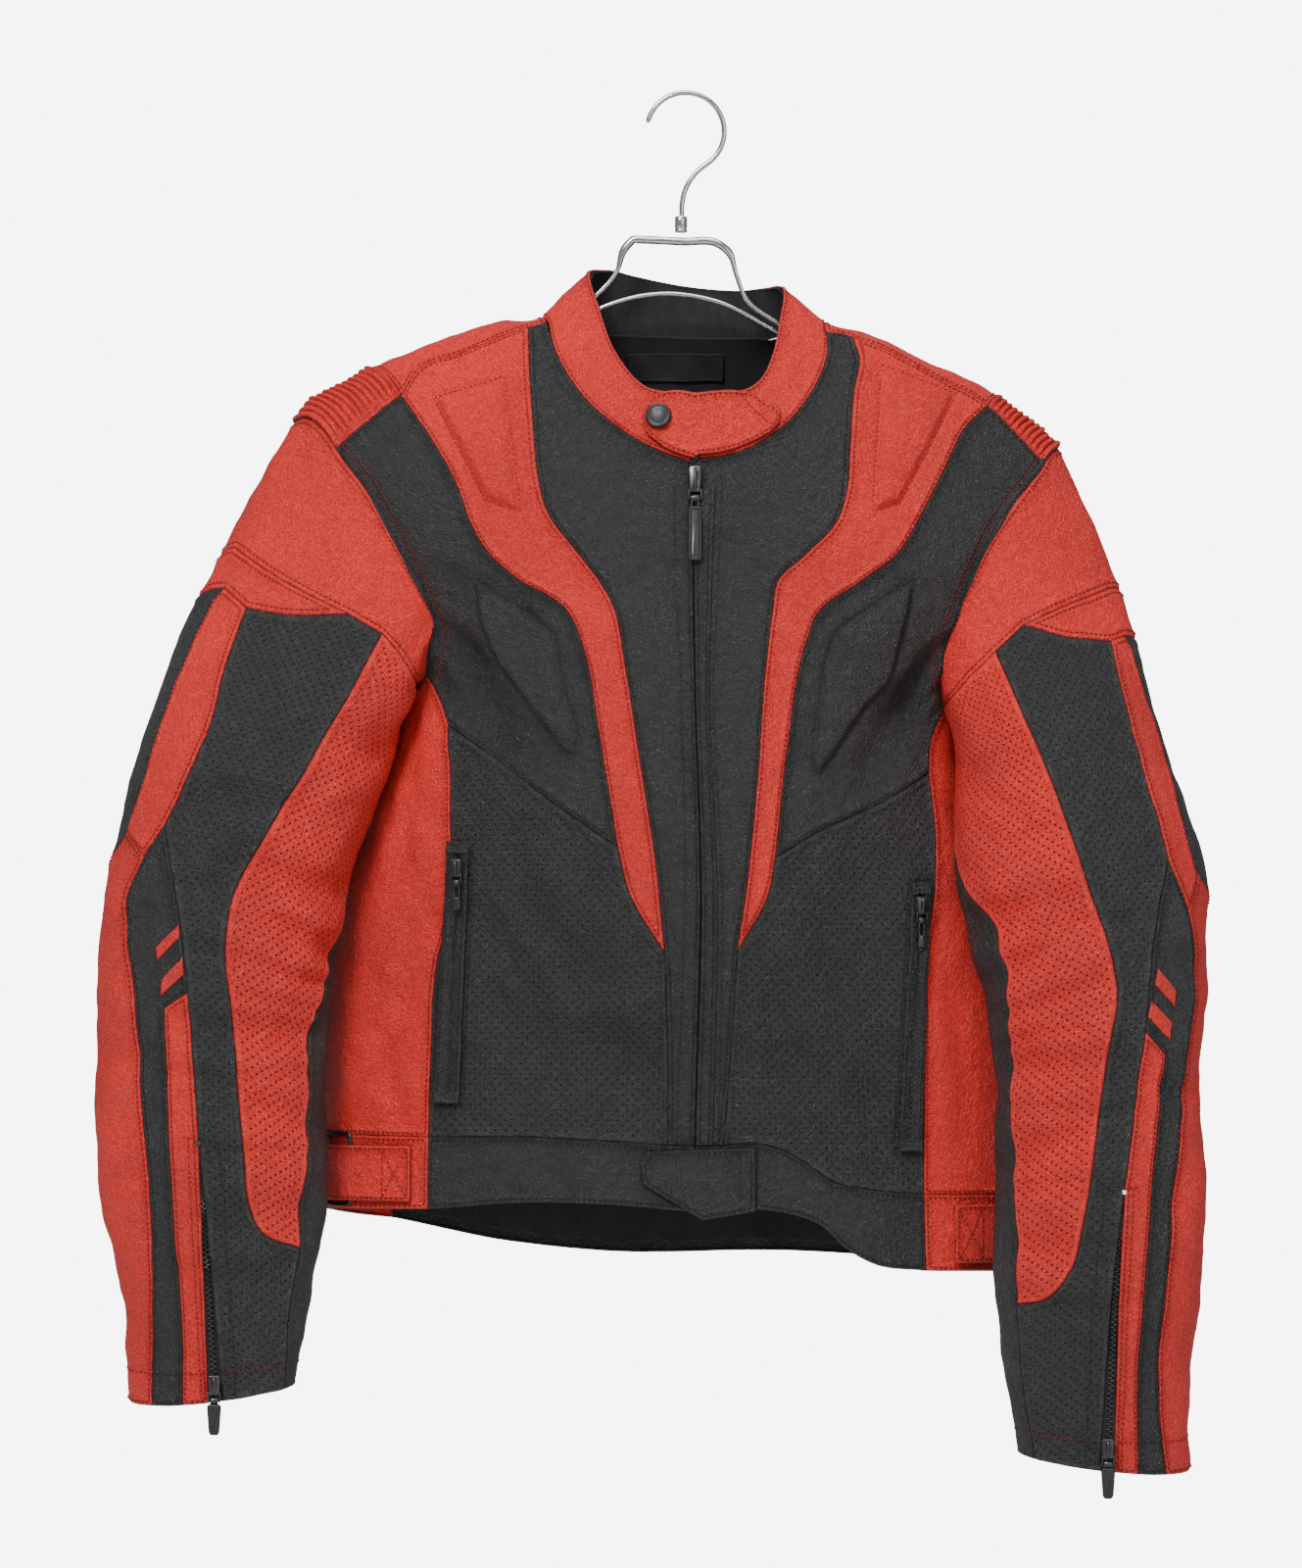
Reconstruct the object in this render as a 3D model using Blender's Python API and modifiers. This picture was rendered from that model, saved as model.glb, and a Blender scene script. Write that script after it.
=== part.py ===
"""Red and black leather motorcycle jacket hanging on a wire hanger.

Lengths below are millimetres and are turned into metres as each mesh is made. The origin is the inside
of the hook's crown, +Z is up and the front of the jacket faces -Y. "Left" and "right" are the viewer's.
Every leather piece is a wall on one of four charts, each a surface worked out from a few sections:
the torso's rings, the shoulder's ridge, each sleeve's rings and the collar's stand.
"""

import math

import bpy
import numpy as np
from mathutils import Matrix, Vector
from mathutils.geometry import delaunay_2d_cdt

MM = 0.001
WALL = 2.0  # leather with its backing
SEAM_GAP = 0.3
WELT_LIFT = 3.4
PANEL_STEP = 42.0  # spacing of the points inside a panel
SEAM_STEP = 40.0  # longest stretch along a seam
AROUND = 190.0  # torso chart: millimetres for each radian round the body
ARM_AROUND = 62.0  # sleeve chart: millimetres for each radian round the arm
SHOULDER_DROP = 150.0  # height over which front and back close to the ridge
SHOULDER_ARC = 175.0  # length of that quarter, measured over the cloth
CENTRE_X = 2.0
CROTCH_Z = {"left": -410.0, "right": -418.0}
RIBS = {"left": 13, "right": 12}
RIB_HEIGHT = 2.2
PAD_HEIGHT = 4.5
PAD_EDGE = 7.0
COLLAR_HEIGHT = 40.0
FRONT_OPENING = 6.0  # between the collar's two ends
SLEEVE_CLEARANCE = 4.0
ARMHOLE_GAP = 0.6
CAP_BACK_END = -118.0  # degrees round the sleeve where the cap ends at the back of the armhole
UNDERARM_START = 62.0  # the rings fan out from the crotch, so the underarm starts this far down them
BELT_HEIGHT = 49.0
SIDE_SEAM_DEG = 126.0  # where the red side panels meet the back
NUDGE = 1.5

# Torso sections: height, half width left and right, depth of front and back
TORSO = np.array(
    [
        (-800, 246, 236, 61, 52),
        (-720, 246, 234, 64, 52),
        (-640, 246, 228, 70, 55),
        (-571, 240, 218, 77, 60),
        (-520, 230, 205, 82, 64),
        (-471, 208, 188, 85, 67),
        (-432, 192, 178, 86, 68),
        (-415, 186, 176, 86, 68),
        (-390, 191, 187, 85, 68),
        (-345, 222, 228, 81, 66),
        (-300, 250, 256, 77, 64),
        (-240, 282, 280, 69, 61),
        (-140, 292, 290, 62, 58),
    ],
    float,
)

# Shoulder line seen from the front: x, z
RIDGE = np.array(
    [
        (-290, -241), (-263, -219), (-255, -211), (-233, -196), (-211, -184), (-168, -165),
        (-98, -148), (0, -138), (94, -152), (120, -159), (144, -169), (172, -182),
        (200, -196), (220, -210), (235, -223), (250, -236), (275, -262),
    ],
    float,
)

# Sleeve sections: outer x, z and inner x, z seen from the front, middle y, depth to front and back
SLEEVE = {
    "left": np.array(
        [
            (-263, -219, -184, -410, -2, 62, 62),
            (-310, -304, -186, -414, -10, 64, 68),
            (-333, -350, -187, -426, -23, 63, 76),
            (-356, -411, -197, -454, -35, 60, 76),
            (-376, -493, -222, -519, -43, 53, 70),
            (-387, -536, -228, -554, -47, 50, 66),
            (-391, -592, -235, -598, -50, 47, 60),
            (-391, -662, -239, -663, -52, 44, 54),
            (-387, -742, -240, -742, -53, 41, 48),
            (-374, -802, -249, -802, -52, 37, 42),
            (-369, -870, -261, -860, -50, 32, 36),
        ],
        float,
    ),
    "right": np.array(
        [
            (250, -236, 178, -418, -2, 62, 62),
            (290, -333, 181, -422, -12, 64, 70),
            (306, -390, 182, -437, -34, 61, 78),
            (320, -445, 179, -471, -44, 57, 76),
            (345, -526, 181, -540, -59, 51, 70),
            (345, -556, 189, -571, -62, 49, 67),
            (345, -598, 198, -603, -65, 46, 62),
            (339, -653, 205, -653, -67, 43, 56),
            (343, -722, 204, -722, -67, 41, 50),
            (341, -798, 205, -793, -65, 38, 45),
            (335, -849, 211, -849, -62, 35, 40),
            (333, -915, 220, -904, -59, 32, 36),
        ],
        float,
    ),
}

# Collar, from the left end round the back to the right end: foot x, z, 1 behind the ridge, top x, y, z
COLLAR = [
    (3, -248, 0, 4, -62, -203),
    (-39, -229, 0, -27, -51, -197),
    (-69, -203, 0, -45, -38, -176),
    (-89, -166, 0, -58, -18, -142),
    (-98, -148, 0, -64, 3, -117),
    (-80, -152, 1, -54, 19, -115),
    (-50, -160, 1, -36, 29, -119),
    (0, -166, 1, 0, 35, -126),
    (50, -163, 1, 36, 30, -129),
    (80, -157, 1, 56, 20, -127),
    (94, -152, 0, 65, 4, -126),
    (94, -176, 0, 63, -18, -151),
    (84, -200, 0, 58, -36, -175),
    (54, -232, 0, 43, -51, -198),
    (9, -246, 0, 9, -62, -203),
]

# Seams seen from the front: x, z
SEAMS = {
    "neck left": [(3, -248), (-14, -242), (-39, -229), (-55, -217), (-69, -203), (-81, -185), (-89, -166), (-93, -151)],
    "neck right": [(9, -246), (20, -245), (36, -241), (54, -232), (71, -218), (84, -200), (94, -176), (94, -158)],
    "yoke left": [(-93, -151), (-105, -156), (-153, -174), (-179, -184), (-190, -202)],
    "yoke right": [(94, -158), (112, -162), (144, -177), (172, -191), (193, -202), (202, -209)],
    "stripe inner left": [
        (-105, -156), (-104, -188), (-101, -228), (-98, -258), (-92, -281), (-73, -307),
        (-57, -328), (-49, -342), (-40, -385), (-31, -442), (-21, -506), (-14, -573),
    ],
    "stripe inner right": [
        (112, -162), (116, -176), (112, -200), (109, -239), (107, -266), (101, -286), (78, -311),
        (60, -329), (58, -342), (53, -382), (47, -460), (42, -515), (34, -573),
    ],
    "stripe outer left": [
        (-190, -202), (-168, -234), (-153, -261), (-143, -288), (-133, -306), (-114, -324),
        (-78, -348), (-72, -359), (-68, -371), (-57, -430), (-45, -503),
    ],
    "stripe outer right": [
        (202, -209), (188, -222), (172, -252), (153, -289), (143, -306), (117, -327),
        (87, -349), (79, -369), (68, -430), (59, -510),
    ],
    "stripe tip left": [(-45, -503), (-38, -532), (-14, -573)],
    "stripe tip right": [(59, -510), (55, -532), (34, -573)],
    "armhole front left": [
        (-233, -239), (-213, -266), (-197, -295), (-183, -322), (-173, -344), (-170, -364), (-173, -390),
    ],
    "armhole front right": [
        (240, -248), (220, -274), (201, -304), (188, -333), (177, -364), (171, -390), (172, -410),
    ],
    "armhole back left": [(-244, -221), (-224, -256), (-208, -292), (-198, -325), (-190, -355), (-184, -384)],
    "armhole back right": [(232, -240), (216, -270), (200, -304), (190, -336), (183, -364), (177, -392)],
    "chest left": [(-158, -422), (-122, -448), (-86, -475), (-45, -503)],
    "chest right": [(162, -454), (137, -470), (84, -495), (59, -510)],
    "side top left": [(-173, -390), (-163, -408), (-158, -422)],
    "side top right": [(172, -410), (163, -436), (162, -454)],
    "side left": [(-158, -422), (-157, -484), (-161, -564), (-164, -575), (-169, -634), (-171, -696)],
    "side right": [(162, -454), (166, -494), (163, -552), (160, -566), (158, -618), (158, -688), (158, -734)],
    "placket left": [(-14, -573), (-12, -634), (-12, -701)],
    "placket right": [(34, -573), (30, -634), (25, -701)],
    "zip": [(6, -247), (5, -315), (6, -396), (10, -543), (8, -630), (6, -701)],
    "waist left": [(-171, -696), (-91, -696), (-12, -701)],
    "waist middle left": [(-12, -701), (6, -701)],
    "waist middle right": [(6, -701), (25, -701)],
    "waist right": [(25, -701), (46, -700), (64, -704), (80, -713), (97, -725), (125, -731), (158, -734)],
    "hem left": [(-172, -744), (-109, -739), (-36, -741), (6, -745)],
    "hem right": [(6, -745), (46, -743), (68, -746), (88, -753), (107, -770), (125, -780), (160, -785)],
}
RIB_EDGES = {  # on the shoulder chart: x, distance from the ridge, front positive
    "left": ([(-205, -48), (-211, 0), (-190, 69)], [(-244, -52), (-263, 0), (-233, 86)]),
    "right": ([(196, -48), (209, 0), (202, 45)], [(232, -52), (250, 0), (240, 58)]),
}
BACK_HEM = [(-246, -744), (-200, -753), (-121, -770), (-58, -777), (68, -777), (180, -783), (238, -786)]

PADS = {
    "red left": [(-168, -204), (-121, -190), (-110, -281), (-133, -273)],
    "red right": [(131, -182), (181, -200), (142, -275), (124, -280)],
    "black left": [
        (-142, -325), (-104, -349), (-87, -362), (-82, -393), (-70, -433), (-73, -443),
        (-82, -441), (-122, -385), (-137, -354),
    ],
    "black right": [
        (151, -326), (149, -344), (140, -377), (134, -395), (118, -411), (89, -455),
        (83, -450), (86, -422), (91, -385), (98, -363), (103, -357),
    ],
}

# Largest folds of the torso seen from the front: from x, z to x, z, half width, depth
TORSO_FOLDS = [
    (-172, -352, -118, -438, 13, 7),
    (-150, -330, -146, -400, 12, 4),
    (150, -400, 118, -462, 14, 5),
    (168, -372, 148, -420, 12, 4),
    (-150, -455, -120, -545, 16, 3.5),
    (-60, -630, 0, -660, 22, 3),
    (95, -560, 130, -690, 18, 5),
    (60, -600, 88, -700, 16, 4),
]
# Largest folds of the sleeves: degrees round, distance down, then the same again, half width, depth
SLEEVE_FOLDS = [
    (150, 70, 100, 110, 13, 4),
    (165, 185, 95, 205, 12, 5),
    (170, 235, 110, 225, 11, 4),
    (160, 300, 85, 318, 12, 4),
    (170, 372, 100, 360, 12, 3.5),
    (150, 430, 90, 446, 12, 3),
    (215, 120, 270, 150, 14, 5),
    (220, 240, 280, 232, 13, 6),
    (215, 300, 275, 312, 13, 5),
    (230, 400, 290, 392, 13, 4),
]

# Sleeve seams seen from the front: x, z
SLEEVE_SEAMS = {
    "left": {
        "cap": [(-302, -303), (-281, -318), (-246, -338), (-223, -349)],
        "cap inner": [(-223, -349), (-201, -362)],
        "cap end": [(-201, -362), (-188, -378), (-177, -396)],
        "band": [(-308, -330), (-292, -344)],
        "band inner": [(-292, -344), (-264, -349), (-223, -349)],
        "black outer": [(-292, -344), (-306, -388), (-313, -419), (-326, -451), (-344, -489)],
        "elbow": [(-344, -489), (-357, -509)],
        "red inner": [
            (-201, -362), (-246, -446), (-281, -503), (-298, -536), (-303, -570), (-298, -618),
            (-291, -705), (-287, -740), (-279, -757), (-255, -768),
        ],
        "underarm": [(-249, -637), (-249, -688), (-252, -727), (-255, -768)],
        "underarm low": [(-255, -768), (-262, -809), (-266, -862)],
        "forearm inner": [(-344, -489), (-338, -526), (-333, -554), (-328, -599)],
        "strip inner": [(-328, -599), (-321, -695)],
        "zip strip": [(-321, -695), (-318, -780), (-315, -869)],
        "zip panel": [(-321, -695), (-313, -780), (-306, -867)],
        "strip top": [(-328, -599), (-344, -609)],
        "strip outer": [(-344, -609), (-343, -636), (-337, -760), (-332, -824), (-332, -872)],
        "forearm outer": [(-357, -509), (-370, -536), (-370, -557), (-364, -601), (-358, -679), (-352, -760), (-353, -870)],
        "outer strip": [(-313, -331), (-345, -411), (-357, -452), (-370, -493)],
    },
    "right": {
        "cap": [(283, -331), (259, -340), (245, -346), (224, -356)],
        "cap inner": [(224, -356), (205, -374)],
        "cap end": [(205, -374), (187, -391), (172, -410)],
        "band": [(292, -363), (283, -366)],
        "band inner": [(283, -366), (252, -363), (224, -356)],
        "black outer": [(283, -366), (290, -405), (300, -443), (309, -476), (318, -511)],
        "elbow": [(318, -511), (331, -544)],
        "red inner": [
            (205, -374), (220, -411), (242, -465), (263, -526), (281, -583), (283, -597), (279, -627),
            (273, -662), (264, -731), (260, -753), (253, -780), (235, -801), (218, -804),
        ],
        "underarm": [(203, -560), (210, -590), (212, -618), (214, -688), (217, -760), (218, -804)],
        "underarm low": [(218, -804), (222, -850), (230, -906)],
        "forearm inner": [(318, -511), (311, -546), (306, -584), (302, -624)],
        "strip inner": [(302, -624), (288, -727)],
        "zip strip": [(288, -727), (285, -786), (282, -910)],
        "zip panel": [(288, -727), (281, -786), (273, -908)],
        "strip top": [(302, -624), (315, -639)],
        "strip outer": [(315, -639), (307, -722), (301, -798), (297, -858), (298, -912)],
        "forearm outer": [(331, -544), (337, -578), (336, -601), (330, -639), (325, -688), (317, -786), (311, -858), (317, -914)],
        "outer strip": [(294, -362), (312, -423), (325, -470), (338, -520)],
    },
}

# Zip sliders: middle x, top z, width, body length, pull length, pull width
SLIDERS = {
    "front": (6, -251, 9.4, 18, 42, 9.0),
    "pocket left": (-152, -511, 8.2, 12, 18, 5.6),
    "pocket right": (156, -536, 8.2, 12, 18, 5.6),
    "cuff left": (-311, -851, 8.8, 13, 25, 7.6),
    "cuff right": (277.5, -892, 8.8, 13, 25, 7.6),
}
SLIDER_DEPTH = 4.4
SLIDER_LIFT = 1.2
PIN_DROP = 3.7
PIN_RADIUS = 0.8
KNUCKLE_RADIUS = 2.3
KNUCKLE_HOLE = 1.25
KNUCKLE_GAP = 0.45
EAR_WIDTH = 1.2
PULL_THICK = 1.6

WIRE = 1.8
HOOK_RADIUS = 26.0
HOOK_CENTRE_Z = -(HOOK_RADIUS - WIRE)

COLOURS = {  # base colour, roughness, metallic
    "red leather": ((0.60, 0.045, 0.030, 1), 0.48, 0.0),
    "black leather": ((0.030, 0.030, 0.032, 1), 0.50, 0.0),
    "perforated black leather": ((0.028, 0.028, 0.030, 1), 0.55, 0.0),
    "perforated red leather": ((0.58, 0.045, 0.030, 1), 0.52, 0.0),
    "black lining": ((0.012, 0.012, 0.016, 1), 0.85, 0.0),
    "dark metal": ((0.10, 0.10, 0.11, 1), 0.32, 0.9),
    "silver metal": ((0.62, 0.61, 0.60, 1), 0.22, 1.0),
    "black rubber": ((0.035, 0.035, 0.038, 1), 0.45, 0.0),
}


def clear_scene():
    for obj in list(bpy.data.objects):
        bpy.data.objects.remove(obj, do_unlink=True)


def collection(name):
    made = bpy.data.collections.new(name)
    bpy.context.scene.collection.children.link(made)
    return made


def material(name):
    found = bpy.data.materials.get(name)
    if found:
        return found
    colour, roughness, metallic = COLOURS[name]
    made = bpy.data.materials.new(name)
    made.use_nodes = True
    shader = made.node_tree.nodes["Principled BSDF"]
    shader.inputs["Base Color"].default_value = colour
    shader.inputs["Roughness"].default_value = roughness
    shader.inputs["Metallic"].default_value = metallic
    return made


def spline(knots, values, at):
    """Smooth curve through values at the knots, straight beyond the ends."""
    knots, values, at = (np.asarray(a, float) for a in (knots, values, at))
    slopes = np.gradient(values, knots, axis=0)
    span = np.clip(np.searchsorted(knots, at) - 1, 0, len(knots) - 2)
    length = knots[span + 1] - knots[span]
    f = np.clip((at - knots[span]) / length, 0, 1)
    beyond = at - np.clip(at, knots[0], knots[-1])
    if values.ndim > 1:
        f, length, beyond = f[..., None], length[..., None], beyond[..., None]
    curve = (
        (1 + 2 * f) * (1 - f) ** 2 * values[span]
        + f * (1 - f) ** 2 * length * slopes[span]
        + f * f * (3 - 2 * f) * values[span + 1]
        + f * f * (f - 1) * length * slopes[span + 1]
    )
    return curve + beyond * np.where(beyond < 0, slopes[0], slopes[-1])


def route(points, step=SEAM_STEP):
    """Points along a smooth line that keeps every given point, with none further apart than the step."""
    points = np.asarray(points, float)
    lengths = np.linalg.norm(np.diff(points, axis=0), axis=1)
    knots = np.concatenate([[0], np.cumsum(lengths)])
    at = [np.linspace(a, b, max(1, round((b - a) / step)) + 1)[:-1] for a, b in zip(knots, knots[1:])]
    at = np.concatenate([*at, knots[-1:]])
    return points if len(points) < 3 and len(at) == len(points) else spline(knots, points, at)


def straight(points, step=SEAM_STEP):
    """The same, along straight lines with corners."""
    return loop(*(route(pair, step) for pair in zip(points, points[1:])), points[-1:] * 2)


def loop(*stretches):
    """One closed outline from stretches that meet end to end."""
    return np.concatenate([np.asarray(s, float)[:-1] for s in stretches])


def side_of(points, outline):
    """Distance of each point from a closed outline, positive inside."""
    a, b = outline, np.roll(outline, -1, axis=0)
    run = b - a
    to = points[:, None] - a
    f = np.clip((to * run).sum(-1) / np.maximum((run * run).sum(-1), 1e-9), 0, 1)
    distance = np.linalg.norm(to - f[..., None] * run, axis=-1).min(axis=1)
    y = points[:, None, 1]
    crosses = (a[:, 1] > y) != (b[:, 1] > y)
    rise = np.where(np.abs(run[:, 1]) < 1e-9, 1e-9, run[:, 1])
    hits = crosses & (points[:, None, 0] < a[:, 0] + (y - a[:, 1]) / rise * run[:, 0])
    return np.where(hits.sum(axis=1) % 2 == 1, distance, -distance)


def inset(outline, by):
    """The outline moved inwards, with its sharp corners kept short."""
    ahead = np.roll(outline, -1, axis=0) - outline
    ahead /= np.linalg.norm(ahead, axis=1, keepdims=True)
    behind = np.roll(ahead, 1, axis=0)
    turn = math.copysign(1, area(outline))
    normals = [turn * np.stack([-e[:, 1], e[:, 0]], axis=1) for e in (ahead, behind)]
    middle = normals[0] + normals[1]
    size = np.maximum((middle * middle).sum(axis=1, keepdims=True), 0.2)
    return outline + 2 * by * middle / size


def area(outline):
    x, y = outline.T
    return 0.5 * float((x * np.roll(y, -1) - np.roll(x, -1) * y).sum())


def smoothstep(x):
    x = np.clip(x, 0, 1)
    return x * x * (3 - 2 * x)


class Chart:
    """A surface of the garment, from flat coordinates in millimetres to points in space."""

    def __init__(self, base, outward, folds=()):
        self.base = base
        self.outward = outward
        self.folds = folds

    def fold(self, flat):
        """How far the surface is raised at each point by the folds, which are soft troughs."""
        raised = np.zeros(len(flat))
        for start, end, width, depth in self.folds:
            run = end - start
            f = np.clip(((flat - start) @ run) / (run @ run), 0, 1)
            away = np.linalg.norm(flat - start - f[:, None] * run, axis=1)
            raised -= depth * np.exp(-((away / width) ** 2))
        return raised

    def lay(self, flat, lift=0.0):
        """Points on the surface and their outward normals."""
        flat = np.asarray(flat, float)
        across = self.base(flat + (NUDGE, 0)) - self.base(flat - (NUDGE, 0))
        down = self.base(flat + (0, NUDGE)) - self.base(flat - (0, NUDGE))
        normals = self.outward * np.cross(across, down)
        normals /= np.linalg.norm(normals, axis=1, keepdims=True)
        raised = np.asarray(lift + self.fold(flat))[:, None]
        return self.base(flat) + normals * raised, normals


def ring_at(z):
    return spline(TORSO[:, 0], TORSO[:, 1:], z).T


def ridge_at(x):
    return spline(RIDGE[:, 0], RIDGE[:, 1], x)


def torso_base(flat):
    angle, z = flat[:, 0] / AROUND, flat[:, 1]
    left, right, front, back = ring_at(z)
    x = CENTRE_X + np.where(np.sin(angle) < 0, left, right) * np.sin(angle)
    depth = np.where(np.cos(angle) > 0, front, back) * np.cos(angle)
    rise = np.clip((z - ridge_at(x)) / SHOULDER_DROP + 1, 0, 1)
    return np.stack([x, -depth * np.sqrt(1 - rise**2), z], axis=1)


def ridge_drop(across):
    """Height below the ridge, and the share of the full depth, at a distance over the shoulder."""
    turn = np.minimum(np.abs(across) / SHOULDER_ARC, 1) * math.pi / 2
    return SHOULDER_DROP * (1 - np.cos(turn)), np.sin(turn)


def shoulder_base(flat):
    x, across = flat.T
    drop, share = ridge_drop(across)
    z = ridge_at(x) - drop
    left, right, front, back = ring_at(z)
    half = np.where(x < CENTRE_X, left, right)
    depth = np.where(across > 0, -front, back) * share
    return np.stack([x, depth * np.sqrt(np.clip(1 - ((x - CENTRE_X) / half) ** 2, 0, 1)), z], axis=1)


def front_view(points):
    """Torso chart coordinates of points seen from the front."""
    x, z = np.asarray(points, float).T
    left, right, _, _ = ring_at(z)
    offset = x - CENTRE_X
    share = np.clip(offset / np.where(offset < 0, left, right), -1, 1)
    return np.stack([AROUND * np.arcsin(share), z], axis=1)


def back_view(points, turns=0):
    """Torso chart coordinates of points seen through to the back."""
    flat = front_view(points)
    flat[:, 0] = AROUND * math.pi * (1 + 2 * turns) - flat[:, 0]
    return flat


def over_ridge(flat, turns=0):
    """Torso chart coordinates of points on the shoulder chart."""
    flat = np.asarray(flat, float)
    seen = np.stack([flat[:, 0], ridge_at(flat[:, 0]) - ridge_drop(flat[:, 1])[0]], axis=1)
    return np.where(flat[:, 1:] > 0, front_view(seen), back_view(seen, turns))


def shoulder_view(points):
    """Shoulder chart coordinates of points seen from the front."""
    x, z = np.asarray(points, float).T
    turn = np.arccos(np.clip(1 - (ridge_at(x) - z) / SHOULDER_DROP, 0, 1))
    return np.stack([x, SHOULDER_ARC * turn / (math.pi / 2)], axis=1)


def folds_on(rows, place):
    made = []
    for *ends, width, depth in rows:
        start, end = place(np.array(ends, float).reshape(2, 2))
        made.append((start, end, width, depth))
    return made


PLAIN_CHART = Chart(torso_base, 1)
TORSO_CHART = Chart(torso_base, 1, folds_on(TORSO_FOLDS, front_view))
SHOULDER_CHART = Chart(shoulder_base, -1)
SLEEVES = {}


def seam(name, step=SEAM_STEP):
    """A torso seam, as smooth points on the torso chart."""
    return front_view(route(SEAMS[name], step))


def rib_edge(side, which, steps=10):
    inner, outer = RIB_EDGES[side]
    points = np.array(outer if which == "outer" else inner, float)
    return spline([0, 0.5, 1], points, np.linspace(0, 1, steps + 1))


def rib_front(side):
    """The ribbed panel's front edge, from the yoke to the armhole."""
    ends = np.array([rib_edge(side, which)[-1] for which in ("inner", "outer")])
    return over_ridge(ends[0] + np.linspace(0, 1, 5)[:, None] * (ends[1] - ends[0]))


def rib_back(side):
    ends = np.array([rib_edge(side, which)[0] for which in ("inner", "outer")])
    return ends[0] + np.linspace(0, 1, 5)[:, None] * (ends[1] - ends[0])


def crotch(side):
    """Lowest point of the armhole, under the arm."""
    return np.array([AROUND * math.pi / 2 * (-1 if side == "left" else 1), CROTCH_Z[side]])


def armhole_under(side):
    """The armhole's lowest stretch on the torso chart, from the front round to the back."""
    turns = -1 if side == "left" else 0
    front = front_view(SEAMS[f"armhole front {side}"])[-1]
    back = back_view(SEAMS[f"armhole back {side}"], turns)[-1]
    low = crotch(side)
    points = [front, 0.45 * front + 0.55 * low - (0, 4), low, 0.45 * back + 0.55 * low - (0, 4), back]
    return route(points, 22)


def armhole(side):
    """The whole armhole with its normals, from the ridge down the front, under the arm and up the back."""
    turns = -1 if side == "left" else 0
    edge = rib_edge(side, "outer")
    top = len(edge) // 2
    upper = np.stack(SHOULDER_CHART.lay(edge))
    front = np.stack(TORSO_CHART.lay(seam(f"armhole front {side}")))
    under = np.stack(TORSO_CHART.lay(armhole_under(side)))
    back = np.stack(TORSO_CHART.lay(back_view(route(SEAMS[f"armhole back {side}"]), turns)))
    whole = [upper[:, top:], front[:, 1:], under[:, 1:], back[:, -2::-1], upper[:, 1:top]]
    return np.concatenate(whole, axis=1)


def armhole_flat(side):
    """The armhole's outline on the torso chart."""
    turns = -1 if side == "left" else 0
    edge = rib_edge(side, "outer")
    front = seam(f"armhole front {side}", 15)
    back = back_view(route(SEAMS[f"armhole back {side}"], 15), turns)
    upper = over_ridge(edge, turns)
    top = len(edge) // 2
    return np.concatenate([upper[top + 1 :], front[1:], armhole_under(side)[1:], back[-2::-1], upper[1:top]])


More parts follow.
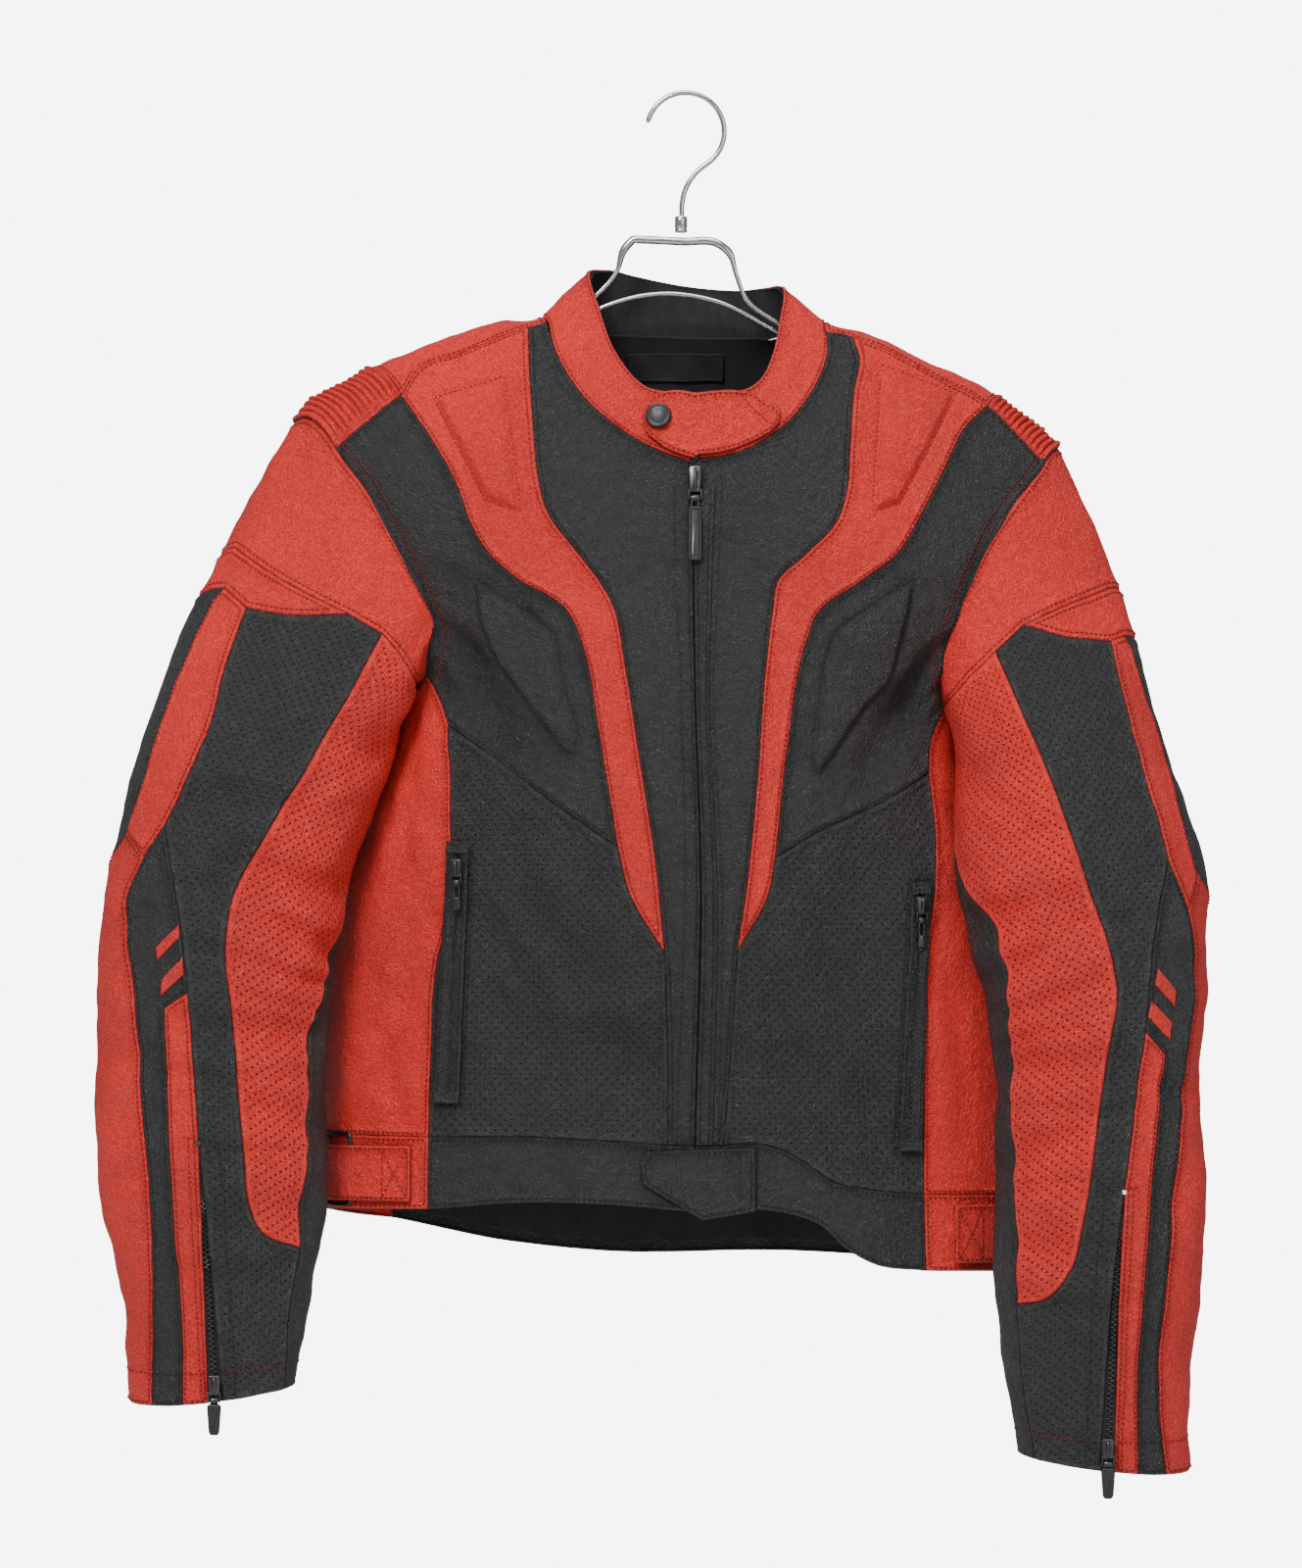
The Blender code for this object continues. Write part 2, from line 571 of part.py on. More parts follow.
class Sleeve:
    """One sleeve: its rings, its armhole and its chart, degrees round against distance down the arm."""

    def __init__(self, side):
        self.side = side
        self.rows = SLEEVE[side]
        middle = (self.rows[:, :2] + self.rows[:, 2:4]) / 2
        steps = np.linalg.norm(np.diff(middle, axis=0), axis=1)
        self.down = np.concatenate([[0], np.cumsum(steps)])
        self.length = self.down[-1]
        self.hole, body_normals = armhole(side)
        self.edge = armhole_flat(side)
        self.turns = self.angles_of_hole()
        folds = folds_on(SLEEVE_FOLDS, self.place_folds)
        self.chart = Chart(self.base, -1 if side == "left" else 1, folds)
        self.map = self.front_map()
        own = self.chart.lay(np.stack([self.turns * ARM_AROUND, 0 * self.turns + 2], axis=1))[1]
        half = body_normals + own
        self.mitre = half / np.maximum((half * own).sum(axis=1, keepdims=True), 0.7)
        self.shallow = (body_normals * own).sum(axis=1) > 0.3

    def place_folds(self, ends):
        return ends * (math.radians(1) * ARM_AROUND, 1)

    def ring(self, angle, down):
        row = spline(self.down, self.rows, np.maximum(down, 0))
        outer, inner = row[:, :2], row[:, 2:4]
        seen = (outer + inner) / 2 + (outer - inner) / 2 * np.cos(angle)[:, None]
        deep = np.where(np.sin(angle) > 0, row[:, 5], row[:, 6])
        return np.stack([seen[:, 0], row[:, 4] - deep * np.sin(angle), seen[:, 1]], axis=1)

    def angles_of_hole(self):
        """Angle round the arm of each point of the armhole, rising from about 0 to 360 degrees."""
        outer, inner = self.rows[0, :2], self.rows[0, 2:4]
        axis = (outer - inner) / 2
        share = np.clip(((self.hole[:, [0, 2]] - (outer + inner) / 2) @ axis) / (axis @ axis), -1, 1)
        low = int(np.argmin(share))
        turns = np.arccos(share)
        turns[low:] = 2 * math.pi - turns[low:]
        steps = np.linalg.norm(self.hole - np.roll(self.hole, -1, axis=0), axis=1)
        along = np.concatenate([[0], np.cumsum(steps)])
        even = np.interp(along[:-1], [0, along[low], along[-1]], [0, math.pi, 2 * math.pi])
        return 0.5 * (turns + even)

    def base(self, flat):
        angle, along = flat[:, 0] / ARM_AROUND, flat[:, 1]
        under = (0.5 - 0.5 * np.cos(angle)) ** 2
        start = UNDERARM_START * under
        wrapped = np.mod(angle, 2 * math.pi)
        turns = np.concatenate([self.turns[-3:] - 2 * math.pi, self.turns, self.turns[:3] + 2 * math.pi])
        hole = np.concatenate([self.hole[-3:], self.hole, self.hole[:3]])
        at_hole = spline(turns, hole, wrapped)
        fade = 1 - smoothstep(along / self.length / (0.27 - 0.16 * under))
        points = self.ring(angle, start + along * (1 - start / self.length))
        points = points + (at_hole - self.ring(angle, start)) * fade[:, None]
        return self.clear_of_body(points)

    def clear_of_body(self, points):
        """Points beside the armhole, moved out of the torso where they would meet its leather."""
        left, right, front, back = ring_at(points[:, 2])
        rise = np.clip((points[:, 2] - ridge_at(points[:, 0])) / SHOULDER_DROP + 1, 0, 1)
        wide = left if self.side == "left" else right
        deep = np.where(points[:, 1] < 0, front, back) * np.sqrt(1 - rise**2) + 0.5
        x, y = points[:, 0] - CENTRE_X, points[:, 1]
        around = AROUND * np.arctan2(x / wide, -y / deep)
        away = -side_of(np.stack([around, points[:, 2]], axis=1), self.edge)
        gap = SLEEVE_CLEARANCE * np.clip(0.2 + away / 6, 0, 1)
        reach = np.sqrt((x / (wide + gap)) ** 2 + (y / (deep + gap)) ** 2)
        push = 1 + (1 / np.clip(reach, 0.3, 1) - 1) * np.clip(away + 0.5, 0, 1)
        return np.stack([CENTRE_X + x * push, y * push, points[:, 2]], axis=1)

    def front_map(self):
        angles = np.radians(np.arange(0, 181, 2))
        downs = np.arange(0, self.length + 12, 3)
        grid = np.stack(np.meshgrid(angles * ARM_AROUND, downs, indexing="ij"), axis=-1).reshape(-1, 2)
        return grid, self.base(grid)[:, [0, 2]]

    def view(self, points):
        """Sleeve chart coordinates of points seen from the front."""
        points = np.asarray(points, float)
        grid, seen = self.map
        found = np.array([grid[np.argmin(((seen - p) ** 2).sum(axis=1))] for p in points])
        for _ in range(3):
            here = self.base(found)[:, [0, 2]]
            slopes = np.stack([self.base(found + d)[:, [0, 2]] - here for d in np.eye(2)], axis=2)
            slopes += 0.05 * np.eye(2)
            found += np.clip(np.linalg.solve(slopes, (points - here)[..., None])[..., 0], -1.2, 1.2)
        found[:, 1] = np.maximum(found[:, 1], ARMHOLE_GAP)
        return found

    def seam(self, name, step=SEAM_STEP):
        return self.view(route(SLEEVE_SEAMS[self.side][name], step))

    def hole_between(self, first, last):
        """Chart points along the armhole between two angles in degrees."""
        turns = np.concatenate([self.turns - 2 * math.pi, self.turns])
        kept = turns[(turns > math.radians(first)) & (turns < math.radians(last))]
        ends = np.radians([first, last])
        turns = np.concatenate([ends[:1], kept, ends[1:]])
        return np.stack([turns * ARM_AROUND, np.full(len(turns), ARMHOLE_GAP)], axis=1)

    def cuff(self, first, last, steps):
        """Chart points along the cuff's edge, which dips a little at the front."""
        turns = np.linspace(first, last, steps + 1)
        dip = 5 * np.maximum(np.sin(turns / ARM_AROUND), 0)
        return np.stack([turns, self.length + dip], axis=1)


def mitred(points, normals):
    """Wall directions at the armholes, halfway between body and sleeve, so that the two walls clear."""
    for sleeve in SLEEVES.values():
        away = np.linalg.norm(points[:, None] - sleeve.hole, axis=2)
        near = (away.min(axis=1) < 1.5) & sleeve.shallow[away.argmin(axis=1)]
        normals = np.where(near[:, None], sleeve.mitre[away.argmin(axis=1)], normals)
    return normals


def grid_of(across, down):
    return np.stack(np.meshgrid(across, down, indexing="ij"), axis=-1).reshape(-1, 2)


def lattice(outline, step):
    """Evenly spread points inside an outline, clear of its edge."""
    low, high = outline.min(axis=0), outline.max(axis=0)
    counts = np.maximum(np.ceil((high - low) / step).astype(int), 1)
    axes = [np.linspace(l, h, n + 1) for l, h, n in zip(low, high, counts)]
    grid = np.stack(np.meshgrid(*axes, indexing="ij"), axis=-1)
    grid[::2, :, 1] += 0.5 * (high[1] - low[1]) / counts[1]
    grid = grid.reshape(-1, 2)
    return grid[side_of(grid, outline) > 0.45 * step]


def triangulate(outline, inner_loops, points):
    """Triangles that fill an outline, with the given loops as edges and the points as corners."""
    corners, edges = [], []
    for ring in (outline, *inner_loops):
        first = len(corners)
        corners.extend(ring)
        edges.extend((first + i, first + (i + 1) % len(ring)) for i in range(len(ring)))
    corners.extend(points)
    verts, _, faces, *_ = delaunay_2d_cdt([Vector(p) for p in corners], edges, [], 1, 1e-4)
    return np.array([tuple(v) for v in verts]), np.array([tuple(f) for f in faces])


def wall(name, chart, flat, faces, skin, lift=0.0, thick=WALL, relief=None):
    """A closed wall on a chart: the faces outside, the same inside, and a rim between them."""
    raised = np.zeros(len(flat)) if relief is None else relief(flat)
    outer, normals = chart.lay(flat, lift)
    inner = outer - mitred(outer, normals) * thick
    outer = outer + normals * raised[:, None]
    a, b, c = (outer[faces[:, i]] for i in range(3))
    facing = (np.cross(b - a, c - a) * normals[faces].sum(axis=1)).sum()
    if facing < 0:
        faces = faces[:, ::-1]
    directed = np.concatenate([faces[:, [0, 1]], faces[:, [1, 2]], faces[:, [2, 0]]])
    known = {tuple(e) for e in directed.tolist()}
    rim = [(i, j) for i, j in known if (j, i) not in known]
    count = len(flat)
    polygons = [*faces.tolist(), *(faces[:, ::-1] + count).tolist()]
    rank = outer @ (1, 2, 3)
    for i, j in sorted(rim):  # split the same way on both sides of a seam
        if rank[i] < rank[j]:
            polygons += [(j, i, j + count), (i, i + count, j + count)]
        else:
            polygons += [(j, i, i + count), (j, i + count, j + count)]
    mesh = bpy.data.meshes.new(name)
    mesh.from_pydata((np.concatenate([outer, inner]) * MM).tolist(), [], polygons)
    mesh.materials.append(material(skin))
    mesh.shade_smooth()
    mesh.set_sharp_from_angle(angle=math.radians(50))
    made = bpy.data.objects.new(name, mesh)
    JACKET.objects.link(made)
    return made


def panel(name, chart, outline, skin, pad=None, step=PANEL_STEP, extra=(), **options):
    """A leather piece cut to an outline on a chart, with an optional raised pad and extra points."""
    outline = np.asarray(outline, float)
    keep = np.linalg.norm(outline - np.roll(outline, 1, axis=0), axis=1) > 0.5
    outline = inset(outline[keep], SEAM_GAP / 2)
    points = lattice(outline, step)
    loops = []
    if pad is not None:
        foot = front_view(straight([*PADS[pad], PADS[pad][0]], 26)[:-1])
        top = inset(foot, PAD_EDGE)
        loops = [foot, top]
        points = points[np.abs(side_of(points, foot) - PAD_EDGE / 2) > 0.9 * PAD_EDGE]
        options["relief"] = lambda flat: PAD_HEIGHT * smoothstep(side_of(flat, foot) / (0.9 * PAD_EDGE))
    if len(extra):
        extra = extra[side_of(extra, outline) > 5]
        near = np.linalg.norm(points[:, None] - extra, axis=2).min(axis=1) if len(extra) else 99
        points = np.concatenate([points[near > 9], extra])
    flat, faces = triangulate(outline, loops, points)
    return wall(name, chart, flat, faces, skin, **options)


def fronts():
    """Centre fronts, colour-blocked chest pieces and perforated lower fronts."""
    for side, meet in (("left", -0.3), ("right", 0.3)):
        zip_line = seam("zip") + (meet, 0)
        tip = seam(f"stripe tip {side}")
        stripe_in, stripe_out = seam(f"stripe inner {side}"), seam(f"stripe outer {side}")
        placket = seam(f"placket {side}")
        neck = seam(f"neck {side}")
        neck[0] = zip_line[0]
        yoke = seam(f"yoke {side}")
        middle = seam(f"waist middle {side}")
        middle = middle[::-1] if side == "left" else middle
        middle[0] = zip_line[-1]
        waist = seam(f"waist {side}")
        waist = waist[::-1] if side == "left" else waist
        centre = loop(zip_line, middle, placket[::-1], stripe_in[::-1], yoke[1::-1], neck[::-1])
        panel(f"front_centre_{side}", TORSO_CHART, centre, "black leather")
        red = loop(yoke[1:], stripe_out, tip, stripe_in[::-1])
        panel(f"chest_red_{side}", TORSO_CHART, red, "red leather", pad=f"red {side}")
        hole = seam(f"armhole front {side}")
        top, chest = seam(f"side top {side}"), seam(f"chest {side}")
        black = loop(rib_front(side), hole, top, chest, stripe_out[::-1])
        panel(f"chest_black_{side}", TORSO_CHART, black, "black leather", pad=f"black {side}")
        low_side = seam(f"side {side}")
        lower = loop(chest, tip, placket, waist, low_side[::-1])
        panel(f"front_lower_{side}", TORSO_CHART, lower, "perforated black leather")


def back_line(offset, x_from, x_to, turns=0, step=SEAM_STEP):
    """The back hem, or the seam at a height above it, between two places across."""
    xs = np.linspace(x_from, x_to, max(2, round(abs(x_to - x_from) / step)) + 1)
    z = spline(*np.array(BACK_HEM, float).T, xs) + offset
    return back_view(np.stack([xs, z], axis=1), turns)


def side_seam(side, top, bottom):
    """The seam between side panel and back, from a height to a height."""
    angle = math.radians(SIDE_SEAM_DEG) * (-1 if side == "left" else 1)
    zs = np.linspace(top, bottom, 8)
    return np.stack([np.full(8, AROUND * angle), zs], axis=1)


def side_panels():
    for side, turns in (("left", -1), ("right", 0)):
        down = seam(f"side {side}")
        low_front = down[-1]
        front = np.concatenate([loop(seam(f"side top {side}"), down), [low_front]])
        back_top = armhole_under(side)[-1]
        seam_x = torso_base(side_seam(side, -720, -720)[:1])[0, 0]
        low_back = back_line(BELT_HEIGHT, seam_x, seam_x + 1, turns)[0]
        waist = waist_round(side, low_front, low_back)
        back = np.array([low_back, *side_seam(side, -660, -440), back_top])
        outline = loop(front, waist, back, armhole_under(side)[::-1])
        turns = np.radians(np.arange(-36, 37, 8)) * AROUND + crotch(side)[0]
        extra = grid_of(turns, CROTCH_Z[side] + np.array([-13, -28]))
        panel(f"side_panel_{side}", TORSO_CHART, outline, "red leather", extra=extra)


def waist_round(side, start, end):
    """The waist seam round one side, level at the side and easing to the back."""
    edge = AROUND * math.pi / 2 * (-1 if side == "left" else 1)
    level = {"left": -695, "right": -736}[side]
    return route([start, (0.5 * (start[0] + edge), 0.3 * start[1] + 0.7 * level), (edge, level), end], 18)


def hem_round(side, start, end):
    edge = AROUND * math.pi / 2 * (-1 if side == "left" else 1)
    level = {"left": -745, "right": -787}[side]
    return route([start, (0.5 * (start[0] + edge), 0.3 * start[1] + 0.7 * level), (edge, level), end], 18)


def back_and_yoke():
    """The yoke over both shoulders, and the one-piece back below it."""
    neck_back = neck_over()
    left_in, right_in = rib_edge("left", "inner"), rib_edge("right", "inner")
    left_yoke = shoulder_view(route(SEAMS["yoke left"]))
    right_yoke = shoulder_view(route(SEAMS["yoke right"]))
    across = route([left_in[0], (-110, -88), (0, -100), (110, -88), right_in[0]])
    outline = loop(left_yoke, left_in[::-1], across, right_in, right_yoke[::-1], neck_back[::-1])
    panel("yoke", SHOULDER_CHART, outline, "red leather", step=34)
    hole_right = back_view(route(SEAMS["armhole back right"]))
    hole_left = back_view(route(SEAMS["armhole back left"]))
    full_turn = (2 * math.pi * AROUND, 0)
    top = over_ridge(across)
    right_edge = side_seam("right", -440, -660)
    left_edge = side_seam("left", -440, -660) + full_turn
    low_right = side_low("right")
    low_left = side_low("left") + full_turn
    low_x = [torso_base(p[None])[0, 0] for p in (low_right, low_left)]
    waist = back_line(BELT_HEIGHT, low_x[0], low_x[1])
    waist[0], waist[-1] = low_right, low_left
    outline = loop(
        top,
        over_ridge(rib_back("right")),
        hole_right,
        np.array([hole_right[-1], *right_edge, low_right]),
        waist,
        np.array([low_left, *left_edge[::-1], hole_left[-1]]),
        hole_left[::-1],
        over_ridge(rib_back("left"))[::-1],
    )
    panel("back_panel", TORSO_CHART, outline, "black leather", step=46)


def side_low(side):
    """Where the side seam meets the belt at the back."""
    turns = -1 if side == "left" else 0
    seam_x = torso_base(side_seam(side, -720, -720)[:1])[0, 0]
    return back_line(BELT_HEIGHT, seam_x, seam_x + 1, turns)[0]


def neck_over():
    """The neck seam behind the ridge, on the shoulder chart, from left to right."""
    left, right = shoulder_view([SEAMS["neck left"][-1], SEAMS["neck right"][-1]])
    turns = np.linspace(0, math.pi, 13)[1:-1]
    arc = np.stack([-2 - 95 * np.cos(turns), -70 * np.sin(turns)], axis=1)
    return np.array([left, (-97, 0), *arc, (93.5, 0), right])


def main_neck():
    """The neck seam in space, from the left front round the back to the right front."""
    left = TORSO_CHART.lay(seam("neck left"))[0]
    right = TORSO_CHART.lay(seam("neck right"))[0]
    over = SHOULDER_CHART.lay(neck_over())[0]
    return np.concatenate([left, over[1:-1], right[::-1]])


class Collar:
    """The stand collar: a band from the neck seam to its own top edge."""

    def __init__(self):
        self.foot = main_neck()
        steps = np.linalg.norm(np.diff(self.foot, axis=0), axis=1)
        self.round = np.concatenate([[0], np.cumsum(steps)])
        self.length = self.round[-1]
        self.full = self.length + FRONT_OPENING
        rows = np.array(COLLAR, float)
        at = [self.round[self.nearest(x, z, behind)] for x, z, behind in rows[:, :3]]
        self.at, self.top = np.array(at), rows[:, 3:]
        self.chart = Chart(self.base, 1)

    def nearest(self, x, z, behind):
        far = np.linalg.norm(self.foot[:, [0, 2]] - (x, z), axis=1)
        wrong = (self.foot[:, 1] > 2) != bool(behind)
        return int(np.argmin(far + 40 * wrong))

    def base(self, flat):
        along, up = np.mod(flat[:, 0] + 0.5 * FRONT_OPENING, self.full) - 0.5 * FRONT_OPENING, flat[:, 1]
        share = (up / COLLAR_HEIGHT)[:, None]
        foot = spline(self.round, self.foot, along)
        return foot * (1 - share) + spline(self.at, self.top, along) * share


def collar_pieces():
    """Collar, its lining, the fastening tab and the snap."""
    collar = Collar()
    around = np.stack([collar.round, np.zeros_like(collar.round)], axis=1)
    top = around + (0, COLLAR_HEIGHT)
    ends = [np.array([around[-1], top[-1]]), np.array([top[0], around[0]])]
    outline = loop(around, ends[0], top[::-1], ends[1])
    panel("collar", collar.chart, outline, "red leather", step=24)
    panel("collar_lining", collar.chart, outline, "black lining", step=24, lift=-WALL - 0.5, thick=1.0)
    tab = [(38, 16), (39, 26), (34, 35), (24, 38), (-10, 37), (-50, 36), (-70, 30), (-70, 8), (-40, 3), (-8, 2), (24, 4), (34, 8)]
    panel("collar_tab", collar.chart, np.array(tab, float), "red leather", step=20, lift=WALL + 1.2)
    centre, normal = collar.chart.lay([(26, 21)], WALL + 3.2)
    disc("collar_snap", centre[0], normal[0], 8.3, 3.0, "dark metal")


def disc(name, centre, normal, radius, thick, skin):
    bpy.ops.mesh.primitive_cylinder_add(vertices=28, radius=radius * MM, depth=thick * MM)
    made = bpy.context.object
    made.name = made.data.name = name
    made.rotation_euler = Vector(normal).to_track_quat("Z", "Y").to_euler()
    made.location = Vector((centre + 0.25 * normal)) * MM
    bevel = made.modifiers.new("Rounded edge", "BEVEL")
    bevel.width = 0.8 * MM
    bevel.segments = 2
    bevel.limit_method = "ANGLE"
    made.data.shade_smooth()
    made.data.materials.append(material(skin))
    take(made, JACKET)
    return made


def take(obj, target):
    for held in list(obj.users_collection):
        held.objects.unlink(obj)
    target.objects.link(obj)


def belt():
    """The belt at the hem: black front and back, red ends, snap tab and side straps."""
    for side, turns in (("left", -1), ("right", 0)):
        low_back = side_low(side)
        seam_x = torso_base(low_back[None])[0, 0]
        hem_back = back_line(0, seam_x, seam_x + 1, turns)[0]
        waist = seam(f"waist {side}")
        hem = seam(f"hem {side}")
        middle = seam(f"waist middle {side}")
        if side == "left":
            upper = loop(waist, middle)
            upper = np.concatenate([upper, middle[-1:] - (0.3, 0)])
            lower = hem[::-1].copy()
            lower[0, 0] -= 0.3
        else:
            upper = np.concatenate([loop(middle, waist), waist[-1:]])[::-1].copy()
            upper[-1, 0] += 0.3
            lower = hem.copy()
            lower[0, 0] += 0.3
        corner = np.array([upper[-1], lower[0]])
        outer = np.array([lower[-1], upper[0]])
        panel(f"belt_front_{side}", TORSO_CHART, loop(upper, corner, lower, outer), "black leather")
        round_top = waist_round(side, upper[0], low_back)
        round_low = hem_round(side, lower[-1], hem_back)
        outline = loop(round_top, np.array([low_back, hem_back]), round_low[::-1], outer)
        panel(f"belt_end_{side}", TORSO_CHART, outline, "red leather", step=18)
    right, left = side_low("right"), side_low("left") + (2 * math.pi * AROUND, 0)
    xs = [torso_base(p[None])[0, 0] for p in (right, left)]
    top, bottom = back_line(BELT_HEIGHT, *xs), back_line(0, *xs)
    outline = loop(top, np.array([top[-1], bottom[-1]]), bottom[::-1], np.array([bottom[0], top[0]]))
    panel("belt_back", TORSO_CHART, outline, "black leather")
    tab = [(-29, -726), (-30, -712), (-25, -705), (10, -703), (46, -702), (46, -744), (29, -747), (11, -750)]
    panel("belt_tab", TORSO_CHART, front_view(tab), "black leather", step=20, lift=WALL + 1.6, thick=2.4)
    edge = AROUND * math.radians(80)
    for side, near, top_z, low_z in (("left", -183, -702, -739), ("right", 178, -741, -780)):
        start = front_view([(near, top_z)])[0, 0]
        end = -edge if side == "left" else edge
        outline = straight([(start, top_z), (end, top_z), (end, low_z), (start, low_z), (start, top_z)], 14)[:-1]
        panel(f"strap_{side}", TORSO_CHART, outline, "red leather", step=16, lift=WALL + 1.4)


def lining():
    """The black lining inside the back, where the open neck and the hem show it."""
    side = AROUND * math.radians(SIDE_SEAM_DEG + 5)
    full = AROUND * 2 * math.pi
    shoulder = back_view([(82, -178), (45, -174), (0, -172), (-45, -174), (-82, -178)])
    right = back_view([(150, -232), (165, -300), (160, -380)])
    left = back_view([(-160, -380), (-165, -300), (-150, -232)])
    low = back_line(8, 178, -184)
    outline = np.concatenate([shoulder, left[::-1], [(full - side, -470)], low[::-1], [(side, -470)], right[::-1]])
    outline = np.concatenate([route([a, b], 60)[:-1] for a, b in zip(outline, np.roll(outline, -1, axis=0))])
    panel("back_lining", TORSO_CHART, outline, "black lining", step=46, lift=-WALL - 3.6, thick=1.0)


def pocket_welts():
    for side, corners in (
        ("left", [(-157.5, -500), (-143, -500), (-150, -673), (-167, -673)]),
        ("right", [(149, -527), (161.5, -527), (156, -705), (141, -705)]),
    ):
        edges = [front_view(route([a, b])) for a, b in zip(corners, corners[1:] + corners[:1])]
        panel(f"pocket_welt_{side}", PLAIN_CHART, loop(*edges), "black leather", lift=WELT_LIFT, thick=1.8)


def rib_panels():
    """Stretch panels over the shoulder points: ribs raised on a plain inside."""
    for side in ("left", "right"):
        inner, outer = rib_edge(side, "inner"), rib_edge(side, "outer")
        count = 2 * RIBS[side] + 1
        shares = np.linspace(0, 1, count)[:, None, None]
        flat = inner[None] * (1 - shares) + outer[None] * shares
        squeeze = np.array([1, 0.99])
        middle = flat.mean(axis=(0, 1))
        flat = middle + (flat - middle) * (1 - 0.006) * squeeze
        rows = flat.shape[1]
        index = np.arange(count * rows).reshape(count, rows)
        a, b, c, d = index[:-1, :-1], index[1:, :-1], index[1:, 1:], index[:-1, 1:]
        faces = np.concatenate([np.stack(t, axis=-1).reshape(-1, 3) for t in ((a, b, c), (a, c, d))])
        raised = np.repeat(np.arange(count) % 2 * RIB_HEIGHT, rows)
        wall(
            f"rib_panel_{side}", SHOULDER_CHART, flat.reshape(-1, 2), faces, "red leather",
            relief=lambda _, raised=raised: raised,
        )


def sleeve_pieces(side):
    """The nine leather pieces of one sleeve."""
    sleeve = SLEEVES[side]
    chart, radian = sleeve.chart, ARM_AROUND * math.radians(1)
    length = sleeve.length
    s = sleeve.seam
    turn = (360 * radian, 0)
    cap, cap_inner, cap_end = s("cap"), s("cap inner"), s("cap end")
    tip = np.array(SLEEVE_SEAMS[side]["cap end"][-1])
    ahead = sleeve.hole[:, 1] < 0
    away = np.linalg.norm(sleeve.hole[:, [0, 2]] - tip, axis=1)
    merge = math.degrees(sleeve.turns[np.argmin(np.where(ahead, away, np.inf))])
    cap_end[-1] = (merge * radian, ARMHOLE_GAP)
    back_merge = CAP_BACK_END
    cap_back = route([(back_merge * radian, ARMHOLE_GAP), (-120 * radian, 34), (-60 * radian, 62), cap[0]])
    top = sleeve.hole_between(back_merge, merge)
    cap_low = loop(cap, cap_inner, cap_end)
    outline = np.concatenate([cap_back[:-1], cap_low, top[:0:-1]])
    panel(f"sleeve_cap_{side}", chart, outline, "red leather")

    join = int(np.argmin(np.abs(cap_back[:, 0] + 60 * radian)))
    start = cap_back[join]
    band_low = np.array([start, (start[0] + 2, start[1] + 24), s("band")[0]])
    outline = loop(cap_back[join:], cap, s("band inner")[::-1], s("band")[::-1], band_low[::-1])
    panel(f"sleeve_band_{side}", chart, outline, "red leather")

    strip = s("outer strip")
    strip[0] = s("band")[0]
    elbow = s("elbow")
    elbow_out = strip[-1]
    outline = loop(s("band"), s("black outer"), elbow, np.array([elbow[-1], elbow_out]), strip[::-1])
    panel(f"sleeve_outer_upper_{side}", chart, outline, "red leather")

    cuff_zip = s("zip panel")[-1, 0]
    cuff_under = s("underarm low")[-1, 0]
    low = sleeve.cuff(cuff_under, cuff_zip, 4)
    zip_edge, under_low = s("zip panel"), s("underarm low")
    zip_edge[-1], under_low[-1] = low[-1], low[0]
    outline = loop(
        s("band inner"), s("cap inner"), s("red inner"), under_low, low,
        zip_edge[::-1], s("strip inner")[::-1], s("forearm inner")[::-1], s("black outer")[::-1],
    )
    panel(f"sleeve_front_{side}", chart, outline, "perforated black leather")

    crease = under_line(sleeve, s("underarm")[0])
    hole = sleeve.hole_between(merge, math.degrees(crease[0, 0] / ARM_AROUND))
    outline = loop(cap_end, hole, crease, s("underarm"), s("red inner")[::-1])
    under = grid_of(np.arange(128, 238, 11) * radian, np.array([13, 28]))
    panel(f"sleeve_inner_{side}", chart, outline, "perforated red leather", extra=under)

    strip_low = sleeve.cuff(s("zip strip")[-1, 0], s("strip outer")[-1, 0], 1)
    zip_strip, strip_outer = s("zip strip"), s("strip outer")
    zip_strip[-1], strip_outer[-1] = strip_low[0], strip_low[-1]
    outline = loop(s("strip inner"), zip_strip, strip_low, strip_outer[::-1], s("strip top")[::-1])
    panel(f"sleeve_strip_{side}", chart, outline, "red leather")

    outer_low = sleeve.cuff(strip_low[-1, 0], s("forearm outer")[-1, 0], 1)
    forearm_outer = s("forearm outer")
    forearm_outer[-1] = outer_low[-1]
    outline = loop(elbow[::-1], s("forearm inner"), s("strip top"), strip_outer, outer_low, forearm_outer[::-1])
    panel(f"sleeve_forearm_{side}", chart, outline, "black leather")

    edge = -48 * radian
    red_low = sleeve.cuff(outer_low[-1, 0], edge, 4)
    down = route([(elbow_out[0], elbow_out[1]), (-30 * radian, elbow_out[1] + 50), (edge, elbow_out[1] + 130), (edge, length)])
    outline = loop(np.array([elbow_out, elbow[-1]]), forearm_outer, red_low, down[::-1])
    panel(f"sleeve_outer_lower_{side}", chart, outline, "red leather")

    back_low = sleeve.cuff(red_low[-1, 0] + turn[0], low[0, 0], 6)
    back_hole = sleeve.hole_between(math.degrees(crease[0, 0] / ARM_AROUND), 360 + back_merge)
    join_back = cap_back[: join + 1] + turn
    outline = loop(
        back_hole, join_back, band_low + turn, strip + turn, down + turn, back_low,
        under_low[::-1], s("underarm")[::-1], crease[::-1],
    )
    panel(f"sleeve_back_{side}", chart, outline, "black leather", step=50, extra=under)


def under_line(sleeve, low_end):
    """The underarm seam from the armhole to where its black strip comes forward."""
    under = sleeve.turns[np.argmin(np.abs(sleeve.turns - math.pi))]
    start = (under * ARM_AROUND, ARMHOLE_GAP)
    middle = (math.radians(184) * ARM_AROUND, 0.5 * low_end[1])
    return route([start, middle, low_end])


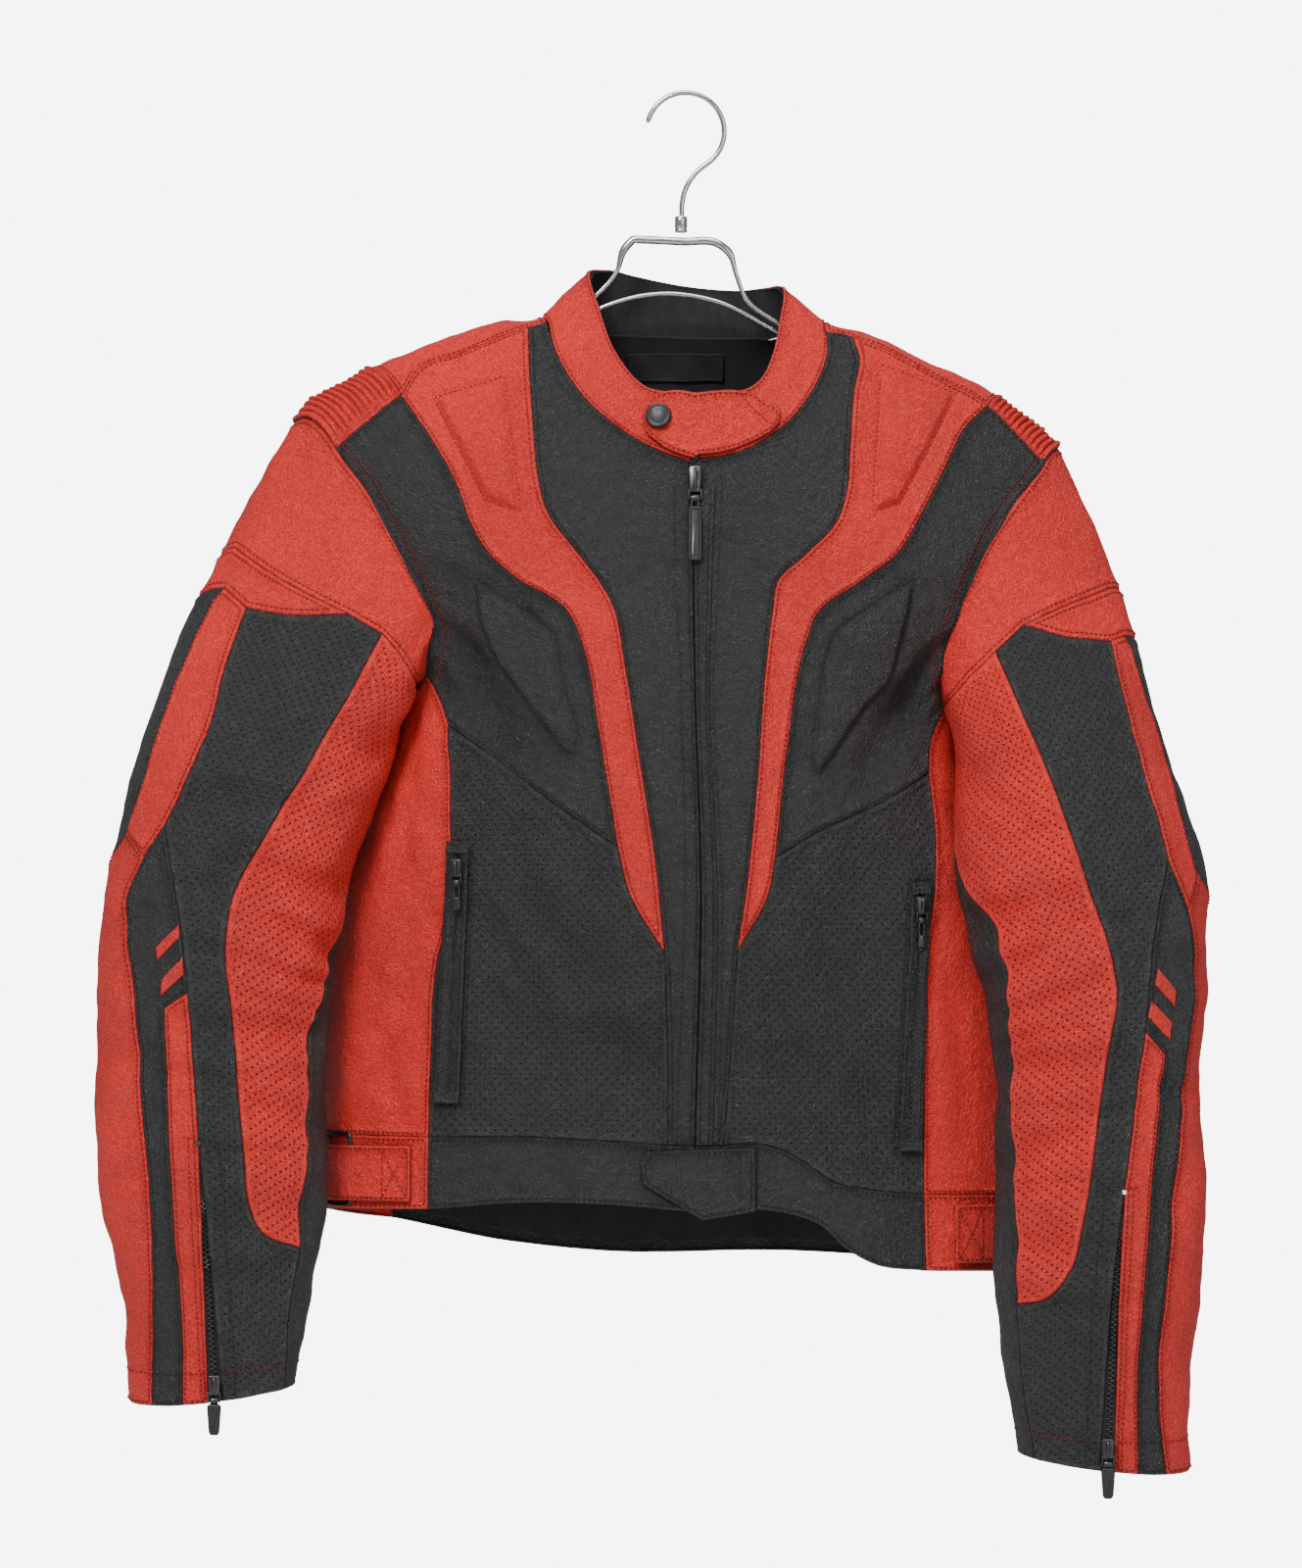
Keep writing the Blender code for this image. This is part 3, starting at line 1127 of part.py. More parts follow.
def box(name, size, centre):
    bpy.ops.mesh.primitive_cube_add(size=1)
    made = bpy.context.object
    made.name = made.data.name = name
    made.data.transform(Matrix.Translation(Vector(centre) * MM) @ Matrix.Diagonal((*(Vector(size) * MM), 1)))
    return made


def zip_slider(kind, *place):
    """A slider's body with two ears and the pin that its pull hangs from; local -Z runs down the zip."""
    _, _, width, length, _, _ = SLIDERS[kind]
    name = kind.replace(" ", "_") + "_slider"
    body = box(name, (width, SLIDER_DEPTH, length), (0, 0, PIN_DROP + length / 2))
    bevel = body.modifiers.new("Rounded edge", "BEVEL")
    bevel.width = 1.1 * MM
    bevel.segments = 2
    helpers = []
    ear_long = PIN_DROP + 1.7 + 2
    for turn in (-1, 1):
        ear_x = turn * (width - EAR_WIDTH) / 2 * 0.98
        helpers.append(box(f"{name} ear {turn}", (EAR_WIDTH, 3.2, ear_long), (ear_x, 0, ear_long / 2 - 1.7)))
    helpers.append(x_cylinder(f"{name} pin", PIN_RADIUS, width - 1))
    take(body, JACKET)
    body.matrix_world = place_matrix(*place)
    for helper in helpers:
        join_helper(body, helper, "UNION")
    body.data.materials.append(material("dark metal"))
    return body


def place_matrix(place, tilt, turn):
    turned = Matrix.Rotation(turn, 4, "Z") @ Matrix.Rotation(tilt, 4, "X")
    return Matrix.Translation(Vector(place) * MM) @ turned


def pull_outline(length, width, neck):
    """A pull seen flat: a neck down from the knuckle, and a rounded grip below the slider's ears."""
    half, corner, shoulder = width / 2, 0.3 * width, -PIN_DROP - 0.6
    right = [(neck, -1.6), (neck, shoulder + 0.8), (half, shoulder - 0.8)]
    right += [
        (half - corner + corner * math.cos(a), -length + corner - corner * math.sin(a))
        for a in np.linspace(0, math.pi / 2, 4)
    ]
    return [*right, *[(-x, z) for x, z in reversed(right)]]


def x_cylinder(name, radius, length):
    bpy.ops.mesh.primitive_cylinder_add(vertices=16, radius=radius * MM, depth=length * MM)
    made = bpy.context.object
    made.name = made.data.name = name
    made.data.transform(Matrix.Rotation(math.pi / 2, 4, "Y"))
    return made


def join_helper(body, helper, operation):
    take(helper, CUTTERS)
    helper.hide_render = True
    helper.display_type = "WIRE"
    helper.matrix_world = body.matrix_world
    change = body.modifiers.new(f"{operation.title()} {helper.name}", "BOOLEAN")
    change.operation = operation
    change.object = helper


def zip_pull(kind, skin, *place):
    """The hard pull that swings on a slider's pin, with a knuckle round the pin."""
    _, _, slider_width, _, length, width = SLIDERS[kind]
    name = kind.replace(" ", "_") + "_pull"
    long = slider_width - 2 * EAR_WIDTH - 2 * KNUCKLE_GAP
    outline = pull_outline(length, width, long / 2)
    half = PULL_THICK / 2
    corners = [(x * MM, y * MM, z * MM) for y in (-half, half) for x, z in outline]
    count = len(outline)
    faces = [tuple(range(count)), tuple(range(2 * count - 1, count - 1, -1))]
    faces += [(i, i + count, (i + 1) % count + count, (i + 1) % count) for i in range(count)]
    mesh = bpy.data.meshes.new(name)
    mesh.from_pydata(corners, [], faces)
    made = bpy.data.objects.new(name, mesh)
    JACKET.objects.link(made)
    made.matrix_world = place_matrix(*place)
    join_helper(made, x_cylinder(f"{name} knuckle", KNUCKLE_RADIUS, long), "UNION")
    join_helper(made, x_cylinder(f"{name} hole", KNUCKLE_HOLE, 2 * long), "DIFFERENCE")
    mesh.materials.append(material(skin))
    return made


def zip_hardware():
    """Five sliders with their pulls; only the front pull lies along the leather, the rest hang straight."""
    for kind, (x, top, _, length, pull, _) in SLIDERS.items():
        pin_z = top - length - PIN_DROP
        heights = np.linspace(top, pin_z - pull, 9)
        seen = np.stack([np.full(9, float(x)), heights], axis=1)
        if kind.startswith("cuff"):
            sleeve = SLEEVES[kind.split()[1]]
            seen[:, 1] = np.maximum(heights, top - length - 4)
            surface, normals = sleeve.chart.lay(sleeve.view(seen))
        else:
            surface, normals = PLAIN_CHART.lay(front_view(seen))
        surface, facing = surface[:, 1], normals[2]
        raised = WELT_LIFT if kind.startswith("pocket") else 0.0
        offset = SLIDER_LIFT + SLIDER_DEPTH / 2 + raised
        if kind == "front":
            slope = math.atan2(surface[0] - surface[-1], heights[0] - heights[-1])
            y = surface[0] - (heights[0] - pin_z) * math.tan(slope) - offset - 1.0
            place = (x, y, pin_z), -slope, 0.0
        else:
            turn = math.atan2(facing[0], -facing[1])
            place = (x, surface.min() - offset, pin_z), 0.0, turn
        zip_slider(kind, *place)
        skin = "black rubber" if kind.startswith(("cuff", "front")) else "dark metal"
        zip_pull(kind, skin, *place)
        angles = [round(math.degrees(a), 2) for a in place[1:]]
        print(kind, "pin at", [round(v * MM, 5) for v in place[0]], "tilt and turn", angles)


def wire_curve(name, points, radius, cyclic=False, swell=None):
    data = bpy.data.curves.new(name, "CURVE")
    data.dimensions = "3D"
    data.bevel_depth = radius * MM
    data.bevel_resolution = 2
    data.use_fill_caps = True
    line = data.splines.new("POLY")
    line.points.add(len(points) - 1)
    for i, (x, y, z) in enumerate(points):
        line.points[i].co = (x * MM, y * MM, z * MM, 1)
        line.points[i].radius = 1 if swell is None else swell[i]
    line.use_cyclic_u = cyclic
    made = bpy.data.objects.new(name, data)
    data.materials.append(material("silver metal"))
    JACKET.objects.link(made)
    return made


def hanger():
    """Hook, ferrule and the wire frame whose long loops lie in the shoulders."""
    arc = np.radians(np.linspace(167, -50, 22))
    hook = [(HOOK_RADIUS * math.cos(a), 0, HOOK_CENTRE_Z + HOOK_RADIUS * math.sin(a)) for a in arc]
    bend = route([(hook[-1][0], hook[-1][2]), (7, -52), (0, -63), (-2.2, -72), (-2.5, -80.6)], 6)
    hook += [(x, 0, z) for x, z in bend[1:]]
    wire_curve("hanger_hook", hook, WIRE)
    bpy.ops.mesh.primitive_cylinder_add(vertices=24, radius=4.2 * MM, depth=11 * MM)
    ferrule = bpy.context.object
    ferrule.name = ferrule.data.name = "hanger_ferrule"
    ferrule.location = (-3 * MM, 0, -86.6 * MM)
    ferrule.data.materials.append(material("silver metal"))
    take(ferrule, JACKET)
    left_top = [(-35, -96.5), (-41, -103), (-46, -118), (-60, -134), (-78, -148), (-98, -158), (-168, -175), (-198, -189)]
    left_low = [(-207, -199), (-199, -204), (-168, -196), (-98, -172), (-58, -143), (-12, -133), (20, -138), (60, -158)]
    right_low = [(120, -190), (172, -214), (196, -222), (205, -218), (199, -207)]
    right_top = [(172, -193), (120, -169), (94, -163), (78, -162), (61, -152), (41, -137), (34, -120), (29, -105), (23, -100)]
    frame = route([*left_top, *left_low, *right_low, *right_top, (-3, -98), (-35, -96.5)], 14)[:-1]
    swell = [1.7 if z > -104 else 1.7 - 0.7 * min((-104 - z) / 12, 1) for _, z in frame]
    wire_curve("hanger_frame", [(x, 0, z) for x, z in frame], 1.65, True, swell)


clear_scene()
JACKET = collection("Motorcycle jacket on a wire hanger")
CUTTERS = collection("Helpers joined to other parts")
SLEEVES.update({side: Sleeve(side) for side in ("left", "right")})
fronts()
side_panels()
rib_panels()
back_and_yoke()
belt()
pocket_welts()
lining()
collar_pieces()
sleeve_pieces("left")
sleeve_pieces("right")
zip_hardware()
hanger()
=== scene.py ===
"""Dressed model of a red and black leather motorcycle jacket that hangs on a wire hanger.

Every leather piece is laid on one of four charts, each a surface worked out from a few sections: the
torso's rings, the shoulder's ridge, each sleeve's rings and the collar's stand. A piece is the chart's
function on a fine grid, trimmed to its cut outline. Lengths are millimetres and become metres as a mesh
is made. The origin is the inside of the hook's crown, +Z is up and the jacket faces -Y. "Left" and
"right" are the viewer's.
"""

from __future__ import annotations

import logging
import math
from collections.abc import Callable
from dataclasses import dataclass, field
from enum import Enum

import bpy
import numpy as np
from mathutils.geometry import delaunay_2d_cdt
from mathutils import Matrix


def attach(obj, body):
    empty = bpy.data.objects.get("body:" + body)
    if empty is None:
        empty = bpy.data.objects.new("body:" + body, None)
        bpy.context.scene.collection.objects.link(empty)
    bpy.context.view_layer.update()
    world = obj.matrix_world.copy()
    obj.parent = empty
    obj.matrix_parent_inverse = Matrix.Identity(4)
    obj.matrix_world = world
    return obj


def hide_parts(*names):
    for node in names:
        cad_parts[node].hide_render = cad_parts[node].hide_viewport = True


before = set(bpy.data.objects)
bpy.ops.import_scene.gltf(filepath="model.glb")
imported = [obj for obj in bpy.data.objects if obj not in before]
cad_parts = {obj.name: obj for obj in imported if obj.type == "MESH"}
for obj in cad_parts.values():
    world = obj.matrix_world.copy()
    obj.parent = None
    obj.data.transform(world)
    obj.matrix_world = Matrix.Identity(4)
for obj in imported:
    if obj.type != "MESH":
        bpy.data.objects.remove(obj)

Array = np.ndarray
Socket = bpy.types.NodeSocket
LOG = logging.getLogger("jacket")
MM = 0.001
JACKET = "jacket"

AROUND = 190.0  # torso chart: millimetres for each radian round the body
ARM_AROUND = 62.0  # sleeve chart: millimetres for each radian round the arm
DEGREE = math.radians(1) * ARM_AROUND  # sleeve chart: one degree round the arm
SHOULDER_DROP = 150.0  # height over which front and back close to the ridge
SHOULDER_ARC = 175.0  # length of that quarter, measured over the cloth
CENTRE_X = 2.0  # the torso's middle
CROTCH_Z = {"left": -410.0, "right": -418.0}  # lowest point of each armhole
RIBS = {"left": 13, "right": 12}
PAD_HEIGHT = 4.5
COLLAR_HEIGHT = 40.0
FRONT_OPENING = 6.0  # between the collar's two front ends
SLEEVE_CLEARANCE = 4.0  # least distance of a sleeve from the torso's leather
CAP_BACK_END = -118.0  # degrees round the arm where the cap ends at the back
POCKET_BAR = 8.0  # length of the bar at each end of a pocket
UNDERARM_START = 62.0  # how far down the rings the sleeve starts under the arm
BELT_HEIGHT = 49.0
SIDE_SEAM_DEG = 126.0  # where the side panels end, round the body from the front
SIDE_SEAM_BENDS = (-660.0, -440.0)  # heights between which that seam is upright
WELT_LIFT = 3.4
WALL = 2.0  # the leather under the pieces that lie on others
NUDGE = 1.5  # half the distance over which a surface's slope is measured
NEAR_HEM = -720.0
SEAM_STEP = 4.0
HOLE_STEP = 9.0
HOLE_EDGE_STEPS = 16  # steps along a ribbed panel's outer edge in the armhole
COARSE_STEP = 15.0
SEAM_OVERLAP = 0.12  # how far a piece reaches under its neighbour
SHORTEST_EDGE = 0.4  # corners of an outline that are nearer to each other are one
TINY = 1e-9
SIDES = ("left", "right")
OUTWARD = {"left": -1, "right": 1}
BACK_TURNS = {"left": -1, "right": 0}  # full turns added to a place on the back, to meet that side

# Torso sections: height, half width left and right, depth of front and back
TORSO = np.array(
    [
        (-800, 246, 236, 61, 52), (-720, 246, 234, 64, 52), (-640, 246, 228, 70, 55), (-571, 240, 218, 77, 60),
        (-520, 230, 205, 82, 64), (-471, 213, 188, 85, 67), (-432, 199, 180, 86, 68), (-415, 193, 178, 86, 68),
        (-390, 191, 187, 85, 68), (-345, 222, 228, 81, 66), (-300, 250, 256, 77, 64), (-240, 282, 280, 69, 61),
        (-140, 292, 290, 62, 58),
    ],
    float,
)

# Shoulder line seen from the front: x, z
RIDGE = np.array(
    [
        (-290, -241), (-263, -219), (-255, -211), (-233, -196), (-211, -184), (-168, -165), (-98, -148), (0, -138),
        (94, -152), (120, -159), (144, -169), (172, -182), (200, -196), (220, -210), (235, -223), (250, -236),
        (275, -262),
    ],
    float,
)

# Sleeve sections: outer x, z and inner x, z seen from the front, middle y, depth to front and back
SLEEVE = {
    "left": [
        (-263, -219, -184, -410, -2, 62, 62), (-310, -304, -186, -414, -10, 64, 68),
        (-333, -350, -187, -426, -23, 63, 76), (-356, -411, -197, -454, -35, 60, 76),
        (-376, -493, -222, -519, -43, 53, 70), (-387, -536, -228, -554, -47, 50, 66),
        (-391, -592, -235, -598, -50, 47, 60), (-391, -662, -239, -663, -52, 44, 54),
        (-387, -742, -240, -742, -53, 41, 48), (-374, -802, -249, -802, -52, 37, 42),
        (-369, -870, -261, -860, -50, 32, 36),
    ],
    "right": [
        (250, -236, 178, -418, -2, 62, 62), (290, -333, 181, -422, -12, 64, 70),
        (306, -390, 182, -437, -34, 61, 78), (320, -445, 179, -471, -44, 57, 76),
        (345, -526, 181, -540, -59, 51, 70), (345, -556, 189, -571, -62, 49, 67),
        (345, -598, 198, -603, -65, 46, 62), (339, -653, 205, -653, -67, 43, 56),
        (343, -722, 204, -722, -67, 41, 50), (341, -798, 205, -793, -65, 38, 45),
        (335, -849, 211, -849, -62, 35, 40), (333, -915, 220, -904, -59, 32, 36),
    ],
}

# Collar, from the left end round the back to the right end: foot x, z, 1 behind the ridge, top x, y, z
COLLAR = np.array(
    [
        (3, -248, 0, 4, -62, -203), (-39, -229, 0, -27, -51, -197), (-69, -203, 0, -45, -38, -176),
        (-89, -166, 0, -58, -18, -142), (-98, -148, 0, -64, 3, -117), (-80, -152, 1, -54, 19, -115),
        (-50, -160, 1, -36, 29, -119), (0, -166, 1, 0, 35, -126), (50, -163, 1, 36, 30, -129),
        (80, -157, 1, 56, 20, -127), (94, -152, 0, 65, 4, -126), (94, -176, 0, 63, -18, -151),
        (84, -200, 0, 58, -36, -175), (54, -232, 0, 43, -51, -198), (9, -246, 0, 9, -62, -203),
    ],
    float,
)

# Torso seams seen from the front: x, z
SEAMS = {
    "neck left": [(3, -248), (-14, -242), (-39, -229), (-55, -217), (-69, -203), (-81, -185), (-89, -166), (-93, -151)],
    "neck right": [(9, -246), (20, -245), (36, -241), (54, -232), (71, -218), (84, -200), (94, -176), (94, -158)],
    "yoke left": [(-93, -151), (-105, -156), (-153, -174), (-179, -184), (-190, -202)],
    "yoke right": [(94, -158), (112, -162), (144, -177), (172, -191), (193, -202), (202, -209)],
    "stripe inner left": [
        (-105, -156), (-104, -188), (-101, -228), (-98, -258), (-92, -281), (-73, -307), (-57, -328), (-49, -342),
        (-40, -385), (-31, -442), (-21, -506), (-14, -573),
    ],
    "stripe inner right": [
        (112, -162), (116, -176), (112, -200), (109, -239), (107, -266), (101, -286), (78, -311), (60, -329),
        (58, -342), (53, -382), (47, -460), (42, -515), (34, -573),
    ],
    "stripe outer left": [
        (-190, -202), (-168, -234), (-153, -261), (-143, -288), (-133, -306), (-114, -324), (-78, -348), (-72, -359),
        (-68, -371), (-57, -430), (-45, -503),
    ],
    "stripe outer right": [
        (202, -209), (188, -222), (172, -252), (153, -289), (143, -306), (117, -327), (87, -349), (79, -369),
        (68, -430), (59, -510),
    ],
    "stripe tip left": [(-45, -503), (-38, -532), (-14, -573)],
    "stripe tip right": [(59, -510), (55, -532), (34, -573)],
    "armhole front left": [
        (-233, -239), (-213, -266), (-197, -295), (-183, -322), (-173, -344), (-170, -364), (-173, -390),
    ],
    "armhole front right": [(240, -248), (220, -274), (201, -304), (188, -333), (177, -364), (171, -390), (172, -410)],
    "armhole back left": [(-244, -221), (-224, -256), (-208, -292), (-198, -325), (-190, -355), (-184, -384)],
    "armhole back right": [(232, -240), (216, -270), (200, -304), (190, -336), (183, -364), (177, -392)],
    "chest left": [(-158, -422), (-122, -448), (-86, -475), (-45, -503)],
    "chest right": [(162, -454), (137, -470), (84, -495), (59, -510)],
    "side top left": [(-173, -390), (-163, -408), (-158, -422)],
    "side top right": [(172, -410), (163, -436), (162, -454)],
    "side left": [(-158, -422), (-157, -484), (-161, -564), (-164, -575), (-169, -634), (-171, -696)],
    "side right": [(162, -454), (166, -494), (163, -552), (160, -566), (158, -618), (158, -688), (158, -734)],
    "placket left": [(-14, -573), (-12, -634), (-12, -701)],
    "placket right": [(34, -573), (30, -634), (25, -701)],
    "zip": [(6, -247), (5, -315), (6, -396), (10, -543), (8, -630), (6, -701)],
    "waist left": [(-171, -696), (-91, -696), (-12, -701)],
    "waist middle left": [(-12, -701), (6, -701)],
    "waist middle right": [(6, -701), (25, -701)],
    "waist right": [(25, -701), (46, -700), (64, -704), (80, -713), (97, -725), (125, -731), (158, -734)],
    "hem left": [(-172, -744), (-109, -739), (-36, -741), (6, -745)],
    "hem right": [(6, -745), (46, -743), (68, -746), (88, -753), (107, -770), (125, -780), (160, -785)],
}
# Ribbed panels' inner and outer edges on the shoulder chart: x, distance from the ridge, front positive
RIB_EDGES = {
    "left": ([(-205, -48), (-211, 0), (-190, 69)], [(-244, -52), (-263, 0), (-233, 86)]),
    "right": ([(196, -48), (209, 0), (202, 45)], [(232, -52), (250, 0), (240, 58)]),
}
BACK_HEM = np.array(
    [(-246, -744), (-200, -753), (-121, -770), (-58, -777), (68, -777), (180, -783), (238, -786)], float
)
PADS = {
    "red left": [(-168, -204), (-121, -190), (-110, -281), (-133, -273)],
    "red right": [(131, -182), (181, -200), (142, -275), (124, -280)],
    "black left": [
        (-142, -325), (-104, -349), (-87, -362), (-82, -393), (-70, -433), (-73, -443), (-82, -441), (-122, -385),
        (-137, -354),
    ],
    "black right": [
        (151, -326), (149, -344), (140, -377), (134, -395), (118, -411), (89, -455), (83, -450), (86, -422),
        (91, -385), (98, -363), (103, -357),
    ],
}
# Sleeve seams seen from the front: x, z
SLEEVE_SEAMS = {
    "left": {
        "cap": [(-302, -303), (-281, -318), (-246, -338), (-223, -349)],
        "cap inner": [(-223, -349), (-201, -362)],
        "cap end": [(-201, -362), (-188, -378), (-177, -396)],
        "band": [(-308, -330), (-292, -344)],
        "band inner": [(-292, -344), (-264, -349), (-223, -349)],
        "black outer": [(-292, -344), (-306, -388), (-313, -419), (-326, -451), (-344, -489)],
        "elbow": [(-344, -489), (-357, -509)],
        "red inner": [
            (-201, -362), (-246, -446), (-281, -503), (-298, -536), (-303, -570), (-298, -618), (-291, -705),
            (-287, -740), (-279, -757), (-255, -768),
        ],
        "underarm": [(-249, -637), (-249, -688), (-252, -727), (-255, -768)],
        "underarm low": [(-255, -768), (-262, -809), (-266, -862)],
        "forearm inner": [(-344, -489), (-338, -526), (-333, -554), (-328, -599)],
        "strip inner": [(-328, -599), (-321, -695)],
        "zip strip": [(-321, -695), (-318, -780), (-315, -869)],
        "zip panel": [(-321, -695), (-313, -780), (-306, -867)],
        "strip top": [(-328, -599), (-344, -609)],
        "strip outer": [(-344, -609), (-343, -636), (-337, -760), (-332, -824), (-332, -872)],
        "forearm outer": [
            (-357, -509), (-370, -536), (-370, -557), (-364, -601), (-358, -679), (-352, -760), (-353, -870),
        ],
        "outer strip": [(-313, -331), (-345, -411), (-357, -452), (-370, -493)],
    },
    "right": {
        "cap": [(283, -331), (259, -340), (245, -346), (224, -356)],
        "cap inner": [(224, -356), (205, -374)],
        "cap end": [(205, -374), (187, -391), (172, -410)],
        "band": [(292, -363), (283, -366)],
        "band inner": [(283, -366), (252, -363), (224, -356)],
        "black outer": [(283, -366), (290, -405), (300, -443), (309, -476), (318, -511)],
        "elbow": [(318, -511), (331, -544)],
        "red inner": [
            (205, -374), (220, -411), (242, -465), (263, -526), (281, -583), (283, -597), (279, -627), (273, -662),
            (264, -731), (260, -753), (253, -780), (235, -801), (218, -804),
        ],
        "underarm": [(203, -560), (210, -590), (212, -618), (214, -688), (217, -760), (218, -804)],
        "underarm low": [(218, -804), (222, -850), (230, -906)],
        "forearm inner": [(318, -511), (311, -546), (306, -584), (302, -624)],
        "strip inner": [(302, -624), (288, -727)],
        "zip strip": [(288, -727), (285, -786), (282, -910)],
        "zip panel": [(288, -727), (281, -786), (273, -908)],
        "strip top": [(302, -624), (315, -639)],
        "strip outer": [(315, -639), (307, -722), (301, -798), (297, -858), (298, -912)],
        "forearm outer": [
            (331, -544), (337, -578), (336, -601), (330, -639), (325, -688), (317, -786), (311, -858), (317, -914),
        ],
        "outer strip": [(294, -362), (312, -423), (325, -470), (338, -520)],
    },
}

# Folds of the torso seen from the front: from x, z to x, z, half width, depth, bow to one side
TORSO_FOLDS = [
    (-172, -352, -118, -438, 13, 7, 0), (-150, -330, -146, -400, 12, 4, 0), (150, -400, 118, -462, 14, 5, 0),
    (168, -372, 148, -420, 12, 4, 0), (-150, -455, -120, -545, 16, 3.5, 0), (-60, -630, 0, -660, 22, 3, 0),
    (95, -560, 130, -690, 18, 5, 0), (60, -600, 88, -700, 16, 4, 0), (-168, -392, -96, -458, 6, 2.2, 5),
    (-162, -372, -128, -412, 5, 2.4, -3), (-176, -330, -160, -392, 5, 2.0, 2), (168, -395, 140, -446, 5, 2.0, 3),
    (186, -340, 170, -398, 5, 1.8, -2), (-118, -560, -96, -650, 11, 1.6, 4), (-66, -566, -40, -640, 10, 1.4, -4),
    (40, -560, 62, -640, 10, 1.6, 4), (110, -520, 128, -600, 11, 1.8, -3), (-20, -420, 2, -520, 12, 1.5, 3),
    (24, -380, 40, -500, 12, 1.5, -3), (-60, -250, -20, -330, 12, 1.6, 4), (66, -250, 30, -330, 12, 1.5, -4),
    (-180, -560, -196, -640, 9, 2.4, 3), (-206, -600, -188, -688, 8, 2.2, -3), (176, -600, 186, -700, 9, 2.4, 3),
    (180, -480, 192, -560, 7, 2.2, -2), (-182, -450, -190, -530, 8, 2.2, 2), (15, -263, 52, -256, 3.2, 1.1, 2),
    (15, -273, 60, -274, 3.4, 1.2, -2), (15, -284, 48, -281, 3.0, 1.0, 2), (15, -296, 66, -306, 3.6, 1.2, -3),
    (15, -309, 44, -314, 3.2, 0.9, 2), (15, -326, 58, -342, 4.0, 1.0, -3), (-3, -268, -30, -260, 3.4, 1.0, 2),
    (-3, -281, -42, -284, 3.6, 1.1, -2), (-3, -297, -34, -303, 3.4, 0.9, 2), (-3, -316, -40, -330, 4.0, 0.9, -2),
    (-104, -390, -84, -404, 4.0, 0.9, 2), (-98, -406, -70, -418, 4.0, 0.9, -2),
    (-112, -420, -80, -436, 4.2, 1.0, 2), (92, -430, 120, -422, 4.0, 0.9, 2),
    (88, -446, 118, -444, 4.2, 0.9, -2), (-178, -470, -150, -520, 6, 2.0, 4),
    (-186, -500, -160, -560, 6, 1.6, -3), (-128, -330, -100, -352, 5, 1.1, 2), (120, -330, 96, -352, 5, 1.1, -2),
    (-214, -260, -176, -330, 7, 1.6, 4), (214, -270, 186, -336, 7, 1.6, -4), (-60, -520, -96, -600, 8, 1.4, 5),
    (-130, -600, -80, -640, 9, 1.8, -4), (70, -520, 104, -590, 8, 1.4, -5), (48, -640, 120, -668, 10, 2.0, 4),
    (-196, -640, -226, -690, 7, 2.0, 3), (206, -560, 222, -660, 7, 1.8, -3), (212, -660, 230, -760, 7, 1.8, 3),
    (-112, -492, -72, -590, 10, 3.2, -4), (-60, -628, -30, -648, 12, 2.5, 0), (-140, -540, -96, -620, 9, 2.0, 4),
]
# Folds of the collar where the tab is sewn on: distance round, height, then the same columns
COLLAR_FOLDS = [
    (-22, 36, -34, 4, 4.5, 1.6, 2), (-32, 35, -44, 6, 4.0, 1.8, -2), (-42, 34, -56, 8, 3.6, 1.6, 2),
    (-58, 34, -70, 14, 4.0, 1.0, -2), (60, 34, 74, 6, 6.0, 0.9, 2), (100, 36, 112, 8, 7.0, 1.0, -2),
]
# Folds of the back seen from the front, through the jacket: the same columns
BACK_FOLDS = [
    (-150, -260, -60, -360, 18, 4, 6), (150, -260, 60, -360, 18, 4, -6), (-150, -380, -70, -470, 15, 3.5, 5),
    (150, -390, 70, -480, 15, 3.5, -5), (-110, -600, 100, -612, 18, 3, 8), (-60, -672, 130, -664, 15, 2.6, -7),
    (-20, -240, -30, -420, 20, 2.0, 6), (-170, -540, -120, -690, 14, 2.6, 5),
    (168, -560, 120, -700, 14, 2.6, -5),
]
# Folds of the sleeves: degrees round, distance down, then the same again, half width, depth, bow
SLEEVE_FOLDS = [
    (150, 70, 100, 110, 13, 4, 0), (165, 185, 95, 205, 12, 5, 0), (170, 235, 110, 225, 11, 4, 0),
    (160, 300, 85, 318, 12, 4, 0), (170, 372, 100, 360, 12, 3.5, 0), (150, 430, 90, 446, 12, 3, 0),
    (215, 120, 270, 150, 14, 5, 0), (220, 240, 280, 232, 13, 6, 0), (215, 300, 275, 312, 13, 5, 0),
    (230, 400, 290, 392, 13, 4, 0), (158, 206, 70, 228, 5, 1.9, 4), (166, 258, 84, 262, 5, 2.0, -4),
    (168, 284, 98, 292, 4, 1.7, 3), (150, 330, 64, 352, 5, 1.7, -4), (160, 392, 80, 404, 5, 1.6, 4),
    (140, 470, 70, 482, 6, 1.6, -4), (120, 150, 60, 176, 9, 1.8, 5), (60, 250, 18, 276, 8, 2.0, 3),
    (66, 336, 20, 344, 7, 1.8, -3), (52, 420, 10, 436, 8, 1.8, 3), (-20, 262, -80, 290, 10, 3.0, 4),
    (-16, 330, -86, 340, 10, 2.6, -4), (-20, 440, -90, 452, 10, 2.4, 4), (140, 96, 112, 150, 6, 2.0, 4),
]


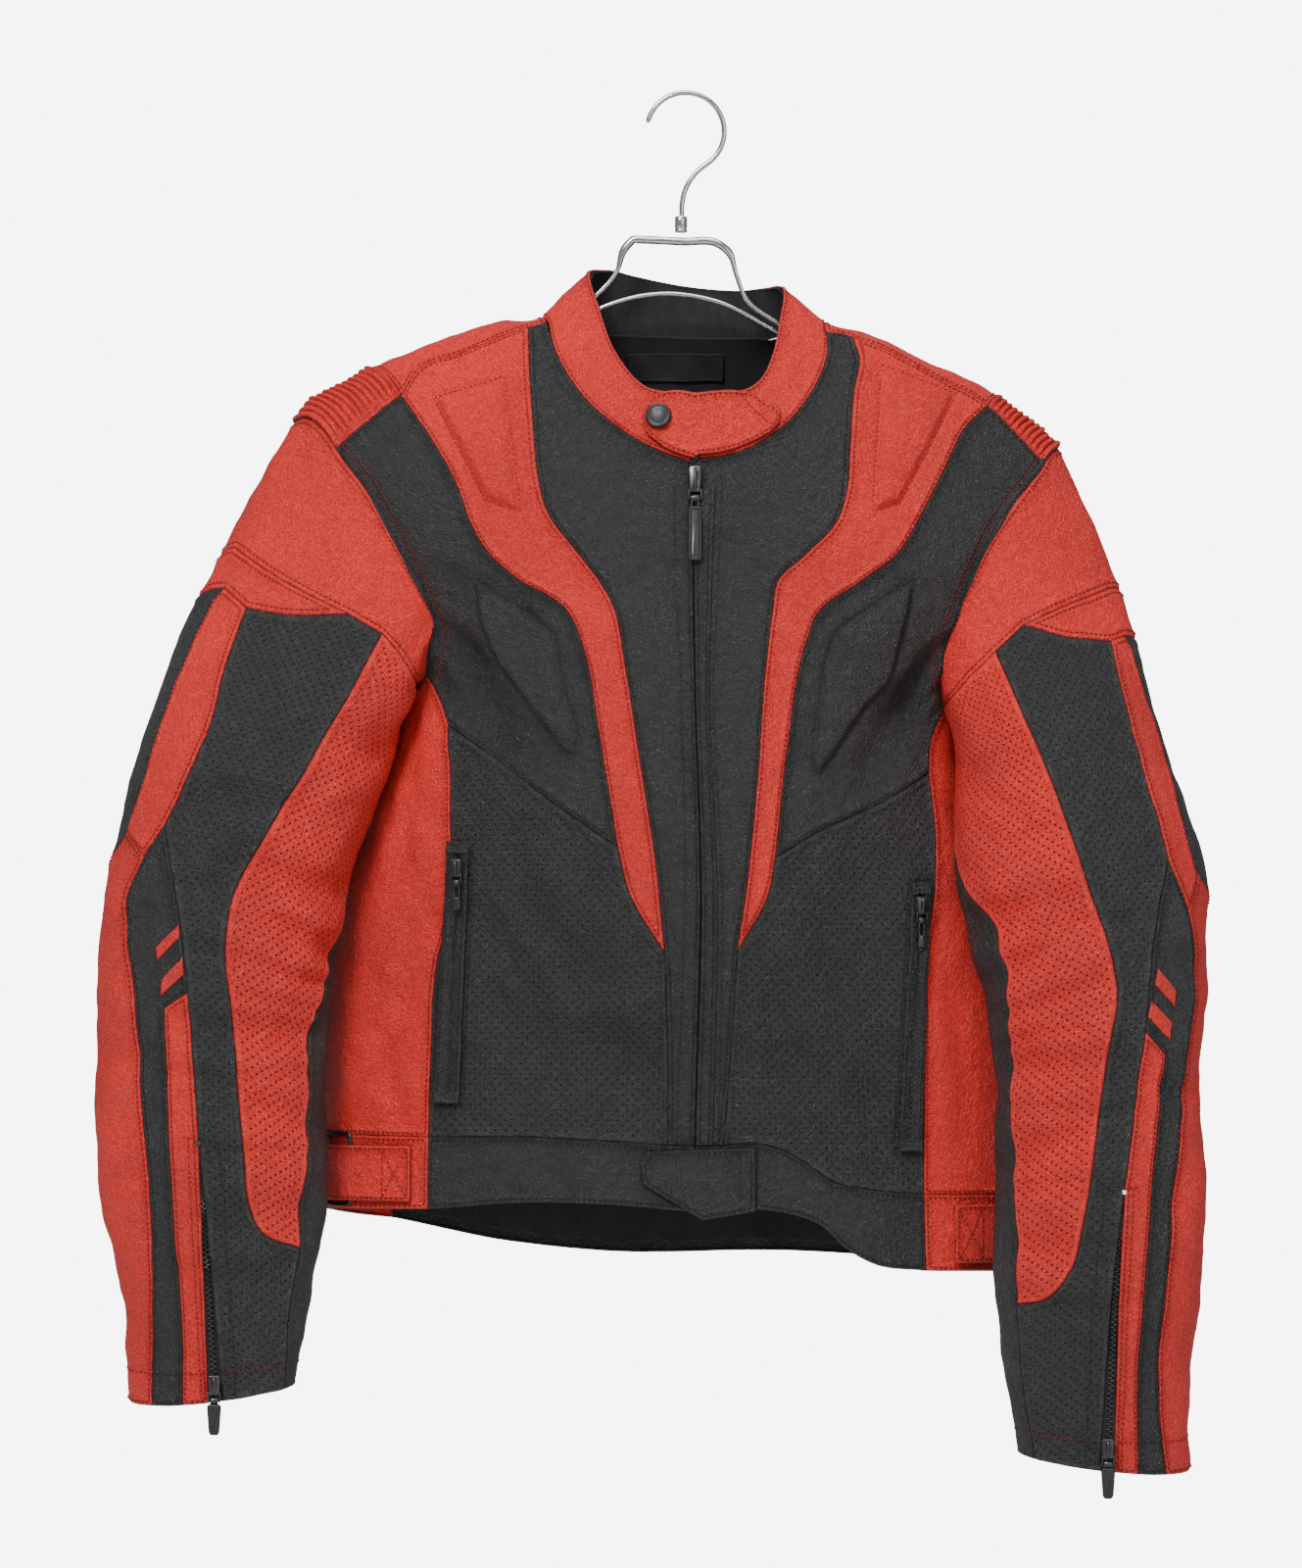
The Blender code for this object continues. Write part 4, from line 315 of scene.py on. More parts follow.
def spline(knots: Array, values: Array, at: Array) -> Array:
    """Cubic Hermite curve through values at the knots, straight beyond the ends.

    Args:
        knots: Rising parameters of the known values.
        values: A number or a point for each knot.
        at: Parameters to work the curve out at.

    Returns:
        The curve's values at those parameters.
    """
    knots, values, at = (np.asarray(a, float) for a in (knots, values, at))
    slopes = np.gradient(values, knots, axis=0)
    span = np.clip(np.searchsorted(knots, at) - 1, 0, len(knots) - 2)
    length = knots[span + 1] - knots[span]
    f = np.clip((at - knots[span]) / length, 0, 1)
    beyond = at - np.clip(at, knots[0], knots[-1])
    if values.ndim > 1:
        f, length, beyond = f[..., None], length[..., None], beyond[..., None]
    curve = (
        (1 + 2 * f) * (1 - f) ** 2 * values[span]
        + f * (1 - f) ** 2 * length * slopes[span]
        + f * f * (3 - 2 * f) * values[span + 1]
        + f * f * (f - 1) * length * slopes[span + 1]
    )
    return curve + beyond * np.where(beyond < 0, slopes[0], slopes[-1])


def run_of(points: Array) -> Array:
    """Distance along a line of points, at each of them."""
    return np.concatenate([[0], np.cumsum(np.linalg.norm(np.diff(points, axis=0), axis=1))])


def route(points: Array, step: float = SEAM_STEP) -> Array:
    """Points along a smooth line that keeps every given point.

    Args:
        points: The points that the line passes through.
        step: About how far apart its own points are at most.

    Returns:
        The line's points.
    """
    points = np.asarray(points, float)
    knots = run_of(points)
    at = [np.linspace(a, b, max(1, round((b - a) / step)) + 1)[:-1] for a, b in zip(knots, knots[1:])]
    return spline(knots, points, np.concatenate([*at, knots[-1:]]))


def straight(points: Array, step: float = SEAM_STEP) -> Array:
    """Points along straight lines from corner to corner."""
    return np.concatenate([*(route(pair, step)[:-1] for pair in zip(points, points[1:])), points[-1:]])


def polygon(corners: Array, step: float = SEAM_STEP) -> Array:
    """Points along the sides of a closed polygon, from its first corner."""
    return straight([*corners, corners[0]], step)[:-1]


def closed(line: Array) -> Array:
    """An outline with its first point again at the end."""
    return np.concatenate([line, line[:1]])


def loop(*stretches: Array) -> Array:
    """One closed outline from stretches that meet end to end."""
    return np.concatenate([np.asarray(s, float)[:-1] for s in stretches])


POINTS_AT_ONCE = 2000


def side_of(points: Array, outline: Array) -> Array:
    """Distance of each point from a closed outline, positive inside.

    Args:
        points: Flat points.
        outline: The outline's corners in order.

    Returns:
        For each point the least distance to an edge, with its sign from the edges that a level ray crosses.
    """
    a, b = outline, np.roll(outline, -1, axis=0)
    run = b - a
    size = np.maximum((run * run).sum(-1), TINY)
    rise = np.where(np.abs(run[:, 1]) < TINY, TINY, run[:, 1])
    found = []
    for some in np.array_split(points, max(1, len(points) // POINTS_AT_ONCE)):
        to = some[:, None] - a
        f = np.clip((to * run).sum(-1) / size, 0, 1)
        distance = np.linalg.norm(to - f[..., None] * run, axis=-1).min(axis=1)
        y = some[:, None, 1]
        crosses = (a[:, 1] > y) != (b[:, 1] > y)
        hits = crosses & (some[:, None, 0] < a[:, 0] + (y - a[:, 1]) / rise * run[:, 0])
        found.append(np.where(hits.sum(axis=1) % 2 == 1, distance, -distance))
    return np.concatenate(found)


def area(outline: Array) -> float:
    """Signed area inside a closed outline, by the shoelace sum."""
    x, y = outline.T
    return 0.5 * float((x * np.roll(y, -1) - np.roll(x, -1) * y).sum())


def inset(outline: Array, by: float) -> Array:
    """The outline moved inwards along the mean of its two edges' normals, with sharp corners kept short.

    Args:
        outline: Corners in order.
        by: How far, outwards if negative.

    Returns:
        The moved corners.
    """
    ahead = unit(np.roll(outline, -1, axis=0) - outline)
    behind = np.roll(ahead, 1, axis=0)
    turn = math.copysign(1, area(outline))
    normals = [turn * np.stack([-e[:, 1], e[:, 0]], axis=1) for e in (ahead, behind)]
    middle = normals[0] + normals[1]
    return outline + 2 * by * middle / np.maximum((middle * middle).sum(axis=1, keepdims=True), 0.2)


def smoothstep(x: Array) -> Array:
    """Rises from 0 to 1 as 3x^2 - 2x^3."""
    x = np.clip(x, 0, 1)
    return x * x * (3 - 2 * x)


def unit(vectors: Array) -> Array:
    """The vectors with a length of one."""
    return vectors / np.maximum(np.linalg.norm(vectors, axis=-1, keepdims=True), TINY)


def bell(distance: Array, width: Array | float) -> Array:
    """One at no distance, falling as exp(-(distance / width)^2)."""
    return np.exp(-((distance / width) ** 2))


def grid_of(across: Array, down: Array) -> Array:
    """Every pair of the two rows of numbers."""
    return np.stack(np.meshgrid(across, down, indexing="ij"), axis=-1).reshape(-1, 2)


WAVE_COUNT = 10
SHORTEST_WAVE = 17.0
WAVE_GROWTH = 1.2


def waves() -> tuple[Array, Array, Array, Array]:
    """Draws the slow waves of worn leather.

    Returns:
        Directions, wave numbers, phases and heights.
    """
    draw = np.random.default_rng(11)
    lengths = SHORTEST_WAVE * WAVE_GROWTH ** np.arange(WAVE_COUNT)
    numbers = 2 * math.pi / lengths
    return unit(draw.normal(size=(WAVE_COUNT, 3))), numbers, draw.uniform(0, 7, WAVE_COUNT), 0.010 * lengths**0.9


WAVES = waves()


def unevenness(points: Array) -> Array:
    """Height of worn leather's slow waves: ten plane waves from 17 to 88 mm long, each bent by the one before.

    Args:
        points: Places in space.

    Returns:
        A height for each.
    """
    along, number, phase, height = WAVES
    travel = points @ along.T * number + phase
    bent = travel + 1.3 * np.sin(0.7 * np.roll(travel, 1, axis=1))
    return np.sin(bent) @ height


class Chart:
    """A surface of the garment, from flat coordinates in millimetres to points in space."""

    outward = 1.0

    def __init__(self, folds: Array | None = None) -> None:
        """Keeps the folds: start and end on the chart, half width, depth and bow of each."""
        self.folds = np.zeros((0, 7)) if folds is None else folds

    def base(self, flat: Array) -> Array:
        """Points of the plain surface."""
        raise NotImplementedError

    def fold(self, flat: Array) -> Array:
        """Height of the folds: -d bell(a, w) beside a bowed line, and 0.3 d bell(a - 1.9w, w) for its ridge.

        Args:
            flat: Chart coordinates.

        Returns:
            A height for each point.
        """
        start, end, width, depth, bow = np.split(self.folds, [2, 4, 5, 6], axis=1)
        width, depth, bow = width[:, 0], depth[:, 0], bow[:, 0]
        run = end - start
        size = np.maximum((run * run).sum(axis=1), TINY)
        length = np.sqrt(size)
        to = flat[:, None] - start
        share = (to * run).sum(axis=-1) / size
        f = np.clip(share, 0, 1)
        side = (run[:, 0] * to[..., 1] - run[:, 1] * to[..., 0]) / length - bow * np.sin(math.pi * f)
        past = (share - f) * length
        trough = -depth * bell(np.hypot(side, past), width)
        beside = np.hypot(np.abs(side) - 1.9 * width, past)
        ridge = 0.3 * depth * bell(beside, width) * np.sin(math.pi * np.clip(f, 0.02, 0.98))
        return (trough + ridge).sum(axis=1)

    def lay(self, flat: Array, lift: Array | float = 0.0) -> tuple[Array, Array]:
        """Points on the folded surface, and their outward normals from the plain one.

        Args:
            flat: Chart coordinates.
            lift: Height above the surface, one or one for each point.

        Returns:
            The points and the unit normals.
        """
        flat = np.asarray(flat, float)
        across = self.base(flat + (NUDGE, 0)) - self.base(flat - (NUDGE, 0))
        down = self.base(flat + (0, NUDGE)) - self.base(flat - (0, NUDGE))
        normals = unit(self.outward * np.cross(across, down))
        return self.base(flat) + normals * np.reshape(lift + self.fold(flat), (-1, 1)), normals


def ring_at(z: Array) -> Array:
    """Half width left and right and depth front and back of the torso at each height."""
    return spline(TORSO[:, 0], TORSO[:, 1:], z).T


def ridge_at(x: Array) -> Array:
    """Height of the shoulder line at each place across."""
    return spline(RIDGE[:, 0], RIDGE[:, 1], x)


def ridge_drop(across: Array) -> tuple[Array, Array]:
    """Height below the ridge, and the share of the full depth, at a distance over the shoulder: a quarter turn."""
    turn = np.minimum(np.abs(across) / SHOULDER_ARC, 1) * math.pi / 2
    return SHOULDER_DROP * (1 - np.cos(turn)), np.sin(turn)


class TorsoChart(Chart):
    """The body: AROUND times the angle round it, against height."""

    def base(self, flat: Array) -> Array:
        """Rings of four quarter ellipses, which close to the shoulder line as sqrt(1 - rise^2).

        Args:
            flat: Chart coordinates.

        Returns:
            The points in space.
        """
        angle, z = flat[:, 0] / AROUND, flat[:, 1]
        left, right, front, back = ring_at(z)
        x = CENTRE_X + np.where(np.sin(angle) < 0, left, right) * np.sin(angle)
        depth = np.where(np.cos(angle) > 0, front, back) * np.cos(angle)
        rise = np.clip((z - ridge_at(x)) / SHOULDER_DROP + 1, 0, 1)
        return np.stack([x, -depth * np.sqrt(1 - rise**2), z], axis=1)


class ShoulderChart(Chart):
    """The shoulders: place across, against distance over the ridge with the front positive."""

    outward = -1.0

    def base(self, flat: Array) -> Array:
        """A quarter turn from the ridge to the torso's full depth, narrowed to its ring.

        Args:
            flat: Chart coordinates.

        Returns:
            The points in space.
        """
        x, across = flat.T
        drop, share = ridge_drop(across)
        z = ridge_at(x) - drop
        left, right, front, back = ring_at(z)
        half = np.where(x < CENTRE_X, left, right)
        depth = np.where(across > 0, -front, back) * share
        return np.stack([x, depth * np.sqrt(np.clip(1 - ((x - CENTRE_X) / half) ** 2, 0, 1)), z], axis=1)


def front_view(points: Array) -> Array:
    """Torso chart coordinates of points seen from the front.

    Args:
        points: Places x, z.

    Returns:
        Their chart coordinates.
    """
    x, z = np.asarray(points, float).T
    left, right, _, _ = ring_at(z)
    offset = x - CENTRE_X
    share = np.clip(offset / np.where(offset < 0, left, right), -1, 1)
    return np.stack([AROUND * np.arcsin(share), z], axis=1)


def back_view(points: Array, turns: int = 0) -> Array:
    """Torso chart coordinates of points seen through to the back.

    Args:
        points: Places x, z.
        turns: Full turns added to the angle, to meet the left side.

    Returns:
        Their chart coordinates.
    """
    flat = front_view(points)
    flat[:, 0] = AROUND * math.pi * (1 + 2 * turns) - flat[:, 0]
    return flat


def over_ridge(flat: Array, turns: int = 0) -> Array:
    """Torso chart coordinates of points on the shoulder chart.

    Args:
        flat: Coordinates on the shoulder chart.
        turns: Full turns added to the angle, to meet the left side.

    Returns:
        Their coordinates on the torso chart.
    """
    flat = np.asarray(flat, float)
    seen = np.stack([flat[:, 0], ridge_at(flat[:, 0]) - ridge_drop(flat[:, 1])[0]], axis=1)
    return np.where(flat[:, 1:] > 0, front_view(seen), back_view(seen, turns))


def shoulder_view(points: Array) -> Array:
    """Shoulder chart coordinates of points seen from the front.

    Args:
        points: Places x, z.

    Returns:
        Their coordinates on the shoulder chart.
    """
    x, z = np.asarray(points, float).T
    turn = np.arccos(np.clip(1 - (ridge_at(x) - z) / SHOULDER_DROP, 0, 1))
    return np.stack([x, SHOULDER_ARC * turn / (math.pi / 2)], axis=1)


def folds_on(rows: list, place: Callable[[Array], Array]) -> Array:
    """The fold table with both ends moved onto a chart.

    Args:
        rows: x, z, x, z, half width, depth and bow of each fold.
        place: The function that takes its ends onto the chart.

    Returns:
        The same table on the chart.
    """
    rows = np.array(rows, float)
    return np.hstack([place(rows[:, :2]), place(rows[:, 2:4]), rows[:, 4:]])


PLAIN_CHART = TorsoChart()
TORSO_CHART = TorsoChart(np.concatenate([folds_on(TORSO_FOLDS, front_view), folds_on(BACK_FOLDS, back_view)]))
SHOULDER_CHART = ShoulderChart()


def seam(name: str, step: float = SEAM_STEP) -> Array:
    """A torso seam, as smooth points on the torso chart."""
    return front_view(route(SEAMS[name], step))


def rib_edge(side: str, which: str, steps: int = 30) -> Array:
    """One long edge of a ribbed panel on the shoulder chart, from back to front."""
    inner, outer = RIB_EDGES[side]
    return spline([0, 0.5, 1], np.array(outer if which == "outer" else inner, float), np.linspace(0, 1, steps + 1))


def rib_end(side: str, end: int, steps: int = 12) -> Array:
    """A ribbed panel's short edge on the shoulder chart, from the yoke out: end 0 at the back, -1 at the front."""
    ends = np.array([rib_edge(side, which)[end] for which in ("inner", "outer")])
    return ends[0] + np.linspace(0, 1, steps + 1)[:, None] * (ends[1] - ends[0])


def crotch(side: str) -> Array:
    """Lowest point of the armhole, under the arm."""
    return np.array([AROUND * math.pi / 2 * OUTWARD[side], CROTCH_Z[side]])


def armhole_under(side: str) -> Array:
    """The armhole's lowest stretch on the torso chart, from the front round to the back.

    Args:
        side: Left or right.

    Returns:
        Its points.
    """
    front = front_view(SEAMS[f"armhole front {side}"])[-1]
    back = back_view(SEAMS[f"armhole back {side}"], BACK_TURNS[side])[-1]
    low = crotch(side)
    before, after = (0.45 * end + 0.55 * low - (0, 4) for end in (front, back))
    return route([front, before, low, after, back])


def armhole(side: str) -> Array:
    """The whole armhole in space, from the ridge down the front, under the arm and up the back.

    Args:
        side: Left or right.

    Returns:
        Its points, each once.
    """
    edge = rib_edge(side, "outer", HOLE_EDGE_STEPS)
    top = len(edge) // 2
    upper = SHOULDER_CHART.lay(edge)[0]
    front = TORSO_CHART.lay(seam(f"armhole front {side}", HOLE_STEP))[0]
    under = TORSO_CHART.lay(armhole_under(side)[::2])[0]
    back = TORSO_CHART.lay(back_view(route(SEAMS[f"armhole back {side}"], HOLE_STEP), BACK_TURNS[side]))[0]
    return np.concatenate([upper[top:], front[1:], under[1:], back[-2::-1], upper[1:top]])


def armhole_flat(side: str) -> Array:
    """The armhole's outline on the torso chart.

    Args:
        side: Left or right.

    Returns:
        Its corners.
    """
    upper = over_ridge(rib_edge(side, "outer", HOLE_EDGE_STEPS), BACK_TURNS[side])
    front = seam(f"armhole front {side}", COARSE_STEP)
    back = back_view(route(SEAMS[f"armhole back {side}"], COARSE_STEP), BACK_TURNS[side])
    top = len(upper) // 2
    return np.concatenate([upper[top + 1 :], front[1:], armhole_under(side)[1::3], back[-2::-1], upper[1:top]])


class SleeveChart(Chart):
    """One sleeve: ARM_AROUND times the angle round the arm, against distance down it."""

    free_at = 0.27  # share of the sleeve's length where its rings no longer follow the armhole
    free_sooner = 0.16  # how much sooner that is under the arm
    newton_steps = 3
    newton_damping = 0.05
    newton_reach = 1.2

    def __init__(self, side: str) -> None:
        """Measures the rings, sets the armhole's angles and prepares the front view.

        Args:
            side: Left or right.
        """
        super().__init__()
        self.side = side
        self.outward = float(OUTWARD[side])
        self.rows = np.array(SLEEVE[side], float)
        middle = (self.rows[:, :2] + self.rows[:, 2:4]) / 2
        self.down = run_of(middle)
        self.length = float(self.down[-1])
        self.hole = armhole(side)
        self.edge = armhole_flat(side)
        self.turns = self.angles_of_hole()
        self.folds = folds_on(SLEEVE_FOLDS, lambda ends: ends * (DEGREE, 1))
        angles = np.radians(np.arange(0, 181, 2)) * ARM_AROUND
        self.grid = grid_of(angles, np.arange(0, self.length + 12, 3))
        self.seen = self.base(self.grid)[:, [0, 2]]

    def ring(self, angle: Array, down: Array) -> Array:
        """The arm's ring: its middle, plus half its width times cos, and its depth times sin.

        Args:
            angle: Angle round the arm in radians.
            down: Distance down it.

        Returns:
            The points in space.
        """
        row = spline(self.down, self.rows, np.maximum(down, 0))
        outer, inner = row[:, :2], row[:, 2:4]
        seen = (outer + inner) / 2 + (outer - inner) / 2 * np.cos(angle)[:, None]
        deep = np.where(np.sin(angle) > 0, row[:, 5], row[:, 6])
        return np.stack([seen[:, 0], row[:, 4] - deep * np.sin(angle), seen[:, 1]], axis=1)

    def angles_of_hole(self) -> Array:
        """Angle round the arm of each point of the armhole, half from its place and half from its distance.

        Returns:
            The angles in radians, rising from the shoulder point round the front.
        """
        outer, inner = self.rows[0, :2], self.rows[0, 2:4]
        axis = (outer - inner) / 2
        share = np.clip(((self.hole[:, [0, 2]] - (outer + inner) / 2) @ axis) / (axis @ axis), -1, 1)
        low = int(np.argmin(share))
        turns = np.arccos(share)
        turns[low:] = 2 * math.pi - turns[low:]
        along = run_of(closed(self.hole))
        even = np.interp(along[:-1], [0, along[low], along[-1]], [0, math.pi, 2 * math.pi])
        change = 0.5 * (turns - even)
        soften = np.hanning(13)[1:-1]
        return even + np.convolve(np.concatenate([change[-5:], change, change[:5]]), soften / soften.sum(), "valid")

    def base(self, flat: Array) -> Array:
        """The ring, moved at its top to the armhole by a share that fades down the arm.

        Args:
            flat: Chart coordinates.

        Returns:
            The points in space.
        """
        angle, along = flat[:, 0] / ARM_AROUND, flat[:, 1]
        under = (0.5 - 0.5 * np.cos(angle)) ** 2
        start = UNDERARM_START * under
        turns = np.concatenate([self.turns[-3:] - 2 * math.pi, self.turns, self.turns[:3] + 2 * math.pi])
        hole = np.concatenate([self.hole[-3:], self.hole, self.hole[:3]])
        at_hole = spline(turns, hole, np.mod(angle, 2 * math.pi))
        fade = 1 - smoothstep(along / self.length / (self.free_at - self.free_sooner * under))
        points = self.ring(angle, start + along * (1 - start / self.length))
        return self.clear_of_body(points + (at_hole - self.ring(angle, start)) * fade[:, None])

    def clear_of_body(self, points: Array) -> Array:
        """Points beside the armhole, moved out of the torso where they would meet its leather.

        Args:
            points: Points in space.

        Returns:
            The points, where they were or moved out.
        """
        left, right, front, back = ring_at(points[:, 2])
        rise = np.clip((points[:, 2] - ridge_at(points[:, 0])) / SHOULDER_DROP + 1, 0, 1)
        wide = left if self.side == "left" else right
        deep = np.where(points[:, 1] < 0, front, back) * np.sqrt(1 - rise**2) + 0.5
        x, y = points[:, 0] - CENTRE_X, points[:, 1]
        around = AROUND * np.arctan2(x / wide, -y / deep)
        away = -side_of(np.stack([around, points[:, 2]], axis=1), self.edge)
        gap = SLEEVE_CLEARANCE * np.clip(0.2 + away / 6, 0, 1)
        reach = np.sqrt((x / (wide + gap)) ** 2 + (y / (deep + gap)) ** 2)
        push = 1 + (1 / np.clip(reach, 0.3, 1) - 1) * np.clip(away + 0.5, 0, 1) * np.clip(5 * (1 - rise), 0, 1)
        return np.stack([CENTRE_X + x * push, y * push, points[:, 2]], axis=1)

    def view(self, points: Array) -> Array:
        """Sleeve chart coordinates of points seen from the front, by the nearest grid point and Newton steps.

        Args:
            points: Places x, z.

        Returns:
            Their chart coordinates.
        """
        points = np.asarray(points, float)
        nearest = ((self.seen[None] - points[:, None]) ** 2).sum(axis=2).argmin(axis=1)
        found = self.grid[nearest]
        for _ in range(self.newton_steps):
            here = self.base(found)[:, [0, 2]]
            slopes = np.stack([self.base(found + d)[:, [0, 2]] - here for d in np.eye(2)], axis=2)
            slopes += self.newton_damping * np.eye(2)
            step = np.linalg.solve(slopes, (points - here)[..., None])[..., 0]
            found = found + np.clip(step, -self.newton_reach, self.newton_reach)
        found[:, 1] = np.maximum(found[:, 1], 0)
        return found

    def seam(self, name: str, step: float = SEAM_STEP) -> Array:
        """A sleeve seam, as smooth points on the chart."""
        return self.view(route(SLEEVE_SEAMS[self.side][name], step))

    def hole_between(self, first: float, last: float) -> Array:
        """Chart points along the armhole between two angles in degrees."""
        turns = np.radians(np.linspace(first, last, max(2, round(abs(last - first) / 3)) + 1))
        return np.stack([turns * ARM_AROUND, np.zeros(len(turns))], axis=1)

    def cuff(self, first: float, last: float) -> Array:
        """Chart points along the cuff's edge, which dips a little at the front."""
        turns = np.linspace(first, last, max(2, round(abs(last - first) / SEAM_STEP)) + 1)
        return np.stack([turns, self.length + 5 * np.maximum(np.sin(turns / ARM_AROUND), 0)], axis=1)


class CollarChart(Chart):
    """The stand collar: distance round the neck seam from the left front, against height above it."""

    outward = -1.0

    def __init__(self) -> None:
        """Finds where each of the top edge's known points stands round the neck."""
        super().__init__(np.array(COLLAR_FOLDS, float))
        left = TORSO_CHART.lay(seam("neck left", 40))[0]
        right = TORSO_CHART.lay(seam("neck right", 40))[0]
        over = SHOULDER_CHART.lay(neck_over())[0]
        self.foot = np.concatenate([left, over[1:-1], right[::-1]])
        self.round = run_of(self.foot)
        self.length = float(self.round[-1])
        far = np.linalg.norm(self.foot[None][..., [0, 2]] - COLLAR[:, None, :2], axis=2)
        wrong = (self.foot[None, :, 1] > 2) != (COLLAR[:, 2:3] > 0.5)
        self.at = self.round[np.argmin(far + 40 * wrong, axis=1)]
        self.top = COLLAR[:, 3:]

    def base(self, flat: Array) -> Array:
        """A straight blend from the neck seam to the top edge.

        Args:
            flat: Chart coordinates.

        Returns:
            The points in space.
        """
        full = self.length + FRONT_OPENING
        along = np.mod(flat[:, 0] + 0.5 * FRONT_OPENING, full) - 0.5 * FRONT_OPENING
        share = (flat[:, 1] / COLLAR_HEIGHT)[:, None]
        return spline(self.round, self.foot, along) * (1 - share) + spline(self.at, self.top, along) * share


def neck_over() -> Array:
    """The neck seam behind the ridge, on the shoulder chart, from left to right.

    Returns:
        Its points.
    """
    left, right = shoulder_view([SEAMS["neck left"][-1], SEAMS["neck right"][-1]])
    turns = np.linspace(0, math.pi, 13)[1:-1]
    arc = np.stack([-2 - 95 * np.cos(turns), -70 * np.sin(turns)], axis=1)
    return np.array([left, (-97, 0), *arc, (93.5, 0), right])


class Finish(Enum):
    """The finishes, by the record's slots where it has them."""

    RED = "red_leather"
    BLACK = "black_leather"
    RED_PIERCED = "perforated_red_leather"
    BLACK_PIERCED = "perforated_black_leather"
    LINING = "lining"
    GUNMETAL = "dark_metal"
    BURNISHED = "burnished_metal"
    RUBBER = "black_puller"
    SILVER = "silver_wire"
    RED_THREAD = "red_thread"
    BLACK_THREAD = "black_thread"
    TAPE = "zip_tape"


# Noises of the finishes: features for each metre, octaves and roughness
NOISES = {
    "bend": (210.0, 2.0, 0.5),
    "fine": (1500.0, 3.0, 0.6),
    "wrinkle": (130.0, 5.0, 0.62),
    "pebble": (560.0, 1.0, 0.5),
    "patch": (14.0, 4.0, 0.55),
    "rubbing": (95.0, 3.0, 0.5),
    "gathers": (240.0, 1.0, 0.5),
    "scratches": (1900.0, 3.0, 0.5),
    "finger marks": (160.0, 4.0, 0.5),
}


class NodeKit:
    """Short calls that build one node tree."""

    def __init__(self, tree: bpy.types.NodeTree) -> None:
        """Keeps the tree that it adds to."""
        self.tree = tree

    def add(self, kind: str, **settings: object) -> bpy.types.Node:
        """A node of that kind, with its settings, where names that start with in_ fill inputs or link to them.

        Args:
            kind: Blender's name of the node.
            settings: Properties of the node, and inputs as in_Name with a value or a socket.

        Returns:
            The node.
        """
        node = self.tree.nodes.new(kind)
        for key, value in settings.items():
            if not key.startswith("in_"):
                setattr(node, key, value)
        for key, value in settings.items():
            if key.startswith("in_"):
                place = key[3:].replace("_", " ")
                self.join(value, node.inputs[int(place)] if place.isdigit() else node.inputs[place])
        return node

    def join(self, value: Socket | float | tuple, socket: Socket) -> None:
        """Links a socket to an input, or sets the input's value."""
        if isinstance(value, Socket):
            self.tree.links.new(value, socket)
        else:
            socket.default_value = value

    def filled(self, kind: str, values: tuple, **settings: object) -> bpy.types.Node:
        """A node whose first inputs take those values.

        Args:
            kind: Blender's name of the node.
            values: Sockets or numbers, in the order of the inputs.
            settings: Properties of the node.

        Returns:
            The node.
        """
        node = self.add(kind, **settings)
        for value, socket in zip(values, node.inputs):
            self.join(value, socket)
        return node

    def maths(self, operation: str, *values: Socket | float) -> Socket:
        """The result of a Math node on sockets or numbers."""
        return self.filled("ShaderNodeMath", values, operation=operation).outputs[0]

    def vector(self, operation: str, *values: Socket | tuple) -> bpy.types.Node:
        """A Vector Math node on sockets or vectors."""
        return self.filled("ShaderNodeVectorMath", values, operation=operation)

    def ramp(self, value: Socket, low: float, high: float, to_low: float = 0.0, to_high: float = 1.0) -> Socket:
        """A smooth step from one value to another as the input goes from low to high."""
        values = (value, low, high, to_low, to_high)
        return self.filled("ShaderNodeMapRange", values, interpolation_type="SMOOTHSTEP").outputs[0]

    def mix(self, share: Socket, first: Socket | tuple, second: Socket | tuple) -> Socket:
        """A colour between two colours, by the share of the second."""
        return self.add("ShaderNodeMix", data_type="RGBA", in_0=share, in_6=first, in_7=second).outputs[2]

    def noise(self, name: str, vector: Socket, output: str = "Fac") -> Socket:
        """The output of one of the named noises.

        Args:
            name: Which of them.
            vector: Where it is looked up.
            output: The output's name.

        Returns:
            The output.
        """
        scale, detail, rough = NOISES[name]
        node = self.add("ShaderNodeTexNoise", in_Vector=vector, in_Scale=scale, in_Detail=detail, in_Roughness=rough)
        return node.outputs[output]

    def group(self, tree: bpy.types.NodeTree, **inputs: Socket | float) -> bpy.types.NodeOutputs:
        """The outputs of a node group, with its inputs given as in_Name."""
        return self.add("ShaderNodeGroup", node_tree=tree, **inputs).outputs

    def bump(self, shader: bpy.types.Node, strength: float, relief: float, height: Socket) -> None:
        """Links a bump to the shader's normal."""
        bump = self.add("ShaderNodeBump", in_Strength=strength, in_Distance=relief, in_Height=height)
        self.join(bump.outputs["Normal"], shader.inputs["Normal"])


def new_group(name: str, inputs: dict, outputs: dict) -> tuple[bpy.types.NodeTree, NodeKit, dict, dict]:
    """An empty node group with its sockets.

    Args:
        name: The group's name.
        inputs: Socket kind of each input, FLOAT or VECTOR.
        outputs: The same for each output.

    Returns:
        The group, a kit on it, its inputs' sockets by name and its outputs' sockets by name.
    """
    group = bpy.data.node_groups.new(name, "ShaderNodeTree")
    for in_out, sockets in (("INPUT", inputs), ("OUTPUT", outputs)):
        for socket, kind in sockets.items():
            group.interface.new_socket(socket, in_out=in_out, socket_type=f"NodeSocket{kind.title()}")
    start, end = group.nodes.new("NodeGroupInput"), group.nodes.new("NodeGroupOutput")
    return group, NodeKit(group), {s: start.outputs[s] for s in inputs}, {s: end.inputs[s] for s in outputs}


